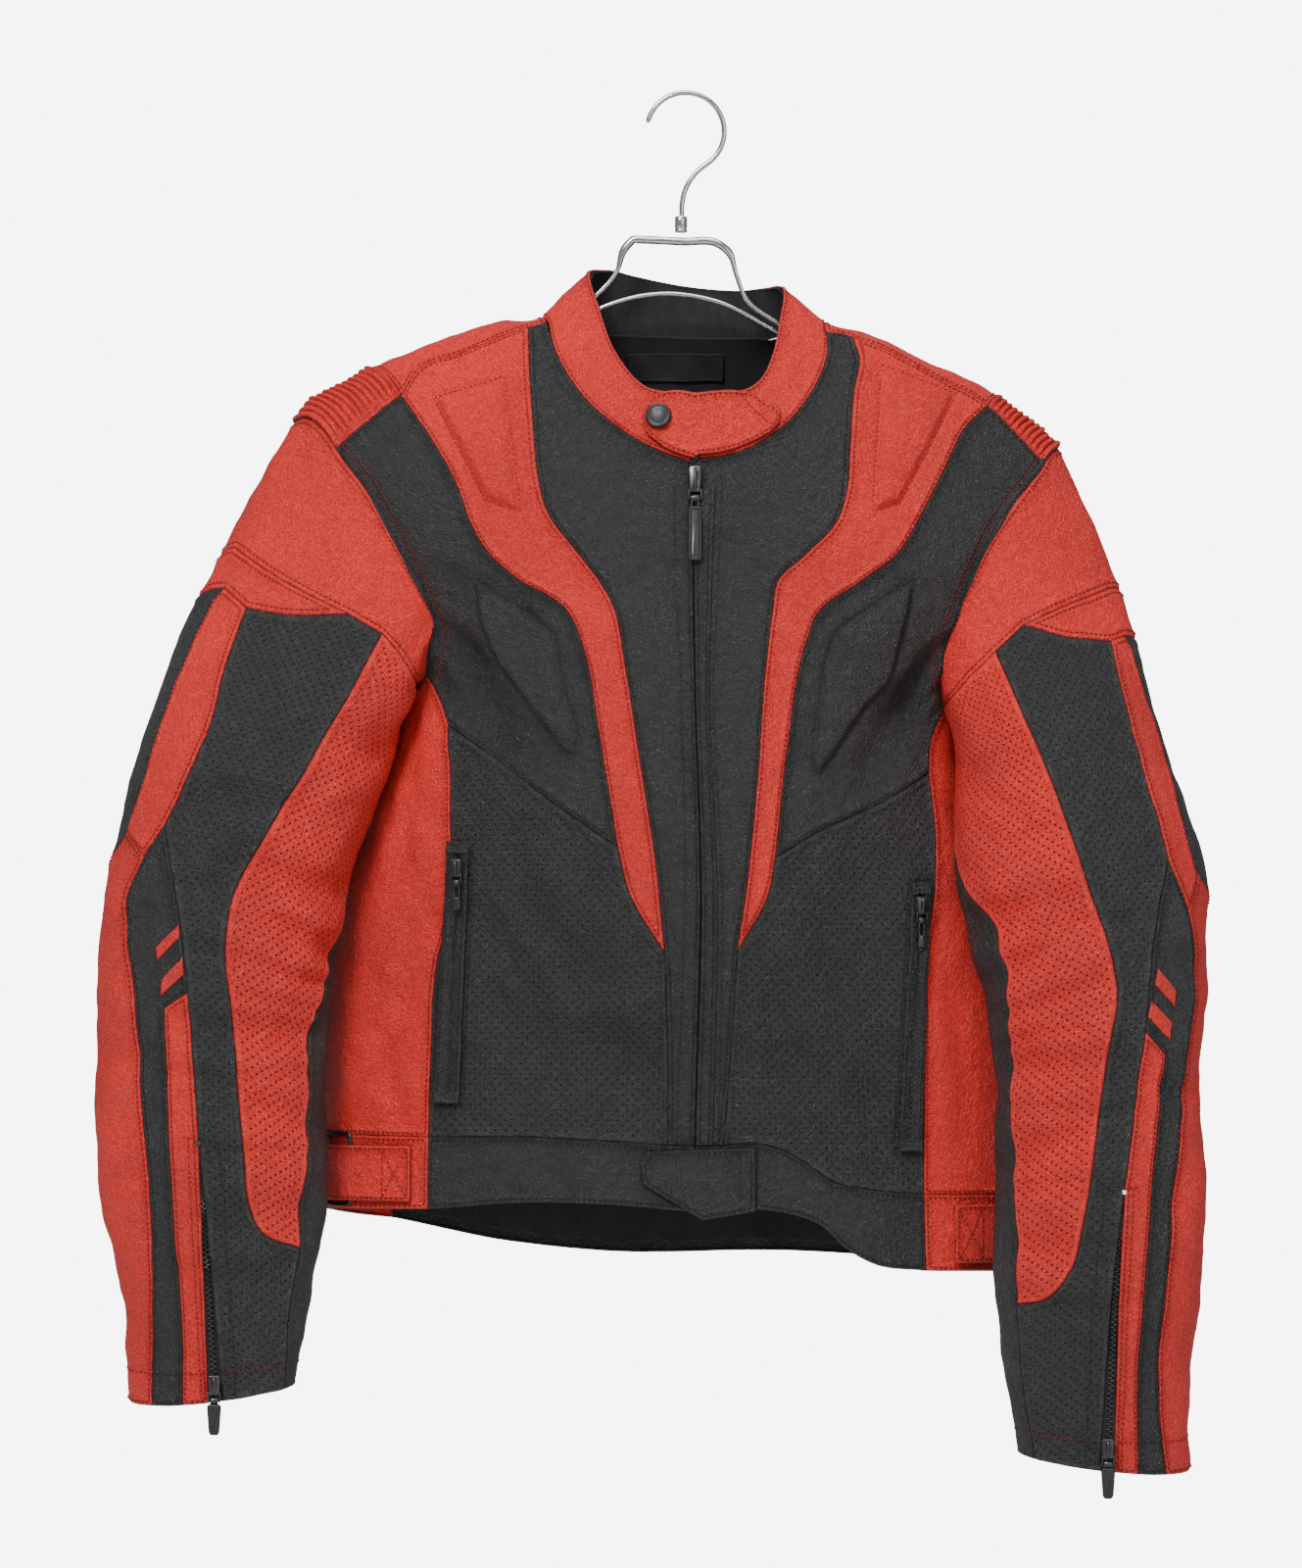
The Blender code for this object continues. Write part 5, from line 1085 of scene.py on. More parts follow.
class Surfaces:
    """Shared effects of the finishes, each a node group that is built once."""

    bending = 0.0016  # metres by which the grain's cells are moved
    shade_reach = 0.7  # millimetres from a seam that the painted shade reaches
    roll_rise = (0.6, 1.7)
    roll_fall = (1.9, 4.2)
    pucker_reach = (1.0, 7.5)
    hole_rim = (0.78, 1.12)
    hole_dip = (0.7, 1.5)

    def __init__(self) -> None:
        """Builds every group."""
        self.grain = self.build_grain()
        self.sewn = self.build_sewn()
        self.pierced = self.build_pierced()
        self.weave = self.build_weave()
        self.handled = self.build_handled()

    def build_grain(self) -> bpy.types.NodeTree:
        """Leather grain: rounded cells with creases between, on slow patches of colour, with a mask of the pebbles'
        heights for their painted highlight and shade.
        """
        group, kit, given, made = new_group(
            "Leather grain",
            {"Vector": "VECTOR", "Cells": "FLOAT"},
            {"Height": "FLOAT", "Crease": "FLOAT", "Patch": "FLOAT", "Pebble light": "FLOAT"},
        )
        place = given["Vector"]
        bend = kit.noise("bend", place, "Color")
        moved = kit.vector("MULTIPLY_ADD", bend, (self.bending,) * 3, place).outputs[0]
        cells = kit.add("ShaderNodeTexVoronoi", feature="DISTANCE_TO_EDGE", in_Vector=moved, in_Scale=given["Cells"])
        rounded = kit.ramp(cells.outputs["Distance"], 0.0, 0.26)
        fine, wrinkle = kit.noise("fine", place), kit.noise("wrinkle", place)
        height = kit.maths("MULTIPLY_ADD", fine, 0.35, rounded)
        pebble = kit.noise("pebble", place)
        height = kit.maths("MULTIPLY_ADD", pebble, 1.6, height)
        kit.join(kit.maths("MULTIPLY_ADD", wrinkle, 3.6, height), made["Height"])
        kit.join(kit.maths("SUBTRACT", 1.0, rounded), made["Crease"])
        # Mask of the pebbles' heights, for their painted highlight and shade.
        kit.join(kit.ramp(pebble, 0.34, 0.66), made["Pebble light"])
        kit.join(kit.ramp(kit.noise("patch", place), 0.32, 0.68), made["Patch"])
        return group

    def build_sewn(self) -> bpy.types.NodeTree:
        """What sewing does to an edge: painted shade in the seam, and the roll beside it lighter, partly as wear and
        partly as painted highlight.
        """
        group, kit, given, made = new_group(
            "Sewn edge",
            {"Distance": "FLOAT", "Vector": "VECTOR"},
            {"Shade": "FLOAT", "Roll light and wear": "FLOAT", "Pucker": "FLOAT"},
        )
        away = given["Distance"]
        # Painted shade in the seam, fading away from it.
        kit.join(kit.ramp(away, 0.0, self.shade_reach, 1.0, 0.0), made["Shade"])
        # The roll beside the seam, lighter in patches: partly wear, partly painted highlight.
        uneven = kit.noise("rubbing", given["Vector"])
        rise, fall = kit.ramp(away, *self.roll_rise), kit.ramp(away, *self.roll_fall, 1.0, 0.0)
        band = kit.maths("MULTIPLY", rise, fall)
        kit.join(kit.maths("MULTIPLY", band, kit.ramp(uneven, 0.4, 0.65)), made["Roll light and wear"])
        gathers = kit.noise("gathers", given["Vector"])
        near = kit.ramp(away, *self.pucker_reach, 1.0, 0.0)
        kit.join(kit.maths("MULTIPLY", gathers, near), made["Pucker"])
        return group

    def build_pierced(self) -> bpy.types.NodeTree:
        """Round holes on two square lattices, the second half a pitch along and across."""
        group, kit, given, made = new_group(
            "Pierced holes",
            {"Vector": "VECTOR", "Pitch": "FLOAT", "Radius": "FLOAT"},
            {"Hole": "FLOAT", "Dip": "FLOAT"},
        )
        share = kit.vector("SCALE", given["Vector"])
        kit.join(kit.maths("DIVIDE", 1.0, given["Pitch"]), share.inputs["Scale"])
        reaches = []
        for offset in (0.0, 0.5):
            moved = kit.vector("ADD", share.outputs[0], (offset, offset, 0.0))
            cell = kit.vector("FRACTION", moved.outputs[0])
            middle = kit.vector("SUBTRACT", cell.outputs[0], (0.5, 0.5, 0.0))
            flat = kit.vector("MULTIPLY", middle.outputs[0], (1.0, 1.0, 0.0))
            reaches.append(kit.vector("LENGTH", flat.outputs[0]).outputs["Value"])
        reach = kit.maths("MULTIPLY", kit.maths("MINIMUM", *reaches), given["Pitch"])
        from_rim = kit.maths("DIVIDE", reach, given["Radius"])
        kit.join(kit.ramp(from_rim, *self.hole_rim, 1.0, 0.0), made["Hole"])
        kit.join(kit.ramp(from_rim, *self.hole_dip), made["Dip"])
        return group

    def build_weave(self) -> bpy.types.NodeTree:
        """A plain weave: two rows of bands at right angles."""
        group, kit, given, made = new_group(
            "Plain weave", {"Vector": "VECTOR", "Threads": "FLOAT"}, {"Height": "FLOAT"}
        )
        bands = {"in_Vector": given["Vector"], "in_Scale": given["Threads"], "in_Distortion": 0.4}
        rows = [kit.add("ShaderNodeTexWave", bands_direction=axis, **bands).outputs["Fac"] for axis in ("X", "Y")]
        kit.join(kit.maths("MAXIMUM", *rows), made["Height"])
        return group

    def build_handled(self) -> bpy.types.NodeTree:
        """Fine scratches and finger marks on hard parts."""
        group, kit, given, made = new_group(
            "Handled metal", {"Vector": "VECTOR"}, {"Marks": "FLOAT", "Height": "FLOAT"}
        )
        stretched = kit.vector("MULTIPLY", given["Vector"], (1.0, 1.0, 0.16)).outputs[0]
        lines = kit.noise("scratches", stretched)
        both = kit.maths("MULTIPLY_ADD", lines, 0.5, kit.noise("finger marks", given["Vector"]))
        kit.join(kit.ramp(both, 0.55, 0.95), made["Marks"])
        kit.join(lines, made["Height"])
        return group


def opaque(colour: tuple, share: float = 1.0) -> tuple:
    """A colour, made darker by a share, with full cover."""
    return (*(share * c for c in colour), 1)


@dataclass(frozen=True)
class Leather:
    """A grained leather: its colours, among them those of its painted shade and painted highlight, gloss and cells for
    each metre, and the pitch of its holes if pierced.
    """

    colour: tuple
    # Colour of the painted shade in creases, seams, stitch channels and holes.
    dark: tuple
    # Colour of the painted highlight on pebble tops and rolls, and of the wear on the rolls.
    rubbed: tuple
    rough: float
    cells: float = 720.0
    relief: float = 0.0011
    bump: float = 0.75
    patch_dark: float = 0.8
    # Strength of the painted shade in the grain's creases.
    crease_shade: float = 0.36
    # Strength of the roll's lightening: partly wear, partly painted highlight.
    roll_light_and_wear: float = 0.35
    # Strength of the painted shade in the seams.
    seam_shading: float = 0.8
    # Painted shade on low pebbles, and painted highlight on high ones.
    pebble_shade: float = 0.2
    pebble_highlight: float = 0.16
    pucker: float = 3.0
    stitch_line: float = 2.3
    line_depth: float = 1.3
    # Painted shade in the channel along the stitch line.
    channel_shade: float = 0.22
    hole_pitch: float = 0.0
    hole_radius: float = 0.00074
    hole_margin: tuple = (3.0, 4.2)
    hole_depth: float = 2.6
    hole_cover: float = 0.92
    # How dark the holes are painted: painted shade of their insides.
    hole_shade: float = 0.25

    def dress(self, kit: NodeKit, shader: bpy.types.Node, shared: Surfaces) -> None:
        """Links grain, sewn edges and holes to the shader, with painted shade and painted highlight in the colour.

        Args:
            kit: The material's kit.
            shader: Its shader.
            shared: The shared effects.
        """
        place = kit.add("ShaderNodeTexCoord").outputs
        grain = kit.group(shared.grain, in_Vector=place["Object"], in_Cells=self.cells)
        distance = kit.add("ShaderNodeAttribute", attribute_name="seam").outputs["Fac"]
        sewn = kit.group(shared.sewn, in_Distance=distance, in_Vector=place["Object"])
        dark, rubbed = opaque(self.dark), opaque(self.rubbed)
        colour = kit.mix(grain["Patch"], opaque(self.colour), opaque(self.colour, self.patch_dark))
        # Painted shade in the grain's creases.
        colour = kit.mix(kit.maths("MULTIPLY", grain["Crease"], self.crease_shade), colour, dark)
        # Painted shade on the low pebbles, then painted highlight on the high ones.
        colour = kit.mix(kit.ramp(grain["Pebble light"], 0.0, 0.5, self.pebble_shade, 0.0), colour, dark)
        colour = kit.mix(kit.ramp(grain["Pebble light"], 0.5, 1.0, 0.0, self.pebble_highlight), colour, rubbed)
        # The roll beside a seam made lighter: partly wear, partly painted highlight.
        colour = kit.mix(kit.maths("MULTIPLY", sewn["Roll light and wear"], self.roll_light_and_wear), colour, rubbed)
        # Painted shade in the seam.
        colour = kit.mix(kit.maths("MULTIPLY", sewn["Shade"], self.seam_shading), colour, dark)
        height = kit.maths("MULTIPLY_ADD", sewn["Pucker"], self.pucker, grain["Height"])
        rough = kit.maths("MULTIPLY_ADD", grain["Patch"], 0.08, self.rough)
        if self.hole_pitch:
            holes = kit.group(
                shared.pierced, in_Vector=place["UV"], in_Pitch=self.hole_pitch, in_Radius=self.hole_radius
            )
            clear = kit.ramp(distance, *self.hole_margin)
            inside = kit.maths("MULTIPLY", holes["Hole"], clear)
            cover = kit.maths("MULTIPLY", inside, self.hole_cover)
            # Each hole painted dark: painted shade of its inside.
            colour = kit.mix(cover, colour, opaque(self.dark, self.hole_shade))
            dip = kit.maths("MULTIPLY", kit.maths("SUBTRACT", 1.0, holes["Dip"]), clear)
            height = kit.maths("MULTIPLY_ADD", dip, -self.hole_depth, height)
            rough = kit.maths("MULTIPLY_ADD", inside, 0.6, rough)
        else:
            off_line = kit.maths("ABSOLUTE", kit.maths("SUBTRACT", distance, self.stitch_line))
            channel = kit.ramp(off_line, 0.1, 0.9, 1.0, 0.0)
            height = kit.maths("MULTIPLY_ADD", channel, -self.line_depth, height)
            # Painted shade in the stitch line's channel.
            colour = kit.mix(kit.maths("MULTIPLY", channel, self.channel_shade), colour, dark)
        rough = kit.maths("MULTIPLY_ADD", grain["Crease"], 0.14, rough)
        kit.join(colour, shader.inputs["Base Color"])
        kit.join(rough, shader.inputs["Roughness"])
        kit.bump(shader, self.bump, self.relief, height)


@dataclass(frozen=True)
class Cloth:
    """A woven cloth or thread: its colour, gloss and threads for each metre."""

    colour: tuple
    threads: float
    rough: float = 0.85
    relief: float = 0.0002

    def dress(self, kit: NodeKit, shader: bpy.types.Node, shared: Surfaces) -> None:
        """Links the weave to the shader.

        Args:
            kit: The material's kit.
            shader: Its shader.
            shared: The shared effects.
        """
        place = kit.add("ShaderNodeTexCoord").outputs["Object"]
        height = kit.group(shared.weave, in_Vector=place, in_Threads=self.threads)["Height"]
        # Darker where the weave is low: painted shade between the threads.
        kit.join(kit.mix(height, opaque(self.colour, 0.6), opaque(self.colour)), shader.inputs["Base Color"])
        shader.inputs["Roughness"].default_value = self.rough
        kit.bump(shader, 0.7, self.relief, height)


@dataclass(frozen=True)
class Hard:
    """A metal or a moulded part: its colour, gloss and whether it is metal."""

    colour: tuple
    rough: float
    metallic: float
    relief: float = 0.00003

    def dress(self, kit: NodeKit, shader: bpy.types.Node, shared: Surfaces) -> None:
        """Links handling marks to the shader.

        Args:
            kit: The material's kit.
            shader: Its shader.
            shared: The shared effects.
        """
        place = kit.add("ShaderNodeTexCoord").outputs["Object"]
        worn = kit.group(shared.handled, in_Vector=place)
        kit.join(kit.mix(worn["Marks"], opaque(self.colour), opaque(self.colour, 0.72)), shader.inputs["Base Color"])
        kit.join(kit.maths("MULTIPLY_ADD", worn["Marks"], 0.16, self.rough), shader.inputs["Roughness"])
        shader.inputs["Metallic"].default_value = self.metallic
        kit.bump(shader, 0.4, self.relief, worn["Height"])


# Each leather's own colour, the colour of its painted shade, the colour of its painted highlight and wear, and its
# gloss.
RED_SKIN = {"colour": (0.87, 0.020, 0.013), "dark": (0.15, 0.004, 0.003), "rubbed": (0.94, 0.07, 0.045), "rough": 0.38}
BLACK_SKIN = {
    "colour": (0.020, 0.020, 0.021), "dark": (0.003, 0.003, 0.003), "rubbed": (0.062, 0.061, 0.060), "rough": 0.33,
}
LOOKS = {
    Finish.RED: Leather(**RED_SKIN),
    Finish.BLACK: Leather(**BLACK_SKIN),
    Finish.RED_PIERCED: Leather(**RED_SKIN, hole_pitch=0.0068),
    Finish.BLACK_PIERCED: Leather(**BLACK_SKIN, hole_pitch=0.0068, hole_radius=0.00068),
    Finish.LINING: Cloth((0.012, 0.012, 0.015), 260.0, 0.9),
    Finish.GUNMETAL: Hard((0.085, 0.082, 0.082), 0.28, 0.95),
    Finish.BURNISHED: Hard((0.040, 0.040, 0.043), 0.42, 0.9),
    Finish.RUBBER: Hard((0.014, 0.014, 0.015), 0.42, 0.0, 0.00005),
    Finish.SILVER: Hard((0.72, 0.70, 0.68), 0.16, 1.0, 0.00001),
    Finish.RED_THREAD: Cloth((0.15, 0.008, 0.008), 900.0, 0.6),
    Finish.BLACK_THREAD: Cloth((0.005, 0.005, 0.005), 900.0, 0.6),
    Finish.TAPE: Cloth((0.014, 0.014, 0.016), 420.0, 0.8),
}


class Wardrobe:
    """The materials, each made once from its finish."""

    def __init__(self) -> None:
        """Builds a material for every finish."""
        shared = Surfaces()
        self.made = {finish: self.build(finish, look, shared) for finish, look in LOOKS.items()}

    def build(self, finish: Finish, look: Leather | Cloth | Hard, shared: Surfaces) -> bpy.types.Material:
        """A material whose shader is dressed by its look.

        Args:
            finish: The finish that it is named after.
            look: What it looks like.
            shared: The shared effects.

        Returns:
            The material.
        """
        material = bpy.data.materials.new(finish.value)
        material.use_nodes = True
        look.dress(NodeKit(material.node_tree), material.node_tree.nodes["Principled BSDF"], shared)
        return material

    def put_on(self, obj: bpy.types.Object, finish: Finish, body: str = JACKET, solid: str = "") -> None:
        """Gives an object its one finish, the body that it rides on and the solid that it stands for.

        Args:
            obj: The object.
            finish: Its finish, whose slot is named where the record has it.
            body: The body that it moves with.
            solid: The solid's name, if it stands for one.
        """
        obj.data.materials.clear()
        obj.data.materials.append(self.made[finish])
        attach(obj, body)
        if solid:
            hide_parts(solid)


def mesh_object(name: str, points: Array, faces: Array | list, smooth: bool = True) -> bpy.types.Object:
    """An object at the origin with a mesh from arrays.

    Args:
        name: The object's name.
        points: Corners in millimetres.
        faces: Corner numbers of each face.
        smooth: Whether its faces are shaded smooth.

    Returns:
        The object, linked to the scene.
    """
    mesh = bpy.data.meshes.new(name)
    mesh.from_pydata((np.asarray(points) * MM).tolist(), [], faces.tolist() if isinstance(faces, np.ndarray) else faces)
    if smooth:
        mesh.shade_smooth()
    made = bpy.data.objects.new(name, mesh)
    bpy.context.scene.collection.objects.link(made)
    return made


def thicken(obj: bpy.types.Object, thick: float) -> None:
    """Gives a shell its thickness, inwards.

    Args:
        obj: The shell.
        thick: Its thickness in millimetres.
    """
    solid = obj.modifiers.new("Thickness", "SOLIDIFY")
    solid.thickness = thick * MM
    solid.offset = -1
    solid.use_quality_normals = True


def round_edges(obj: bpy.types.Object, width: float, segments: int) -> None:
    """Rounds an object's edges by a width in millimetres."""
    bevel = obj.modifiers.new("Rounded edge", "BEVEL")
    bevel.width, bevel.segments = width * MM, segments


def mark_seams(obj: bpy.types.Object, away: Array) -> None:
    """Stores each corner's distance from the nearest seam, for the finishes."""
    obj.data.attributes.new("seam", "FLOAT", "POINT").data.foreach_set("value", away.astype(np.float32))


def grid_lengths(points: Array, shape: tuple[int, int]) -> list[Array]:
    """Lengths of the lines of a grid of points, first those that cross its rows and then the rows."""
    grid = points.reshape(*shape, 3)
    return [np.linalg.norm(np.diff(grid, axis=axis), axis=2).sum(axis=axis) for axis in (0, 1)]


def between_rings(rows: Array) -> Array:
    """Four-cornered faces from each ring of corner numbers to the next."""
    beside = np.roll(rows, -1, axis=1)
    return np.stack([rows[:-1], beside[:-1], beside[1:], rows[1:]], axis=-1).reshape(-1, 4)


def over_grid(points: Array, normals: Array, shape: tuple[int, int]) -> Array:
    """Four-cornered faces of an open grid of points, facing the way of the normals.

    Args:
        points: The points, row after row.
        normals: The side that they face.
        shape: Rows, and points in each.

    Returns:
        The corners of each face.
    """
    index = np.arange(shape[0] * shape[1]).reshape(shape)
    faces = np.stack([index[:-1, :-1], index[1:, :-1], index[1:, 1:], index[:-1, 1:]], axis=-1).reshape(-1, 4)
    return facing_out(points, faces, normals)


def facing_out(points: Array, faces: Array, normals: Array) -> Array:
    """The faces, turned over if most of them face against the normals.

    Args:
        points: Corners.
        faces: Corner numbers of each face.
        normals: A normal at each corner.

    Returns:
        The faces, all the same way round.
    """
    a, b, last = (points[faces[:, i]] for i in (0, 1, -1))
    against = (np.cross(b - a, last - a) * normals[faces[:, 0]]).sum() < 0
    return faces[:, ::-1] if against else faces


# Where the grid of a piece is finer: rings inside its edge, rings and band round its pad, lines along its groove
RING_DEPTHS = (0.7, 1.5, 2.6, 4.4)
PAD_RINGS = (-3.0, -1.3, 0.0, 1.2, 2.6, 4.6, 7.5)
PAD_BAND = (2.2, 7.0)
GROOVE_LINES = (-2.6, -1.3, 0.0, 1.3, 2.6)
GROOVE_REACH = 3.0
LONGEST_FADE = 20.0  # millimetres from a seam that the finishes still tell apart
FULLEST_CUT = 0.3  # least share of its bounding rectangle that a cut covers


@dataclass
class Panel:
    """A leather piece, cut to an outline on a chart, with its raised pad if it has one."""

    name: str
    chart: Chart
    outline: Array
    finish: Finish
    pad: str = ""
    lift: float = 0.0
    step: float = 3.9
    thick: float = 1.4
    roll: float = 1.0
    solid: bool = True
    carrier: str = ""
    groove: Array | None = None
    table_size: int = 60
    table_margin: float = 3.0

    def __post_init__(self) -> None:
        """Drops doubled corners, lays out the pad and measures the cloth."""
        outline = np.asarray(self.outline, float)
        keep = np.linalg.norm(outline - np.roll(outline, 1, axis=0), axis=1) > SHORTEST_EDGE
        self.outline = inset(outline[keep], -SEAM_OVERLAP)
        self.foot = front_view(polygon(PADS[self.pad])) if self.pad else None
        low, high = self.outline.min(axis=0) - self.table_margin, self.outline.max(axis=0) + self.table_margin
        self.axes = [np.linspace(a, b, self.table_size) for a, b in zip(low, high)]
        points = self.chart.base(grid_of(*self.axes)).reshape(self.table_size, self.table_size, 3)
        self.arcs = []
        for axis in (0, 1):
            steps = np.linalg.norm(np.diff(points, axis=axis), axis=2)
            run = np.concatenate([np.zeros_like(steps.take([0], axis=axis)), np.cumsum(steps, axis=axis)], axis=axis)
            self.arcs.append(run - run.take([self.table_size // 2], axis=axis))

    def cloth(self, flat: Array) -> Array:
        """Distances over the cloth from the piece's middle: arc lengths of the plain surface, read from a table.

        Args:
            flat: Chart coordinates.

        Returns:
            Distance across and down for each point.
        """
        last = self.table_size - 1
        places = zip(flat.T, self.axes)
        share = [np.clip((at - a[0]) / (a[-1] - a[0]) * last, 0, last - 0.001) for at, a in places]
        (i, j), (f, g) = [s.astype(int) for s in share], [s % 1 for s in share]
        rows = []
        for t in self.arcs:
            near, far = (t[i, k] * (1 - f) + t[i + 1, k] * f for k in (j, j + 1))
            rows.append(near * (1 - g) + far * g)
        return np.stack(rows, axis=1)

    def height(self, flat: Array) -> Array:
        """Height above the chart: at depth d a roll of 0.45 bell(d - 2.2, 1.4) - 0.8 bell(d, 0.7), pad and groove.

        Args:
            flat: Chart coordinates.

        Returns:
            A height for each point.
        """
        d = side_of(flat, self.outline)
        raised = self.lift + self.roll * (0.45 * bell(d - 2.2, 1.4) - 0.8 * bell(d, 0.7))
        if self.foot is not None:
            within = side_of(flat, self.foot)
            crown = smoothstep(within / 4.5) * (0.72 + 0.28 * smoothstep(within / 26))
            raised = raised + PAD_HEIGHT * crown - 1.5 * bell(within + 0.3, 1.3)
        if self.groove is not None:
            there_and_back = np.concatenate([self.groove, self.groove[::-1] + (0.01, 0)])
            raised = raised - 2.2 * bell(side_of(flat, there_and_back), 1.5)
        return raised

    def surface(self, flat: Array, lift: float = 0.0) -> tuple[Array, Array]:
        """Points of the worn leather and their normals, at a lift above it."""
        points, normals = self.chart.lay(flat, self.height(flat) + lift)
        return points + normals * unevenness(points)[:, None], normals

    def trim(self) -> tuple[Array, Array]:
        """The grid inside the outline: rings that follow the edge and the pad, and a staggered lattice.

        Returns:
            The grid's chart coordinates and its triangles.
        """
        rings = [(inset(self.outline, by), by) for by in RING_DEPTHS]
        kept = [ring[side_of(ring, self.outline) > 0.9 * by] for ring, by in rings]
        low, high = self.outline.min(axis=0), self.outline.max(axis=0)
        rate = self.rate()
        axes = [np.arange(a, b, self.step / r) for a, b, r in zip(low, high, rate)]
        lattice = np.stack(np.meshgrid(*axes, indexing="ij"), axis=-1)
        lattice[::2, :, 1] += 0.5 * self.step / rate[1]
        lattice = lattice.reshape(-1, 2)
        lattice = lattice[side_of(lattice, self.outline) > RING_DEPTHS[-1] + 0.45 * self.step]
        if self.foot is not None:
            middle, reach = PAD_BAND
            lattice = lattice[np.abs(side_of(lattice, self.foot) - middle) > reach]
            kept += [inset(self.foot, by) for by in PAD_RINGS]
        if self.groove is not None:
            across = np.interp(lattice[:, 1], *self.groove[::-1].T[::-1])
            lattice = lattice[np.abs(lattice[:, 0] - across) > GROOVE_REACH]
            kept += [self.groove + (by, 0) for by in GROOVE_LINES]
        count = len(self.outline)
        edges = np.stack([np.arange(count), (np.arange(count) + 1) % count], axis=1)
        corners = np.concatenate([self.outline, *kept, lattice])
        flat, _, faces, *_ = delaunay_2d_cdt(corners.tolist(), edges.tolist(), [], 1, 1e-4)
        return np.array(flat, float), np.array(faces, int)

    def rate(self) -> Array:
        """Millimetres of cloth for each millimetre of the chart, across and down, at the piece's middle."""
        measured = enumerate(zip(self.arcs, self.axes))
        return np.array([np.median(np.diff(t, axis=i)) / (a[1] - a[0]) for i, (t, a) in measured])

    def cut_size(self) -> tuple[tuple[float, float], float]:
        """Measures the flat cut along its main directions.

        Returns:
            Width and length in metres, and the area in square metres.
        """
        flat = self.cloth(self.outline)
        _, _, turn = np.linalg.svd(flat - flat.mean(axis=0), full_matrices=False)
        size = np.ptp(flat @ turn.T, axis=0) * MM
        cover = abs(area(flat)) * MM * MM
        return (float(size.min()), float(size.max())), float(np.clip(cover, FULLEST_CUT * size.prod(), size.prod()))

    def make(self, wardrobe: Wardrobe, trims: list | None = None) -> bpy.types.Object:
        """Builds the piece, dresses it and lets it stand for its solid.

        Args:
            wardrobe: The materials.
            trims: Small pieces that are sewn on it. Not used.

        Returns:
            The piece.
        """
        flat, faces = self.trim()
        points, normals = self.surface(flat)
        faces = facing_out(points, faces, normals)
        made = mesh_object(f"leather_{self.name}", points, faces)
        mark_seams(made, np.clip(side_of(flat, self.outline), 0, LONGEST_FADE))
        uv = made.data.uv_layers.new(name="Cloth")
        uv.data.foreach_set("uv", (self.cloth(flat) * MM)[faces.ravel()].astype(np.float32).ravel())
        thicken(made, self.thick)
        wardrobe.put_on(made, self.finish, solid=self.name if self.solid else "")
        if not self.carrier:
            cut, cover = self.cut_size()
        return made


def by_name(pieces: list[Panel]) -> dict[str, Panel]:
    """The pieces by their names."""
    return {piece.name: piece for piece in pieces}


def split(line: Array, point: Array) -> tuple[Array, Array]:
    """The two parts of a line that meet at its point nearest to the given one."""
    at = int(np.argmin(np.linalg.norm(line - point, axis=1)))
    return line[: at + 1], line[at:]


def back_line(offset: float, x_from: float, x_to: float, turns: int = 0) -> Array:
    """The back hem, or the seam at a height above it, between two places across."""
    xs = np.linspace(x_from, x_to, max(2, round(abs(x_to - x_from) / SEAM_STEP)) + 1)
    return back_view(np.stack([xs, spline(BACK_HEM[:, 0], BACK_HEM[:, 1], xs) + offset], axis=1), turns)


def side_line(side: str) -> float:
    """Chart place of the seam between side panel and back."""
    return AROUND * math.radians(SIDE_SEAM_DEG) * OUTWARD[side]


def side_bends(side: str, turned: float = 0.0) -> list[tuple[float, float]]:
    """The two bends of that seam, from the lower one."""
    return [(side_line(side) + turned, height) for height in SIDE_SEAM_BENDS]


def side_x(side: str) -> float:
    """Place across of that seam near the hem."""
    return float(PLAIN_CHART.base(np.array([(side_line(side), NEAR_HEM)]))[0, 0])


def side_low(side: str, offset: float = BELT_HEIGHT) -> Array:
    """Where the side seam meets the belt at the back, or the hem with no offset."""
    across = side_x(side)
    return back_line(offset, across, across + 1, BACK_TURNS[side])[0]


def round_side(side: str, start: Array, end: Array, level: dict) -> Array:
    """A line round one side, level at the side and easing to the back.

    Args:
        side: Left or right.
        start: Its front end.
        end: Its back end.
        level: Its height at each side.

    Returns:
        Points along it.
    """
    edge = AROUND * math.pi / 2 * OUTWARD[side]
    middle = (0.5 * (start[0] + edge), 0.3 * start[1] + 0.7 * level[side])
    return route([start, middle, (edge, level[side]), end])


WAIST_LEVEL = {"left": -695.0, "right": -736.0}
HEM_LEVEL = {"left": -745.0, "right": -787.0}
FULL_TURN = np.array([2 * math.pi * AROUND, 0.0])


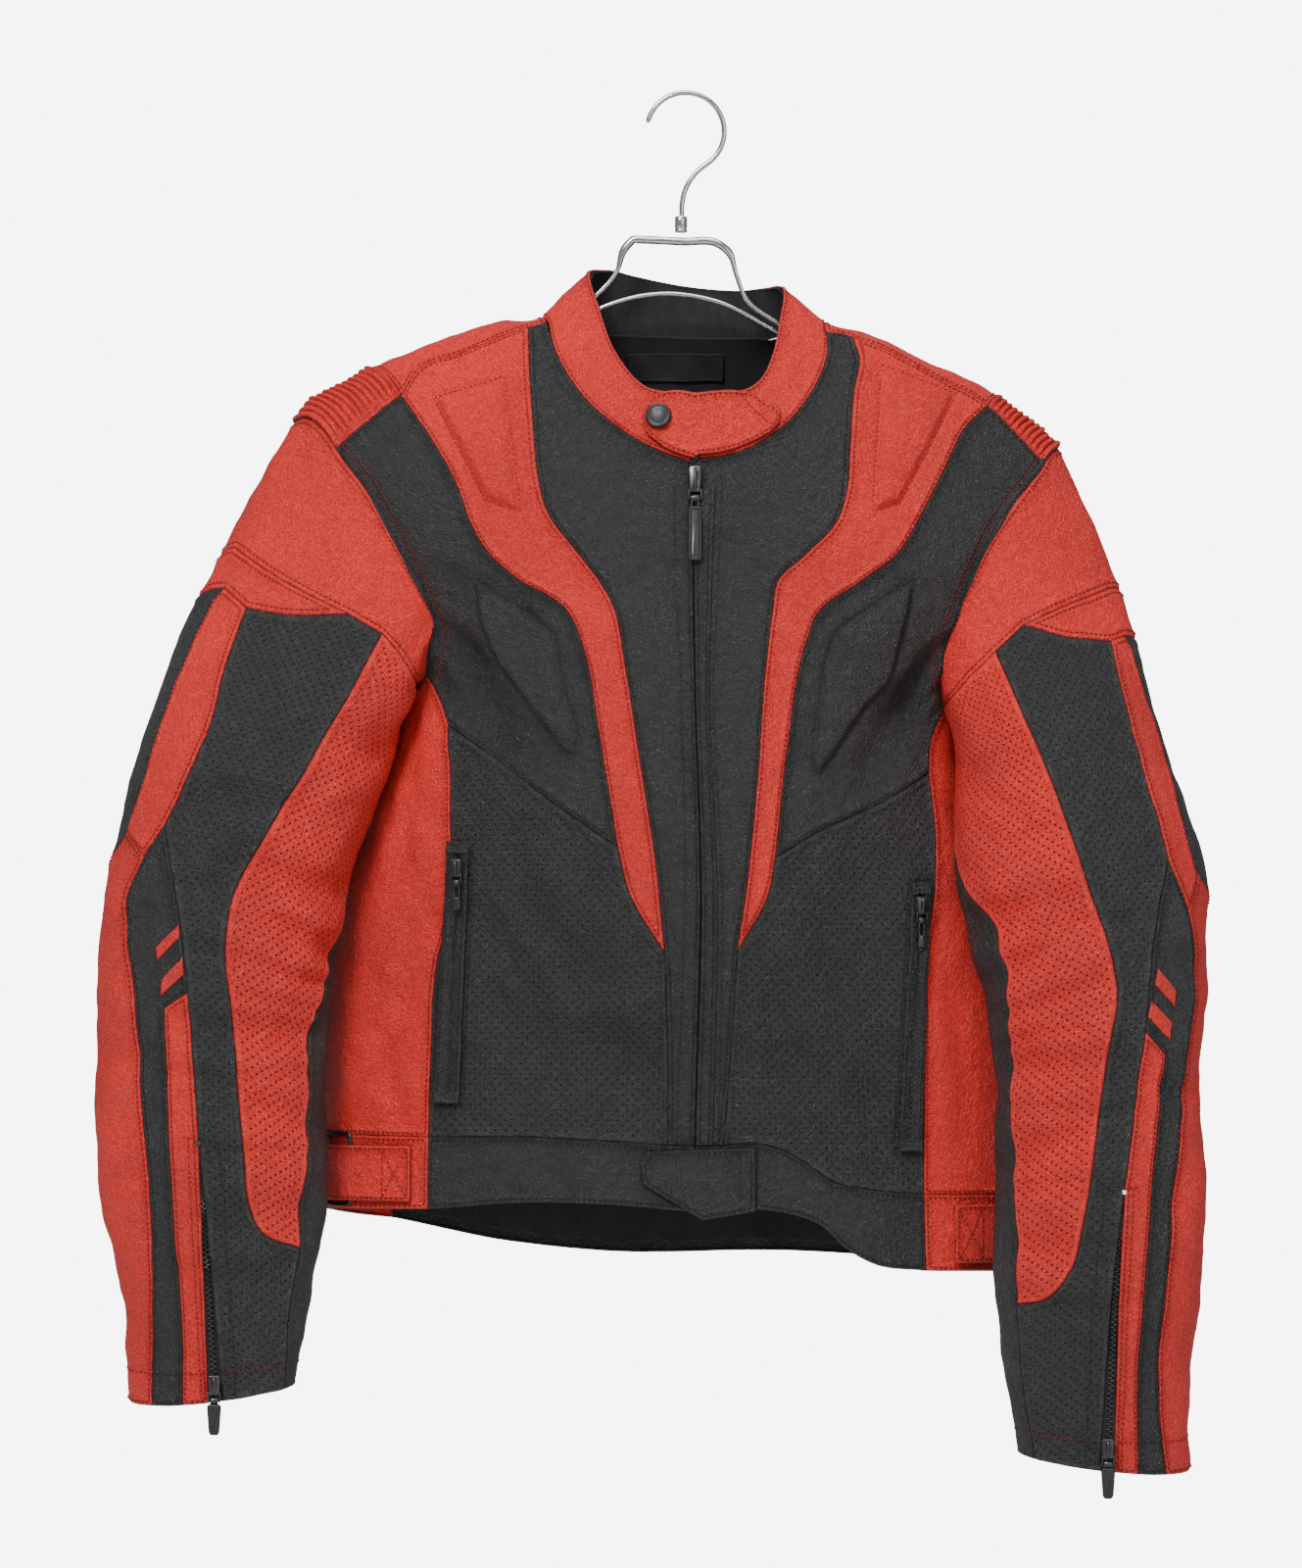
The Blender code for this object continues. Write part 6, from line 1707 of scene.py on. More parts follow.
@dataclass
class Fronts:
    """The pieces of one front: centre, striped chest, black chest, perforated lower front and pocket welt."""

    side: str
    meet: float = 0.3
    flap_top: float = -262.0
    flap_width: float = 9.4
    groove_end: float = 0.03
    welts: dict = field(
        default_factory=lambda: {
            "left": [(-157.5, -500), (-143, -500), (-150, -673), (-167, -673)],
            "right": [(149, -527), (161.5, -527), (156, -705), (141, -705)],
        }
    )

    def panels(self) -> dict[str, Panel]:
        """Lays out every piece from its seams.

        Returns:
            The pieces by name.
        """
        side, left = self.side, self.side == "left"
        zip_line = seam("zip") + (self.meet * OUTWARD[side], 0)
        tip, placket = seam(f"stripe tip {side}"), seam(f"placket {side}")
        stripe_in, stripe_out = seam(f"stripe inner {side}"), seam(f"stripe outer {side}")
        neck, middle, waist = (seam(f"{name} {side}") for name in ("neck", "waist middle", "waist"))
        middle, waist = (line[::-1] if left else line for line in (middle, waist))
        neck[0], middle[0] = zip_line[0], zip_line[-1]
        yoke_in, yoke_out = split(seam(f"yoke {side}"), stripe_in[0])
        low_side = seam(f"side {side}")
        hole, top, chest = (seam(f"{name} {side}") for name in ("armhole front", "side top", "chest"))
        ribs = over_ridge(rib_end(side, -1))
        centre = loop(zip_line, middle, placket[::-1], stripe_in[::-1], yoke_in[::-1], neck[::-1])
        stripe = loop(yoke_out, stripe_out, tip, stripe_in[::-1])
        cuts = {
            "front_centre": (centre, Finish.BLACK, ""),
            "chest_red": (stripe, Finish.RED, f"red {side}"),
            "chest_black": (loop(ribs, hole, top, chest, stripe_out[::-1]), Finish.BLACK, f"black {side}"),
            "front_lower": (loop(chest, tip, placket, waist, low_side[::-1]), Finish.BLACK_PIERCED, ""),
        }
        made = [Panel(f"{name}_{side}", TORSO_CHART, *cut) for name, cut in cuts.items()] + self.pocket()
        return by_name(made if left else [*made, self.flap(zip_line)])

    def pocket(self) -> list[Panel]:
        """The welt with the zip's groove down its middle, and the bars across its ends.

        Returns:
            The three pieces.
        """
        corners, end = self.welts[self.side], self.groove_end
        a, b, c, d = np.array(corners, float)
        top, low = (a + b) / 2, (c + d) / 2
        groove = front_view(route([top * (1 - end) + low * end, top * end + low * (1 - end)]))
        edges = [front_view(route(pair)) for pair in zip(corners, corners[1:] + corners[:1])]
        welt = Panel(
            f"pocket_welt_{self.side}", PLAIN_CHART, loop(*edges), Finish.BLACK, lift=WELT_LIFT, thick=1.6, step=2.6,
            groove=groove,
        )
        made = [welt]
        for at, (p1, p2, p3, p4) in {"top": (a, b, c, d), "bottom": (c, d, a, b)}.items():
            share = POCKET_BAR / float(np.linalg.norm(p3 - p2))
            bar = front_view(polygon([p1, p2, p2 + share * (p3 - p2), p1 + share * (p4 - p1)], 2))
            made.append(
                Panel(
                    f"pocket_bar_{at}_{self.side}", PLAIN_CHART, bar, Finish.BLACK, lift=WELT_LIFT + 0.8, thick=1.0,
                    step=2.2, roll=0.7, solid=False, carrier=welt.name,
                )
            )
        return made

    def flap(self, zip_line: Array) -> Panel:
        """The raised strip that covers the zip, folded at the zip's line and sewn along its other edge.

        Args:
            zip_line: The line where the two fronts meet.

        Returns:
            The piece.
        """
        line = zip_line[zip_line[:, 1] < self.flap_top]
        over = line + (self.flap_width, 0)
        outline = loop(line, straight([line[-1], over[-1]]), over[::-1], straight([over[0], line[0]]))
        return Panel(
            "placket_flap", TORSO_CHART, outline, Finish.BLACK, lift=1.0, thick=0.9, step=2.6, solid=False,
            carrier="front_centre_right",
        )


class Back:
    """The one-piece back, the yoke over the shoulders, the side panels and the lining seen inside."""

    neckline = ((-110, -88), (0, -100), (110, -88))
    label = ((-39, -168), (26, -168), (26, -187), (-39, -187))
    lining_shoulder = ((90, -166), (50, -157), (0, -158), (-50, -156), (-88, -164))
    lining_right = ((150, -232), (165, -300), (160, -380))
    lining_left = ((-160, -380), (-165, -300), (-150, -232))
    lining_ends = (178.0, -184.0)
    lining_bend = -470.0

    def panels(self) -> dict[str, Panel]:
        """Lays out every piece from its seams.

        Returns:
            The pieces by name.
        """
        neck_back = neck_over()
        left_in, right_in = rib_edge("left", "inner"), rib_edge("right", "inner")
        across = route([left_in[0], *self.neckline, right_in[0]])
        neck_back = straight(neck_back)
        yoke = loop(
            shoulder_view(route(SEAMS["yoke left"])), left_in[::-1], across, right_in,
            shoulder_view(route(SEAMS["yoke right"]))[::-1], neck_back[::-1],
        )
        hole_right, hole_left = (back_view(route(SEAMS[f"armhole back {side}"])) for side in ("right", "left"))
        low_right, low_left = side_low("right"), side_low("left") + FULL_TURN
        low_x = [PLAIN_CHART.base(p[None])[0, 0] for p in (low_right, low_left)]
        waist = back_line(BELT_HEIGHT, *low_x)
        waist[0], waist[-1] = low_right, low_left
        right, left = side_bends("right")[::-1], side_bends("left", FULL_TURN[0])
        back = loop(
            over_ridge(across), over_ridge(rib_end("right", 0)), hole_right,
            straight([hole_right[-1], *right, low_right]), waist,
            straight([low_left, *left, hole_left[-1]]), hole_left[::-1], over_ridge(rib_end("left", 0))[::-1],
        )
        sides = [Panel(f"side_panel_{side}", TORSO_CHART, self.side_outline(side), Finish.RED) for side in SIDES]
        label = Panel(
            "label_patch", TORSO_CHART, back_view(polygon(self.label)), Finish.TAPE, lift=-WALL - 5.6, step=3,
            thick=0.6, roll=0.2, solid=False, carrier="back_lining",
        )
        yoke = Panel("yoke", SHOULDER_CHART, yoke, Finish.RED)
        back = Panel("back_panel", TORSO_CHART, back, Finish.BLACK, step=5.2)
        return by_name([label, yoke, back, self.lining(), *sides])

    def side_outline(self, side: str) -> Array:
        """A side panel: front seam, waist, side seam and the armhole's lowest stretch.

        Args:
            side: Left or right.

        Returns:
            Its outline.
        """
        top, down = seam(f"side top {side}"), seam(f"side {side}")
        low_back, back_top = side_low(side), armhole_under(side)[-1]
        waist = round_side(side, down[-1], low_back, WAIST_LEVEL)
        back = straight([low_back, *side_bends(side), back_top])
        return loop(top, down, waist, back, armhole_under(side)[::-1])

    def lining(self) -> Panel:
        """The black lining inside the back, where the open neck and the hem show it.

        Returns:
            The piece.
        """
        side = AROUND * math.radians(SIDE_SEAM_DEG + 5)
        shoulder, right, left = map(back_view, (self.lining_shoulder, self.lining_right, self.lining_left))
        low, bend = back_line(8, *self.lining_ends), self.lining_bend
        left_bend, right_bend = [(FULL_TURN[0] - side, bend)], [(side, bend)]
        outline = np.concatenate([shoulder, left[::-1], left_bend, low[::-1], right_bend, right[::-1]])
        return Panel(
            "back_lining", TORSO_CHART, polygon(outline, 8), Finish.LINING, lift=-WALL - 3.6, step=8, thick=1.0, roll=0
        )


@dataclass
class Belt:
    """The belt at the hem: black front and back, red ends, snap tab and adjuster straps."""

    tab_lift: float = WALL + 1.6
    strap_lift: float = WALL + 1.4
    strap_far_deg: float = 80.0
    meet: float = 0.3
    tab: tuple = ((-29, -726), (-30, -712), (-25, -705), (10, -703), (46, -702), (46, -744), (29, -747), (11, -750))
    straps: dict = field(default_factory=lambda: {"left": (-183, -702, -739), "right": (178, -741, -780)})

    def panels(self) -> dict[str, Panel]:
        """Lays out every piece of the belt.

        Returns:
            The pieces by name.
        """
        made = []
        for side in SIDES:
            left, shift = side == "left", self.meet * OUTWARD[side]
            waist, middle, hem = (seam(f"{name} {side}") for name in ("waist", "waist middle", "hem"))
            first, last = (waist, middle) if left else (middle, waist)
            upper = np.concatenate([loop(first, last), last[-1:]])
            upper, lower = (upper, hem[::-1].copy()) if left else (upper[::-1].copy(), hem.copy())
            upper[-1, 0] += shift
            lower[0, 0] += shift
            outer = straight([lower[-1], upper[0]])
            front = loop(upper, straight([upper[-1], lower[0]]), lower, outer)
            low_back, hem_back = side_low(side), side_low(side, 0.0)
            round_top = round_side(side, upper[0], low_back, WAIST_LEVEL)
            round_low = round_side(side, lower[-1], hem_back, HEM_LEVEL)
            end = loop(round_top, straight([low_back, hem_back]), round_low[::-1], outer)
            near, top_z, low_z = self.straps[side]
            start = front_view([(near, top_z)])[0, 0]
            far = AROUND * math.radians(self.strap_far_deg) * OUTWARD[side]
            strap = polygon([(start, top_z), (far, top_z), (far, low_z), (start, low_z)])
            made += [
                Panel(f"belt_front_{side}", TORSO_CHART, front, Finish.BLACK),
                Panel(f"belt_end_{side}", TORSO_CHART, end, Finish.RED),
                Panel(f"strap_{side}", TORSO_CHART, strap, Finish.RED, lift=self.strap_lift, step=3.2),
            ]
        xs = [PLAIN_CHART.base(p[None])[0, 0] for p in (side_low("right"), side_low("left") + FULL_TURN)]
        top, bottom = back_line(BELT_HEIGHT, *xs), back_line(0, *xs)
        back = loop(top, straight([top[-1], bottom[-1]]), bottom[::-1], straight([bottom[0], top[0]]))
        tab = front_view(polygon(self.tab))
        made += [
            Panel("belt_back", TORSO_CHART, back, Finish.BLACK, step=4.4),
            Panel("belt_tab", TORSO_CHART, tab, Finish.BLACK, lift=self.tab_lift, thick=2.2, step=3.2),
        ]
        return by_name(made)


@dataclass
class CollarSet:
    """The stand collar, its lining and the fastening tab."""

    chart: CollarChart
    foot_points: int = 150
    tab: tuple = (
        (38, 16), (39, 26), (34, 35), (24, 39), (-8, 40.5), (-40, 39), (-50, 36), (-60, 24), (-70, 10), (-66, 4.5),
        (-40, 2.6), (-8, 2), (24, 4), (34, 8),
    )

    def panels(self) -> dict[str, Panel]:
        """Lays out the collar's pieces.

        Returns:
            The pieces by name.
        """
        foot = np.linspace((0, 0), (self.chart.length, 0), self.foot_points)
        top = foot + (0, COLLAR_HEIGHT)
        outline = loop(foot, straight([foot[-1], top[-1]]), top[::-1], straight([top[0], foot[0]]))
        tab, inside = route([*self.tab, self.tab[0]], 3)[:-1], -WALL - 0.5
        return by_name(
            [
                Panel("collar", self.chart, outline, Finish.RED, thick=1.8),
                Panel("collar_lining", self.chart, outline, Finish.LINING, lift=inside, thick=0.9, roll=0.3),
                Panel("collar_tab", self.chart, tab, Finish.RED, lift=WALL + 1.2, thick=1.8, step=3.0),
            ]
        )


# Red slashes set into the black forearm, seen from the front: corners x, z
SLASHES = {
    "left": [
        [(-349, -569), (-333.5, -554), (-332.8, -562.3), (-348.4, -578)],
        [(-345.8, -590.2), (-330.9, -575.3), (-330.2, -587), (-346.5, -601.3)],
    ],
    "right": [
        [(310.1, -582.4), (322.4, -597.4), (321.8, -608.4), (307.5, -592.8)],
        [(305.5, -603.9), (319.2, -618.2), (317.9, -629.9), (302.9, -614.3)],
    ],
}


@dataclass
class SleeveSet:
    """The nine leather pieces of one sleeve, and its two slashes."""

    chart: SleeveChart
    hem_width: float = 20.5

    def panels(self) -> dict[str, Panel]:
        """Lays out every piece from the sleeve's seams.

        Returns:
            The pieces by name.
        """
        chart, s, side = self.chart, self.chart.seam, self.chart.side
        turn = (360 * DEGREE, 0)
        cap, cap_inner, cap_end, band = s("cap"), s("cap inner"), s("cap end"), s("band")
        away = np.linalg.norm(chart.hole[:, [0, 2]] - SLEEVE_SEAMS[side]["cap end"][-1], axis=1)
        merge = math.degrees(chart.turns[np.argmin(np.where(chart.hole[:, 1] < 0, away, np.inf))])
        cap_end[-1] = (merge * DEGREE, 0)
        cap_back = route([(CAP_BACK_END * DEGREE, 0), (-120 * DEGREE, 34), (-60 * DEGREE, 62), cap[0]])
        top = chart.hole_between(CAP_BACK_END, merge)
        caps = np.concatenate([cap_back[:-1], loop(cap, cap_inner, cap_end), top[:0:-1]])
        before, after = split(cap_back, (-60 * DEGREE, 62))
        start = after[0]
        band_low = straight([start, (start[0] + 2, start[1] + 24), band[0]])
        strip = s("outer strip")
        strip = np.concatenate([band[:1], strip[2:]])
        elbow, elbow_out = s("elbow"), strip[-1]
        elbow_end = straight([elbow[-1], elbow_out])
        zip_edge, under_low = s("zip panel"), s("underarm low")
        low = chart.cuff(under_low[-1, 0], zip_edge[-1, 0])
        zip_edge[-1], under_low[-1] = low[-1], low[0]
        crease = self.under_line(s("underarm")[0])
        hole = chart.hole_between(merge, math.degrees(crease[0, 0] / ARM_AROUND))
        zip_strip, strip_outer, forearm_outer = s("zip strip"), s("strip outer"), s("forearm outer")
        strip_low = chart.cuff(zip_strip[-1, 0], strip_outer[-1, 0])
        zip_strip[-1], strip_outer[-1] = strip_low[0], strip_low[-1]
        outer_low = chart.cuff(strip_low[-1, 0], forearm_outer[-1, 0])
        forearm_outer[-1] = outer_low[-1]
        edge, out = -48 * DEGREE, elbow_out
        red_low = chart.cuff(outer_low[-1, 0], edge)
        down = route([out, (-30 * DEGREE, out[1] + 50), (edge, out[1] + 130), (edge, chart.length)])
        back_low = chart.cuff(edge + turn[0], low[0, 0])
        back_hole = chart.hole_between(math.degrees(crease[0, 0] / ARM_AROUND), 360 + CAP_BACK_END)
        cuts = {
            "cap": (caps, Finish.RED),
            "band": (loop(after, cap, s("band inner")[::-1], band[::-1], band_low[::-1]), Finish.RED),
            "outer_upper": (loop(band, s("black outer"), elbow, elbow_end, strip[::-1]), Finish.RED),
            "front": (
                loop(
                    s("band inner"), s("cap inner"), s("red inner"), under_low, low, zip_edge[::-1],
                    s("strip inner")[::-1], s("forearm inner")[::-1], s("black outer")[::-1],
                ),
                Finish.BLACK_PIERCED,
            ),
            "inner": (loop(cap_end, hole, crease, s("underarm"), s("red inner")[::-1]), Finish.RED_PIERCED),
            "strip": (
                loop(s("strip inner"), zip_strip, strip_low, strip_outer[::-1], s("strip top")[::-1]),
                Finish.RED,
            ),
            "forearm": (
                loop(elbow[::-1], s("forearm inner"), s("strip top"), strip_outer, outer_low, forearm_outer[::-1]),
                Finish.BLACK,
            ),
            "outer_lower": (loop(elbow_end[::-1], forearm_outer, red_low, down[::-1]), Finish.RED),
            "back": (
                loop(
                    back_hole, before + turn, band_low + turn, strip + turn, down + turn, back_low,
                    under_low[::-1], s("underarm")[::-1], crease[::-1],
                ),
                Finish.BLACK,
            ),
        }
        steps = {"back": {"step": 5.0}}
        made = [
            Panel(f"sleeve_{name}_{side}", chart, outline, finish, **steps.get(name, {}))
            for name, (outline, finish) in cuts.items()
        ]
        self.zip_lines = [zip_strip, zip_edge]
        hem_ends = {
            "front": (low[0, 0], low[-1, 0]), "strip": (strip_low[0, 0], strip_low[-1, 0]),
            "forearm": (strip_low[-1, 0], outer_low[-1, 0]), "outer_lower": (outer_low[-1, 0], edge),
            "back": (edge + turn[0], low[0, 0]),
        }
        self.hem = [
            (f"sleeve_{name}_{side}", chart.cuff(*ends) - (0, self.hem_width)) for name, ends in hem_ends.items()
        ]
        return by_name(made + self.slashes())

    def slashes(self) -> list[Panel]:
        """The red slashes on the forearm."""
        return [
            Panel(
                f"slash_{self.chart.side}_{count}", self.chart, self.chart.view(polygon(corners, 2.5)), Finish.RED,
                lift=0.9, thick=1.0, step=2.4, roll=0.8, solid=False, carrier=f"sleeve_forearm_{self.chart.side}",
            )
            for count, corners in enumerate(SLASHES[self.chart.side], start=1)
        ]

    def under_line(self, low_end: Array) -> Array:
        """The underarm seam from the armhole to where its black strip comes forward.

        Args:
            low_end: Chart place of its lower end.

        Returns:
            Points along it.
        """
        under = self.chart.turns[np.argmin(np.abs(self.chart.turns - math.pi))]
        return route([(under * ARM_AROUND, 0), (math.radians(184) * ARM_AROUND, 0.5 * low_end[1]), low_end])


RIB_SEEDS = {"left": 5, "right": 6}


@dataclass
class RibPanel:
    """A stretch panel over one shoulder point, pleated into round ribs."""

    side: str
    around: int = 12
    rows: int = 60
    height: float = 2.8
    foot: float = 0.5
    roundness: float = 2.4
    pinched: float = 0.09
    thick: float = 1.2
    length: float = 110.0
    width: float = 45.0

    def make(self, wardrobe: Wardrobe) -> bpy.types.Object:
        """Builds the panel on the shoulder chart, its ribs (1 - |2f - 1|^2.4) high and pinched at both ends.

        Args:
            wardrobe: The materials.

        Returns:
            The panel.
        """
        inner, outer = (rib_edge(self.side, which, self.rows) for which in ("inner", "outer"))
        ribs = RIBS[self.side]
        across, along = np.linspace(0, 1, ribs * self.around + 1), np.linspace(0, 1, self.rows + 1)
        flat = inner + across[:, None, None] * (outer - inner)
        rib = across * ribs
        own = np.minimum(rib.astype(int), ribs - 1)
        draw = np.random.default_rng(RIB_SEEDS[self.side])
        tall = draw.uniform(0.82, 1.15, ribs)[own]
        profile = (1 - np.abs(2 * (rib % 1) - 1) ** self.roundness) * tall
        profile[-1] = 0
        pinch = smoothstep(np.minimum(along, 1 - along) / self.pinched)
        wave = 1 + 0.12 * np.sin(9 * along + 5 * draw.uniform(0, 1, ribs)[own][:, None])
        height = self.foot + self.height * profile[:, None] * pinch * wave - 0.9 * (1 - pinch)
        points, normals = SHOULDER_CHART.lay(flat.reshape(-1, 2), height.ravel())
        points = points + normals * unevenness(points)[:, None]
        shape = (len(across), len(along))
        made = mesh_object(f"leather_rib_panel_{self.side}", points, over_grid(points, normals, shape))
        from_ends, from_sides = (np.minimum(s, 1 - s) for s in (along[None], across[:, None]))
        mark_seams(made, np.minimum(from_ends * self.length, from_sides * self.width).ravel())
        thicken(made, self.thick)
        wardrobe.put_on(made, Finish.RED, solid=f"rib_panel_{self.side}")
        return made


def tube(path: Array, radius: Array | float, sides: int = 12, closed: bool = False) -> tuple[Array, list]:
    """A round tube along a path, by rings at right angles to it that turn as little as they can.

    Args:
        path: The middle line's points.
        radius: One radius, or one for each point.
        sides: Corners in each ring.
        closed: Whether the end joins the start; otherwise both ends are capped.

    Returns:
        The corners and the faces.
    """
    path = np.asarray(path, float)
    count = len(path)
    ahead = np.roll(path, -1, axis=0) - np.roll(path, 1, axis=0)
    if not closed:
        ahead[0], ahead[-1] = path[1] - path[0], path[-1] - path[-2]
    ahead = unit(ahead)
    _, _, axes = np.linalg.svd(path - path.mean(axis=0), full_matrices=True)
    across = unit(np.cross(ahead, np.cross(axes[2], ahead)))
    third = np.cross(ahead, across)
    angles = np.linspace(0, 2 * math.pi, sides, endpoint=False)
    ring = np.cos(angles)[None, :, None] * across[:, None] + np.sin(angles)[None, :, None] * third[:, None]
    points = path[:, None] + ring * np.reshape(np.broadcast_to(radius, count), (-1, 1, 1))
    index = np.arange(count * sides).reshape(count, sides)
    faces = between_rings(np.concatenate([index, index[:1]]) if closed else index).tolist()
    if not closed:
        faces += [index[0][::-1].tolist(), index[-1].tolist()]
    return points.reshape(-1, 3), faces


def lathe(profile: Array, sides: int = 40) -> tuple[Array, list]:
    """A profile of radius and height turned about +Z, closed at both poles.

    Args:
        profile: Radius and height from the lower pole to the upper one.
        sides: Corners in each ring.

    Returns:
        The corners and the faces.
    """
    rings = np.asarray(profile, float)[1:-1]
    angles = np.linspace(0, 2 * math.pi, sides, endpoint=False)
    circle = np.stack([np.cos(angles), np.sin(angles)], axis=1)
    points = np.concatenate([np.concatenate([r * circle, np.full((sides, 1), z)], axis=1) for r, z in rings])
    points = np.concatenate([points, [(0, 0, profile[0][1]), (0, 0, profile[-1][1])]])
    index = np.arange(len(rings) * sides).reshape(len(rings), sides)
    low, high = len(points) - 2, len(points) - 1
    caps = [[low, b, a] for a, b in zip(index[0], np.roll(index[0], -1))]
    caps += [[high, a, b] for a, b in zip(index[-1], np.roll(index[-1], -1))]
    return points, between_rings(index).tolist() + np.array(caps).tolist()


@dataclass
class Hanger:
    """The wire hanger: hook, ferrule and bent frame."""

    wire: float = 1.8
    hook_radius: float = 26.0
    hook_turn: tuple = (167.0, -50.0)
    hook_points: int = 80
    hook_end: tuple = (0.55, 0.85, 0.97, 1.0)
    neck: tuple = ((7, -52), (0, -63), (-2.2, -72), (-2.5, -80.6))
    frame_wire: float = 1.65
    twist: float = 0.7
    twist_top: float = -104.0
    twist_length: float = 12.0
    frame_line: tuple = (
        (-35, -96.5), (-41, -103), (-46, -118), (-60, -134), (-78, -148), (-98, -158), (-168, -175), (-198, -189),
        (-207, -199), (-199, -204), (-168, -196), (-98, -172), (-58, -143), (-12, -133), (20, -138), (60, -158),
        (120, -190), (172, -214), (196, -222), (205, -218), (199, -207), (172, -193), (120, -169), (94, -163),
        (78, -162), (61, -152), (41, -137), (34, -120), (29, -105), (23, -100), (-3, -98),
    )
    ferrule_place: tuple = (-3, 0, -86.6)
    ferrule: tuple = (
        (0, -5.5), (3.4, -5.5), (4.2, -4.7), (4.2, -3.4), (3.8, -3.0), (4.2, -2.6), (4.2, 4.5), (3.6, 5.5), (0, 5.5),
    )

    def hook_path(self) -> Array:
        """The hook's arc and its bend down to the ferrule.

        Returns:
            Points along it in space.
        """
        arc = np.radians(np.linspace(*self.hook_turn, self.hook_points))
        centre = -(self.hook_radius - self.wire)
        round_part = np.stack([self.hook_radius * np.cos(arc), centre + self.hook_radius * np.sin(arc)], axis=1)
        bend = route([round_part[-1], *self.neck], 2)
        return np.insert(np.concatenate([round_part, bend[1:]]), 1, 0.0, axis=1)

    def build(self, wardrobe: Wardrobe) -> None:
        """Makes the three parts.

        Args:
            wardrobe: The materials.
        """
        hook = self.hook_path()
        ends = np.minimum(np.arange(len(hook)), len(self.hook_end) - 1)
        self.finish("hanger_hook", tube(hook, self.wire * np.array(self.hook_end)[ends], 20), wardrobe)
        seen = route([*self.frame_line, self.frame_line[0]], 3)[:-1]
        swell = 1 + self.twist - self.twist * np.clip((self.twist_top - seen[:, 1]) / self.twist_length, 0, 1)
        path = np.insert(seen, 1, 0.0, axis=1)
        self.finish("hanger_frame", tube(path, self.frame_wire * swell, 14, True), wardrobe)
        points, faces = lathe(self.ferrule)
        self.finish("hanger_ferrule", (points + self.ferrule_place, faces), wardrobe)

    def finish(self, name: str, part: tuple[Array, list], wardrobe: Wardrobe) -> None:
        """Makes one part of bright wire in the place of its solid.

        Args:
            name: The solid's name.
            part: Corners and faces.
            wardrobe: The materials.
        """
        made = mesh_object(f"wire_{name}", *part)
        wardrobe.put_on(made, Finish.SILVER, solid=name)
        LOG.info("%s: %d faces", name, len(part[1]))


def evenly(points: Array, pitch: float, *with_them: Array) -> list[Array]:
    """Places along a line at equal steps.

    Args:
        points: The line in space.
        pitch: About how far apart the places are.
        with_them: Other rows of numbers that go with the line's points.

    Returns:
        The places, and the other rows there.
    """
    along = run_of(points)
    at = np.linspace(0, along[-1], max(2, round(along[-1] / pitch) + 1))
    return [np.stack([np.interp(at, along, column) for column in rows.T], axis=1) for rows in (points, *with_them)]


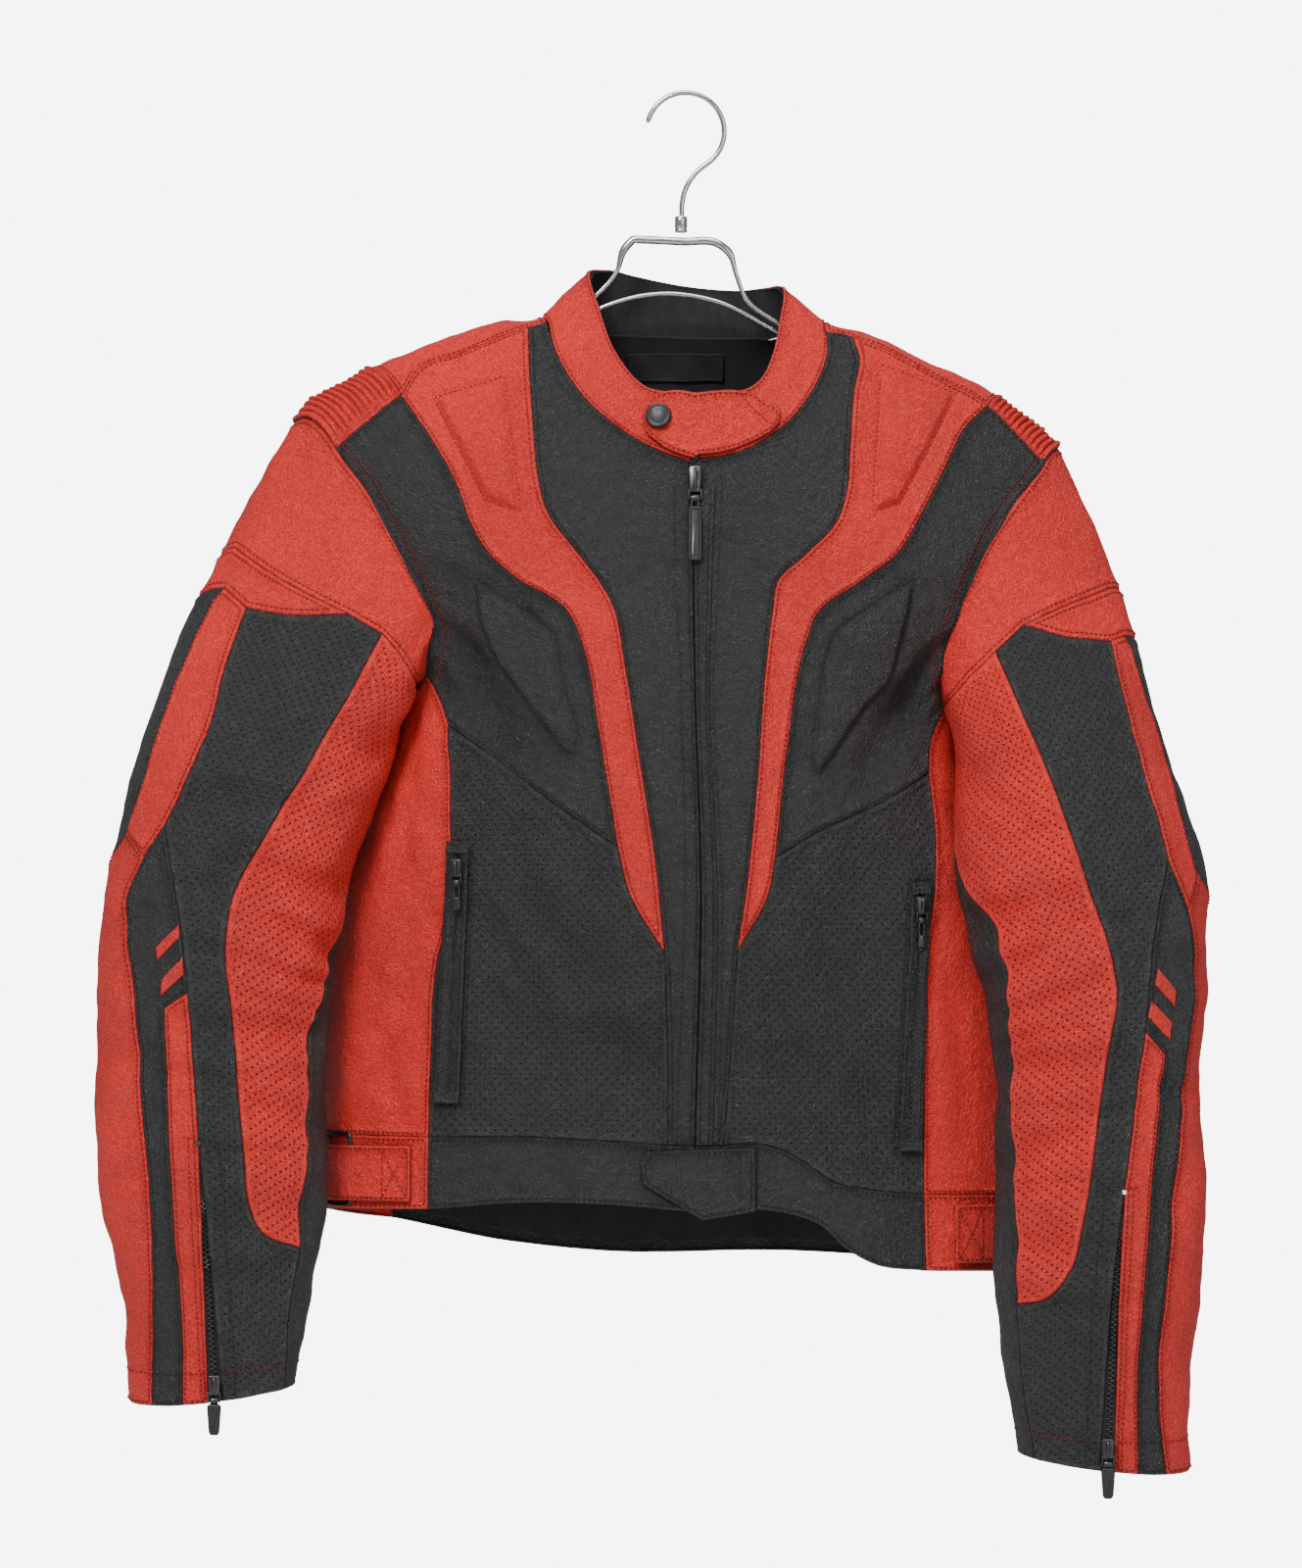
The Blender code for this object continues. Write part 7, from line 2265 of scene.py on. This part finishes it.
@dataclass
class Sewing:
    """Rows of stitches: each stitch a short thread that dips into the leather at both ends."""

    panels: dict
    sleeves: list
    pitch: float = 3.5
    gap: float = 0.3
    thread: float = 0.46
    offset: float = 2.3
    pad_offset: float = 0.4
    zigzag_pitch: float = 2.6
    zigzag_lines: tuple = (7.0, 10.5)
    zigzag_width: float = 0.9
    beside_zip: dict = field(default_factory=lambda: {"left": -9.5, "right": 12.6})
    beside_placket: float = 2.4
    round_pocket: float = 2.4
    strap_box: dict = field(default_factory=lambda: {"left": (3, 23), "right": (3, 24)})
    tab_line: tuple = ((36, -703), (36, -743))
    collar_tab_line: tuple = ((-41, 37), (-60, 5))
    cuff_front: tuple = (1.5, 11.0)
    cuff_strip: tuple = (1.5, 5.5, 9.0)
    topstitched: tuple = (
        "chest_red", "yoke", "side_panel", "belt_end", "belt_front", "belt_back", "belt_tab", "strap", "collar",
        "collar_tab", "sleeve_cap", "sleeve_band", "sleeve_outer_upper", "sleeve_strip", "sleeve_outer_lower",
        "front_centre", "chest_black", "sleeve_forearm", "pocket_welt", "placket_flap", "label_patch",
    )

    def __post_init__(self) -> None:
        """Starts with no stitches."""
        self.rows: dict[Finish, list] = {Finish.RED_THREAD: [], Finish.BLACK_THREAD: []}

    def stitch(self, panel: Panel, starts: Array, ends: Array, finish: Finish, keep_off: float = 0.0) -> None:
        """Adds stitches on a panel's chart.

        Args:
            panel: The piece that is sewn.
            starts: Where each stitch starts.
            ends: Where it ends.
            finish: The thread.
            keep_off: Stitches nearer to the piece's edge than this are left out.
        """
        inside = side_of((starts + ends) / 2, panel.outline) > keep_off
        run = (ends - starts)[inside]
        share = np.array([0.5 * self.gap, 0.3, 0.7, 1 - 0.5 * self.gap])
        flat = (starts[inside][:, None] + share[:, None] * run[:, None]).reshape(-1, 2)
        if len(flat):
            lift = np.tile([-0.15, 0.2, 0.2, -0.15], len(run))
            self.rows[finish].append([a.reshape(-1, 4, 3) for a in panel.surface(flat, lift)])

    def row(self, panel: Panel, line: Array, finish: Finish, keep_off: float = 0.0) -> None:
        """A row of stitches along a line on a panel's chart."""
        _, flat = evenly(panel.surface(line)[0], self.pitch, np.asarray(line, float))
        self.stitch(panel, flat[:-1], flat[1:], finish, keep_off)

    def edge(self, panel: Panel, finish: Finish, by: float) -> None:
        """A row of stitches all round a panel, a little way in."""
        self.row(panel, closed(inset(panel.outline, by)), finish, 0.9 * by)

    def zigzag(self, panel: Panel, line: Array, by: float, finish: Finish) -> None:
        """A zigzag row beside a line, each stitch from one side of it to the other.

        Args:
            panel: The piece that is sewn.
            line: The line on its chart.
            by: How far from the line the row runs.
            finish: The thread.
        """
        _, flat = evenly(panel.surface(line)[0], self.zigzag_pitch, line)
        across = unit(np.gradient(flat, axis=0)) @ np.array([[0, 1], [-1, 0]])
        across *= np.sign(side_of(flat + 4 * across, panel.outline))[:, None]
        places = flat + across * (by + self.zigzag_width * (-1.0) ** np.arange(len(flat)))[:, None]
        self.stitch(panel, places[:-1], places[1:], finish, 2.0)

    def all_rows(self) -> None:
        """Edges and pads, then what each side, the tabs and each cuff have besides."""
        red, black = Finish.RED_THREAD, Finish.BLACK_THREAD
        for name, panel in self.panels.items():
            kind = name.removesuffix("_left").removesuffix("_right")
            thread = red if panel.finish in (Finish.RED, Finish.RED_PIERCED) else black
            if kind in self.topstitched:
                self.edge(panel, thread, self.offset)
            if panel.foot is not None:
                self.row(panel, closed(inset(panel.foot, -self.pad_offset)), thread)
        for side in SIDES:
            self.front_rows(side)
        self.row(self.panels["belt_tab"], front_view(route(self.tab_line)), black, 1.5)
        self.row(self.panels["collar_tab"], straight(self.collar_tab_line), red, 1.5)
        for arm in self.sleeves:
            self.cuff_rows(arm)

    def front_rows(self, side: str) -> None:
        """Rows of one front: armhole, pocket, zip, placket and strap.

        Args:
            side: Left or right.
        """
        red, black, sign = Finish.RED_THREAD, Finish.BLACK_THREAD, OUTWARD[side]
        for by in self.zigzag_lines:
            self.zigzag(self.panels[f"chest_black_{side}"], seam(f"armhole front {side}"), by, red)
        low, centre = self.panels[f"front_lower_{side}"], self.panels[f"front_centre_{side}"]
        self.row(low, closed(inset(self.panels[f"pocket_welt_{side}"].outline, -self.round_pocket)), black, 1.5)
        self.row(centre, seam("zip")[4:] + (self.beside_zip[side], 0), black, 1.5)
        self.row(low, seam(f"placket {side}") + (self.beside_placket * sign, 0), black, 1.5)
        strap = self.panels[f"strap_{side}"]
        near = strap.outline[:, 0].max() if side == "left" else strap.outline[:, 0].min()
        top, bottom = strap.outline[:, 1].max() - 3, strap.outline[:, 1].min() + 3
        inner, outer = (near + reach * sign for reach in self.strap_box[side])
        for a, b in (((inner, top), (outer, bottom)), ((inner, bottom), (outer, top)), ((outer, top), (outer, bottom))):
            self.row(strap, straight([a, b]), red)

    def cuff_rows(self, arm: SleeveSet) -> None:
        """Rows beside a cuff's zip and along its hem.

        Args:
            arm: The sleeve.
        """
        red, black = Finish.RED_THREAD, Finish.BLACK_THREAD
        strip, front = (self.panels[f"sleeve_{name}_{arm.chart.side}"] for name in ("strip", "front"))
        beside, edge = arm.zip_lines
        away = np.sign(edge[-1, 0] - beside[-1, 0]) * np.array([1.0, 0.0])
        near, far = self.cuff_front
        self.row(front, edge + far * away, black, 1.5)
        self.row(front, straight([edge[0] + near * away, edge[0] + far * away]), black, 0.5)
        near, middle, far = self.cuff_strip
        self.row(strip, straight([beside[0] - near * away, beside[0] - far * away]), red, 0.5)
        self.row(strip, beside - middle * away, red, 1.5)
        for name, line in arm.hem:
            reddish = self.panels[name].finish is Finish.RED or "front" in name or "back" in name
            self.row(self.panels[name], line, red if reddish else black, 1.0)

    def build(self, wardrobe: Wardrobe) -> None:
        """Makes each colour of thread as one piece: rings of four corners at four places along every stitch.

        Args:
            wardrobe: The materials.
        """
        self.all_rows()
        turns = np.radians([45, 135, 225, 315])
        index = np.arange(16).reshape(4, 4)
        one = np.concatenate([between_rings(index), index[:1, ::-1], index[-1:]])
        for finish, rows in self.rows.items():
            middle, normal = (np.concatenate([row[i] for row in rows]) for i in (0, 1))
            ahead = unit(middle[:, -1:] - middle[:, :1])
            side = unit(np.cross(ahead, normal))
            thick = self.thread * np.array([0.5, 1, 1, 0.5])[None, :, None, None]
            ring = np.cos(turns)[:, None] * side[:, :, None] + np.sin(turns)[:, None] * normal[:, :, None]
            points = (middle[:, :, None] + thick * ring).reshape(-1, 3)
            faces = (one[None] + 16 * np.arange(len(middle))[:, None, None]).reshape(-1, 4)
            wardrobe.put_on(mesh_object(f"stitches_{finish.value}", points, faces), finish)
            LOG.info("%s: %d stitches", finish.value, len(middle))


def boxes(middles: Array, ahead: Array, up: Array, size: tuple) -> tuple[Array, Array]:
    """Small blocks, each turned to its own directions.

    Args:
        middles: Their middles.
        ahead: Direction of each block's length.
        up: Direction of each block's height.
        size: Length, width and height.

    Returns:
        The corners and the faces.
    """
    ahead, side = unit(ahead), unit(np.cross(up, ahead))
    up = np.cross(ahead, side)
    square = ((-0.5, -0.5), (0.5, -0.5), (0.5, 0.5), (-0.5, 0.5))
    corner = np.array([(x, y, z) for z in (-0.5, 0.5) for x, y in square]) * size
    points = middles[:, None]
    for i, axis in enumerate((ahead, side, up)):
        points = points + corner[:, [i]] * axis[:, None]
    one = np.array([(3, 2, 1, 0), (4, 5, 6, 7), (0, 1, 5, 4), (1, 2, 6, 5), (2, 3, 7, 6), (3, 0, 4, 7)])
    return points.reshape(-1, 3), (one[None] + 8 * np.arange(len(middles))[:, None, None]).reshape(-1, 4)


@dataclass
class Zips:
    """Zip tapes and teeth that show: both cuffs, both pockets and the top of the front zip."""

    panels: dict
    sleeves: list
    tooth: tuple = (0.95, 2.4, 1.3)
    pitch: float = 1.7
    stagger: float = 0.75
    rows: int = 70
    columns: int = 9
    overlap: float = 0.15
    tape_thick: float = 0.6
    tape_lift: float = -1.9
    tooth_lift: float = -1.3
    stop: tuple = (3.2, 3.4, 1.8)
    # The left cuff's stop is gunmetal and the right one's silver: painted shade on the left stop, which catches less
    # light.
    stop_finish: dict = field(default_factory=lambda: {"left": Finish.GUNMETAL, "right": Finish.SILVER})

    def teeth(self, name: str, points: Array, normals: Array, wardrobe: Wardrobe) -> None:
        """A row of teeth that stand left and right of the line by turns.

        Args:
            name: What the row belongs to.
            points: The line in space.
            normals: The way up along it.
            wardrobe: The materials.
        """
        places, up = evenly(points, self.pitch, normals)
        ahead = unit(np.gradient(places, axis=0))
        side = np.cross(up, ahead) * (self.stagger * (-1.0) ** np.arange(len(places)))[:, None]
        made = mesh_object(f"teeth_{name}", *boxes(places + side, ahead, up, self.tooth), smooth=False)
        round_edges(made, 0.2, 1)
        wardrobe.put_on(made, Finish.GUNMETAL)

    def cuff(self, arm: SleeveSet, wardrobe: Wardrobe) -> None:
        """The tape that fills the slit at a cuff, with teeth down its middle and a stop at the top.

        Args:
            arm: The sleeve.
            wardrobe: The materials.
        """
        chart, side = arm.chart, arm.chart.side
        along = np.linspace(0, 1, self.rows)
        edges = [
            np.stack([np.interp(along, np.linspace(0, 1, len(line)), line[:, i]) for i in (0, 1)], axis=1)
            for line in arm.zip_lines
        ]
        share = np.linspace(-self.overlap, 1 + self.overlap, self.columns)[:, None, None]
        under = (share - 0.5) * np.array([2.5, 0]) * -np.sign(chart.outward)
        flat = edges[0] + share * (edges[1] - edges[0]) + under
        hollow = self.tape_lift - 0.8 * np.cos(math.pi * (share[..., 0] - 0.5)) * np.ones(self.rows)
        points, normals = chart.lay(flat.reshape(-1, 2), hollow.ravel())
        shape = (self.columns, self.rows)
        faces = over_grid(points, normals, shape)
        tape = mesh_object(f"tape_cuff_{side}", points, faces)
        thicken(tape, self.tape_thick)
        wardrobe.put_on(tape, Finish.TAPE)
        across, down = grid_lengths(points, shape)
        width, length = float(across.max() * MM), float(down[self.columns // 2] * MM)
        grid = points.reshape(*shape, 3)
        corner, beside, below = grid[:-1, :-1], grid[1:, :-1], grid[:-1, 1:]
        cover = float(np.linalg.norm(np.cross(beside - corner, below - corner), axis=-1).sum() * MM * MM)
        LOG.info("cuff tape %.1f x %.1f mm", width / MM, length / MM)
        cover = max(cover, FULLEST_CUT * width * length)
        places, up = chart.lay(0.5 * (edges[0] + edges[1])[1:-1], self.tooth_lift)
        self.teeth(f"cuff_{side}", places, up, wardrobe)
        block = boxes(places[:1] + 1.2 * up[:1], places[1:2] - places[:1], up[:1], self.stop)
        made = mesh_object(f"stop_cuff_{side}", *block, smooth=False)
        round_edges(made, 0.5, 2)
        wardrobe.put_on(made, self.stop_finish[side])

    def build(self, wardrobe: Wardrobe) -> None:
        """Makes every tape and row of teeth.

        Args:
            wardrobe: The materials.
        """
        for arm in self.sleeves:
            self.cuff(arm, wardrobe)
        for side in SIDES:
            welt = self.panels[f"pocket_welt_{side}"]
            self.teeth(f"pocket_{side}", *welt.surface(welt.groove[2:-2], 0.5), wardrobe)
        self.teeth("front", *TORSO_CHART.lay(seam("zip")[:6], 0.8), wardrobe)


@dataclass
class Fittings:
    """The collar's snap, the belt's metal loop and, as painted shadow, a dark tube in each armhole's gap that stands
    for the seam's shadow line.
    """

    panels: dict
    sleeves: list
    middle_y: float = -5.0
    tape_sink: float = 2.5
    tape_radius: float = 2.3
    snap_place: tuple = (26.0, 21.0)
    snap_lift: float = WALL + 3.2
    snap: tuple = (
        (0, -1.6), (8.2, -1.6), (8.5, -0.9), (8.5, 0.1), (8.1, 0.9), (7.4, 1.25), (6.7, 1.0), (6.2, 0.75),
        (5.4, 0.95), (3, 1.3), (0, 1.4),
    )
    ring: tuple = ((-238, -694.5), (-223, -694.5), (-223, -742), (-238, -742))
    ring_lift: float = 1.6
    ring_wire: float = 1.25

    def armhole_tape(self, chart: SleeveChart, wardrobe: Wardrobe) -> None:
        """Makes the dark tube in one armhole's gap, behind its seam: painted shadow that stands for the seam's shadow
        line.

        Args:
            chart: The sleeve's chart.
            wardrobe: The materials.
        """
        inward = (np.array([CENTRE_X, self.middle_y, 0]) - chart.hole) * (1, 12, 0)
        line = chart.hole + self.tape_sink * unit(inward)
        # A dark tube in the gap: painted shadow of the armhole seam.
        tape = mesh_object(f"armhole_tape_{chart.side}", *tube(line, self.tape_radius, 10, True))
        wardrobe.put_on(tape, Finish.TAPE)

    def collar_snap(self, wardrobe: Wardrobe) -> None:
        """Makes the snap's cap on the collar's tab.

        Args:
            wardrobe: The materials.
        """
        centre, normal = self.panels["collar_tab"].chart.lay([self.snap_place], self.snap_lift)
        side = unit(np.cross((0, 0, 1), normal[0]))
        axes = np.stack([side, np.cross(normal[0], side), normal[0]])
        points, faces = lathe(self.snap, 48)
        snap = mesh_object("snap_collar", points @ axes + centre[0] + 0.25 * normal[0], faces)
        wardrobe.put_on(snap, Finish.BURNISHED, solid="collar_snap")

    def strap_ring(self, wardrobe: Wardrobe) -> None:
        """Makes the metal loop that the left strap runs through, with its corners drawn round.

        Args:
            wardrobe: The materials.
        """
        path = polygon(self.ring, 2.5)
        path = 0.25 * np.roll(path, 1, axis=0) + 0.5 * path + 0.25 * np.roll(path, -1, axis=0)
        places, _ = TORSO_CHART.lay(front_view(path), self.ring_lift)
        ring = mesh_object("loop_strap_left", *tube(places, self.ring_wire, 10, True))
        wardrobe.put_on(ring, Finish.GUNMETAL)

    def build(self, wardrobe: Wardrobe) -> None:
        """Makes every fitting.

        Args:
            wardrobe: The materials.
        """
        for arm in self.sleeves:
            self.armhole_tape(arm.chart, wardrobe)
        self.collar_snap(wardrobe)
        self.strap_ring(wardrobe)


def rounded(corners: Array, cut: float, steps: int = 5) -> Array:
    """A polygon whose corners are drawn as bends.

    Args:
        corners: The corners in order.
        cut: How far from a corner its bend starts.
        steps: Points in each bend.

    Returns:
        The bends' points.
    """
    corners = np.asarray(corners, float)
    before, after = (corners + cut * unit(np.roll(corners, shift, axis=0) - corners) for shift in (1, -1))
    share = np.linspace(0, 1, steps)[None, :, None]
    bend = (1 - share) ** 2 * before[:, None] + 2 * share * (1 - share) * corners[:, None] + share**2 * after[:, None]
    return bend.reshape(-1, 2)


def mirrored(half: tuple | list) -> list:
    """A right half's corners x, z, followed by their mirror images from the last one back."""
    return [*half, *((-x, z) for x, z in half[::-1])]


def moulded(outline: Array, layers: list) -> tuple[Array, list]:
    """A flat part with shaped edges, by its outline drawn in at each depth.

    Args:
        outline: Corners x, z of the widest outline.
        layers: How far in, and at what y, from the front face to the back one.

    Returns:
        The corners and the faces.
    """
    rings = [np.insert(inset(outline, by), 1, y, axis=1) for by, y in layers]
    return closed_up(np.stack(rings))


def closed_up(rings: Array, capped: bool = True) -> tuple[Array, list]:
    """Rings of corners joined one to the next, with the faces outwards.

    Args:
        rings: The corners of each ring.
        capped: Whether the ends have faces; otherwise the last ring is joined to the first.

    Returns:
        The corners and the faces.
    """
    index = np.arange(rings.shape[0] * rings.shape[1]).reshape(rings.shape[:2])
    faces = between_rings(index if capped else np.concatenate([index, index[:1]]))
    points = rings.reshape(-1, 3)
    a, b, c, d = (points[faces[:, i]] - points.mean(axis=0) for i in range(4))
    volume = (np.cross(a, b) * c).sum() + (np.cross(a, c) * d).sum()
    faces = faces.tolist() + ([index[0][::-1].tolist(), index[-1].tolist()] if capped else [])
    return points, faces if volume > 0 else [face[::-1] for face in faces]


def joined(*parts: tuple[Array, list]) -> tuple[Array, list]:
    """Several parts as one list of corners and one of faces."""
    starts = np.cumsum([0] + [len(points) for points, _ in parts])
    faces = [[i + start for i in face] for (_, sides), start in zip(parts, starts.tolist()) for face in sides]
    return np.concatenate([points for points, _ in parts]), faces


@dataclass(frozen=True)
class PullShape:
    """The grip of a pull: right half of its outline x, z, its layers, and the loop that it hangs on."""

    grip: tuple
    layers: tuple
    loop: tuple
    finish: Finish
    plate: float = 0.0


PLATE_LAYERS = ((0.5, -1.15), (0.1, -1.05), (0, -0.7), (0.2, -0.5))
PULL_SHAPES = {
    "front": PullShape(
        ((3.4, -5.6), (4.3, -7.6), (4.4, -40.2), (3.2, -42)),
        ((1.7, -0.7), (1.45, -1.25), (1.0, -1.4), (0.4, -1.15), (0, -0.6), (0, 0.5), (0.4, 1.0), (1.2, 1.2)),
        ((2.25, -1.9), (2.25, -6.6), (1.2, -7.6)),
        Finish.RUBBER,
        2.0,
    ),
    "pocket": PullShape(
        ((1.6, -9.6), (2.0, -11), (2.8, -16.4), (2.2, -18)),
        ((0.9, -0.75), (0.3, -0.65), (0, -0.25), (0, 0.25), (0.3, 0.65), (0.9, 0.75)),
        ((1.75, -1.9), (1.95, -6.5), (1.4, -10.6)),
        Finish.GUNMETAL,
    ),
    "cuff": PullShape(
        ((3.9, -2.4), (4.75, -4.4), (3.6, -21), (2.2, -22.8)),
        ((1.5, -1.7), (0.5, -1.45), (0, -0.7), (0, 0.7), (0.5, 1.45), (1.5, 1.7)),
        ((1.95, -1.9), (1.95, -4.4), (1.2, -5.4)),
        Finish.RUBBER,
    ),
}
# Sliders: pin x, y, z in millimetres, tilt and turn in degrees, width and body length
SLIDER_ROWS = {
    "front": (6, -76.04, -272.7, -9.18, 0, 9.4, 18),
    "pocket_left": (-152, -67.72, -526.7, 0, -17.86, 8.2, 12),
    "pocket_right": (156, -61.56, -551.7, 0, 21.73, 8.2, 12),
    "cuff_left": (-311, -86.91, -867.7, 0, 2.96, 8.8, 13),
    "cuff_right": (277.5, -96.1, -908.7, 0, 0.35, 8.8, 13),
}


@dataclass
class ZipSlider:
    """A slider with its bridge, ears and pin, and the pull that hangs on the pin."""

    name: str
    drop: float = 3.7
    ear: float = 1.2
    ear_layers: tuple = ((0.35, -0.6), (0, -0.3), (0, 0.3), (0.35, 0.6))
    wings: tuple = (
        (1.0, -2.2), (0.35, -1.95), (0, -1.4), (0, -0.5), (0.9, -0.2), (0.9, 0.5), (0, 0.8), (0, 1.5), (0.35, 1.95),
        (1.0, 2.2),
    )
    wing_half: tuple = ((0.38, 0.0), (0.42, 0.35), (0.5, 0.82), (0.42, 1.0))
    bridge: tuple = ((-1.2, 0.14), (-2.5, 0.2), (-2.9, 0.35), (-2.9, 0.65), (-2.5, 0.8), (-1.2, 0.88))
    pin: float = 0.8
    knuckle: tuple = (1.25, 2.0, 2.3)
    loop_wire: float = 0.72

    def __post_init__(self) -> None:
        """Reads the slider's row and turns its axes."""
        x, y, z, tilt, turn, self.width, self.body = SLIDER_ROWS[self.name]
        self.kind = self.name.split("_")[0]
        self.place = np.array([x, y, z])
        a, b = math.radians(tilt), math.radians(turn)
        lean = np.array([(1, 0, 0), (0, math.cos(a), -math.sin(a)), (0, math.sin(a), math.cos(a))])
        swing = np.array([(math.cos(b), -math.sin(b), 0), (math.sin(b), math.cos(b), 0), (0, 0, 1)])
        self.axes = swing @ lean

    def finish(self, name: str, parts: tuple, finish: Finish, wardrobe: Wardrobe, body: str, solid: str = "") -> None:
        """Puts parts in their place as one piece.

        Args:
            name: The piece's name.
            parts: Corners and faces.
            finish: Its finish.
            wardrobe: The materials.
            body: The body that it moves with.
            solid: The solid that it stands for, if it does.
        """
        points, faces = parts
        wardrobe.put_on(mesh_object(name, points @ self.axes.T + self.place, faces), finish, body, solid)

    def slider(self) -> tuple[Array, list]:
        """Two wings with the teeth's channel between them, a bridge, two ears and the pin.

        Returns:
            The corners and the faces.
        """
        low, w = self.drop, self.width
        outline = rounded(mirrored([(x * w, low + share * self.body) for x, share in self.wing_half]), 0.9)
        bridge = route([(y, low + share * self.body) for y, share in self.bridge], 0.8)
        bridge = tube(np.insert(bridge, 0, 0.0, axis=1), 0.14 * w, 12)
        side = rounded([(-1.6, -1.7), (1.6, -1.7), (1.6, low + 2.2), (-1.6, low + 2.2)], 1.3)
        points, faces = moulded(side, self.ear_layers)
        faces = [face[::-1] for face in faces]
        reach = (w - self.ear) / 2 * 0.98
        ears = [(points[:, [1, 0, 2]] + (sign * reach, 0, 0), faces) for sign in (-1, 1)]
        rod = tube([(-w / 2 + 0.1, 0, 0), (0, 0, 0), (w / 2 - 0.1, 0, 0)], self.pin, 16)
        return joined(moulded(outline, self.wings), bridge, *ears, rod)

    def hinge(self, shape: PullShape) -> tuple[Array, list]:
        """A knuckle round the pin, and the wire loop below it.

        Args:
            shape: The pull's shape.

        Returns:
            The corners and the faces.
        """
        half = (self.width - 2 * self.ear - 0.9) / 2
        bore, face, rim = self.knuckle
        profile = [(bore, -half), (face, -half), (rim, 0.3 - half), (rim, half - 0.3), (face, half), (bore, half)]
        turns = np.linspace(0, 2 * math.pi, 32, endpoint=False)
        rings = np.array([[(x, r * math.cos(t), r * math.sin(t)) for r, x in profile] for t in turns])
        bend = np.insert(rounded(mirrored(shape.loop), 0.8), 1, 0.0, axis=1)
        return joined(closed_up(rings, capped=False), tube(bend, self.loop_wire, 10, True))

    def build(self, wardrobe: Wardrobe) -> None:
        """Makes the slider and its pull.

        Args:
            wardrobe: The materials.
        """
        name, shape, metal = self.name, PULL_SHAPES[self.kind], Finish.GUNMETAL
        body = f"{name}_zip_pull"
        self.finish(f"slider_{name}", self.slider(), metal, wardrobe, JACKET, f"{name}_slider")
        self.finish(f"link_{name}", self.hinge(shape), metal, wardrobe, body)
        outline = rounded(mirrored(shape.grip), 0.7)
        self.finish(f"pull_{name}", moulded(outline, shape.layers), shape.finish, wardrobe, body, f"{name}_pull")
        if shape.plate:
            self.finish(f"plate_{name}", moulded(inset(outline, shape.plate), PLATE_LAYERS), metal, wardrobe, body)
        LOG.info("slider and pull: %s", name)


@dataclass
class Studio:
    """A white room: floor, soft lamps and the camera at the photograph's angle."""

    middle_x: float = -0.0231
    middle_z: float = -0.4615
    distance: float = 5.05
    lens: float = 173.0
    sensor: float = 36.0
    floor_z: float = -1.15
    floor_corners: tuple = ((-2.2, -2.0), (2.2, -2.0), (2.2, 1.1), (-2.2, 1.1))
    paper: tuple = (0.8, 0.8, 0.8, 1)
    white: float = 7.0
    ambient: float = 0.28
    lamps: dict = field(
        default_factory=lambda: {
            "key": ((-1.2, -2.6, 1.9), 1.0, 136),
            "fill": ((1.9, -3.0, 0.3), 2.0, 34),
            "top": ((0.2, -0.7, 1.7), 1.2, 28),
        }
    )

    def floor(self) -> None:
        """A pale plane below and behind."""
        points = np.array([(x, y, self.floor_z) for x, y in self.floor_corners]) / MM
        made = mesh_object("studio_floor", points, [[0, 1, 2, 3]], smooth=False)
        paper = bpy.data.materials.new("pale_floor")
        paper.use_nodes = True
        shader = paper.node_tree.nodes["Principled BSDF"]
        shader.inputs["Base Color"].default_value = self.paper
        shader.inputs["Roughness"].default_value = 0.9
        made.data.materials.append(paper)

    def lamp(self, name: str, place: tuple, size: float, power: float) -> None:
        """A square lamp turned to the jacket's middle.

        Args:
            name: The lamp's name.
            place: Where it stands, in metres.
            size: Length of its side.
            power: In watts.
        """
        data = bpy.data.lights.new(name, "AREA")
        data.size, data.energy = size, power
        made = bpy.data.objects.new(name, data)
        bpy.context.scene.collection.objects.link(made)
        made.location = place
        x, y, z = np.array((self.middle_x, 0.0, self.middle_z)) - place
        made.rotation_euler = (math.atan2(math.hypot(x, y), -z), 0, math.atan2(y, x) - math.pi / 2)

    def sky(self) -> None:
        """White all round to the camera, and dim to everything else."""
        world = bpy.data.worlds.new("white_room")
        world.use_nodes = True
        kit = NodeKit(world.node_tree)
        seen = kit.add("ShaderNodeLightPath").outputs["Is Camera Ray"]
        sky = world.node_tree.nodes["Background"]
        kit.join(kit.maths("MULTIPLY_ADD", seen, self.white - self.ambient, self.ambient), sky.inputs["Strength"])
        sky.inputs["Color"].default_value = (1, 1, 1, 1)
        bpy.context.scene.world = world

    def camera(self) -> None:
        """A long lens straight before the jacket's middle."""
        data = bpy.data.cameras.new("camera")
        data.lens, data.sensor_width, data.sensor_fit = self.lens, self.sensor, "AUTO"
        data.dof.use_dof = False
        camera = bpy.data.objects.new("camera", data)
        bpy.context.scene.collection.objects.link(camera)
        camera.location = (self.middle_x, -self.distance, self.middle_z)
        camera.rotation_euler = (math.pi / 2, 0, 0)
        bpy.context.scene.camera = camera

    def build(self) -> None:
        """Sets up the room."""
        self.floor()
        for name, lamp in self.lamps.items():
            self.lamp(name, *lamp)
        self.sky()
        self.camera()


def main() -> None:
    """Builds every piece in order."""
    logging.basicConfig(level=logging.INFO, format="%(name)s: %(message)s")
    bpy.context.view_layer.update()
    wardrobe = Wardrobe()
    panels: dict[str, Panel] = {}
    for side in SIDES:
        panels |= Fronts(side).panels()
    panels |= Back().panels()
    panels |= Belt().panels()
    panels |= CollarSet(CollarChart()).panels()
    sets = [SleeveSet(SleeveChart(side)) for side in SIDES]
    for arm in sets:
        panels |= arm.panels()
    trims: dict[str, list] = {}
    for name, panel in sorted(panels.items(), key=lambda item: not item[1].carrier):
        made = panel.make(wardrobe, trims.get(name))
        if panel.carrier:
            trims.setdefault(panel.carrier, []).append(made)
        LOG.info("%s: %d faces", name, len(made.data.polygons))
    Sewing(panels, sets).build(wardrobe)
    Zips(panels, sets).build(wardrobe)
    Fittings(panels, sets).build(wardrobe)
    for name in SLIDER_ROWS:
        ZipSlider(name).build(wardrobe)
    for side in SIDES:
        RibPanel(side).make(wardrobe)
    Hanger().build(wardrobe)
    Studio().build()


if __name__ == "__main__":
    main()
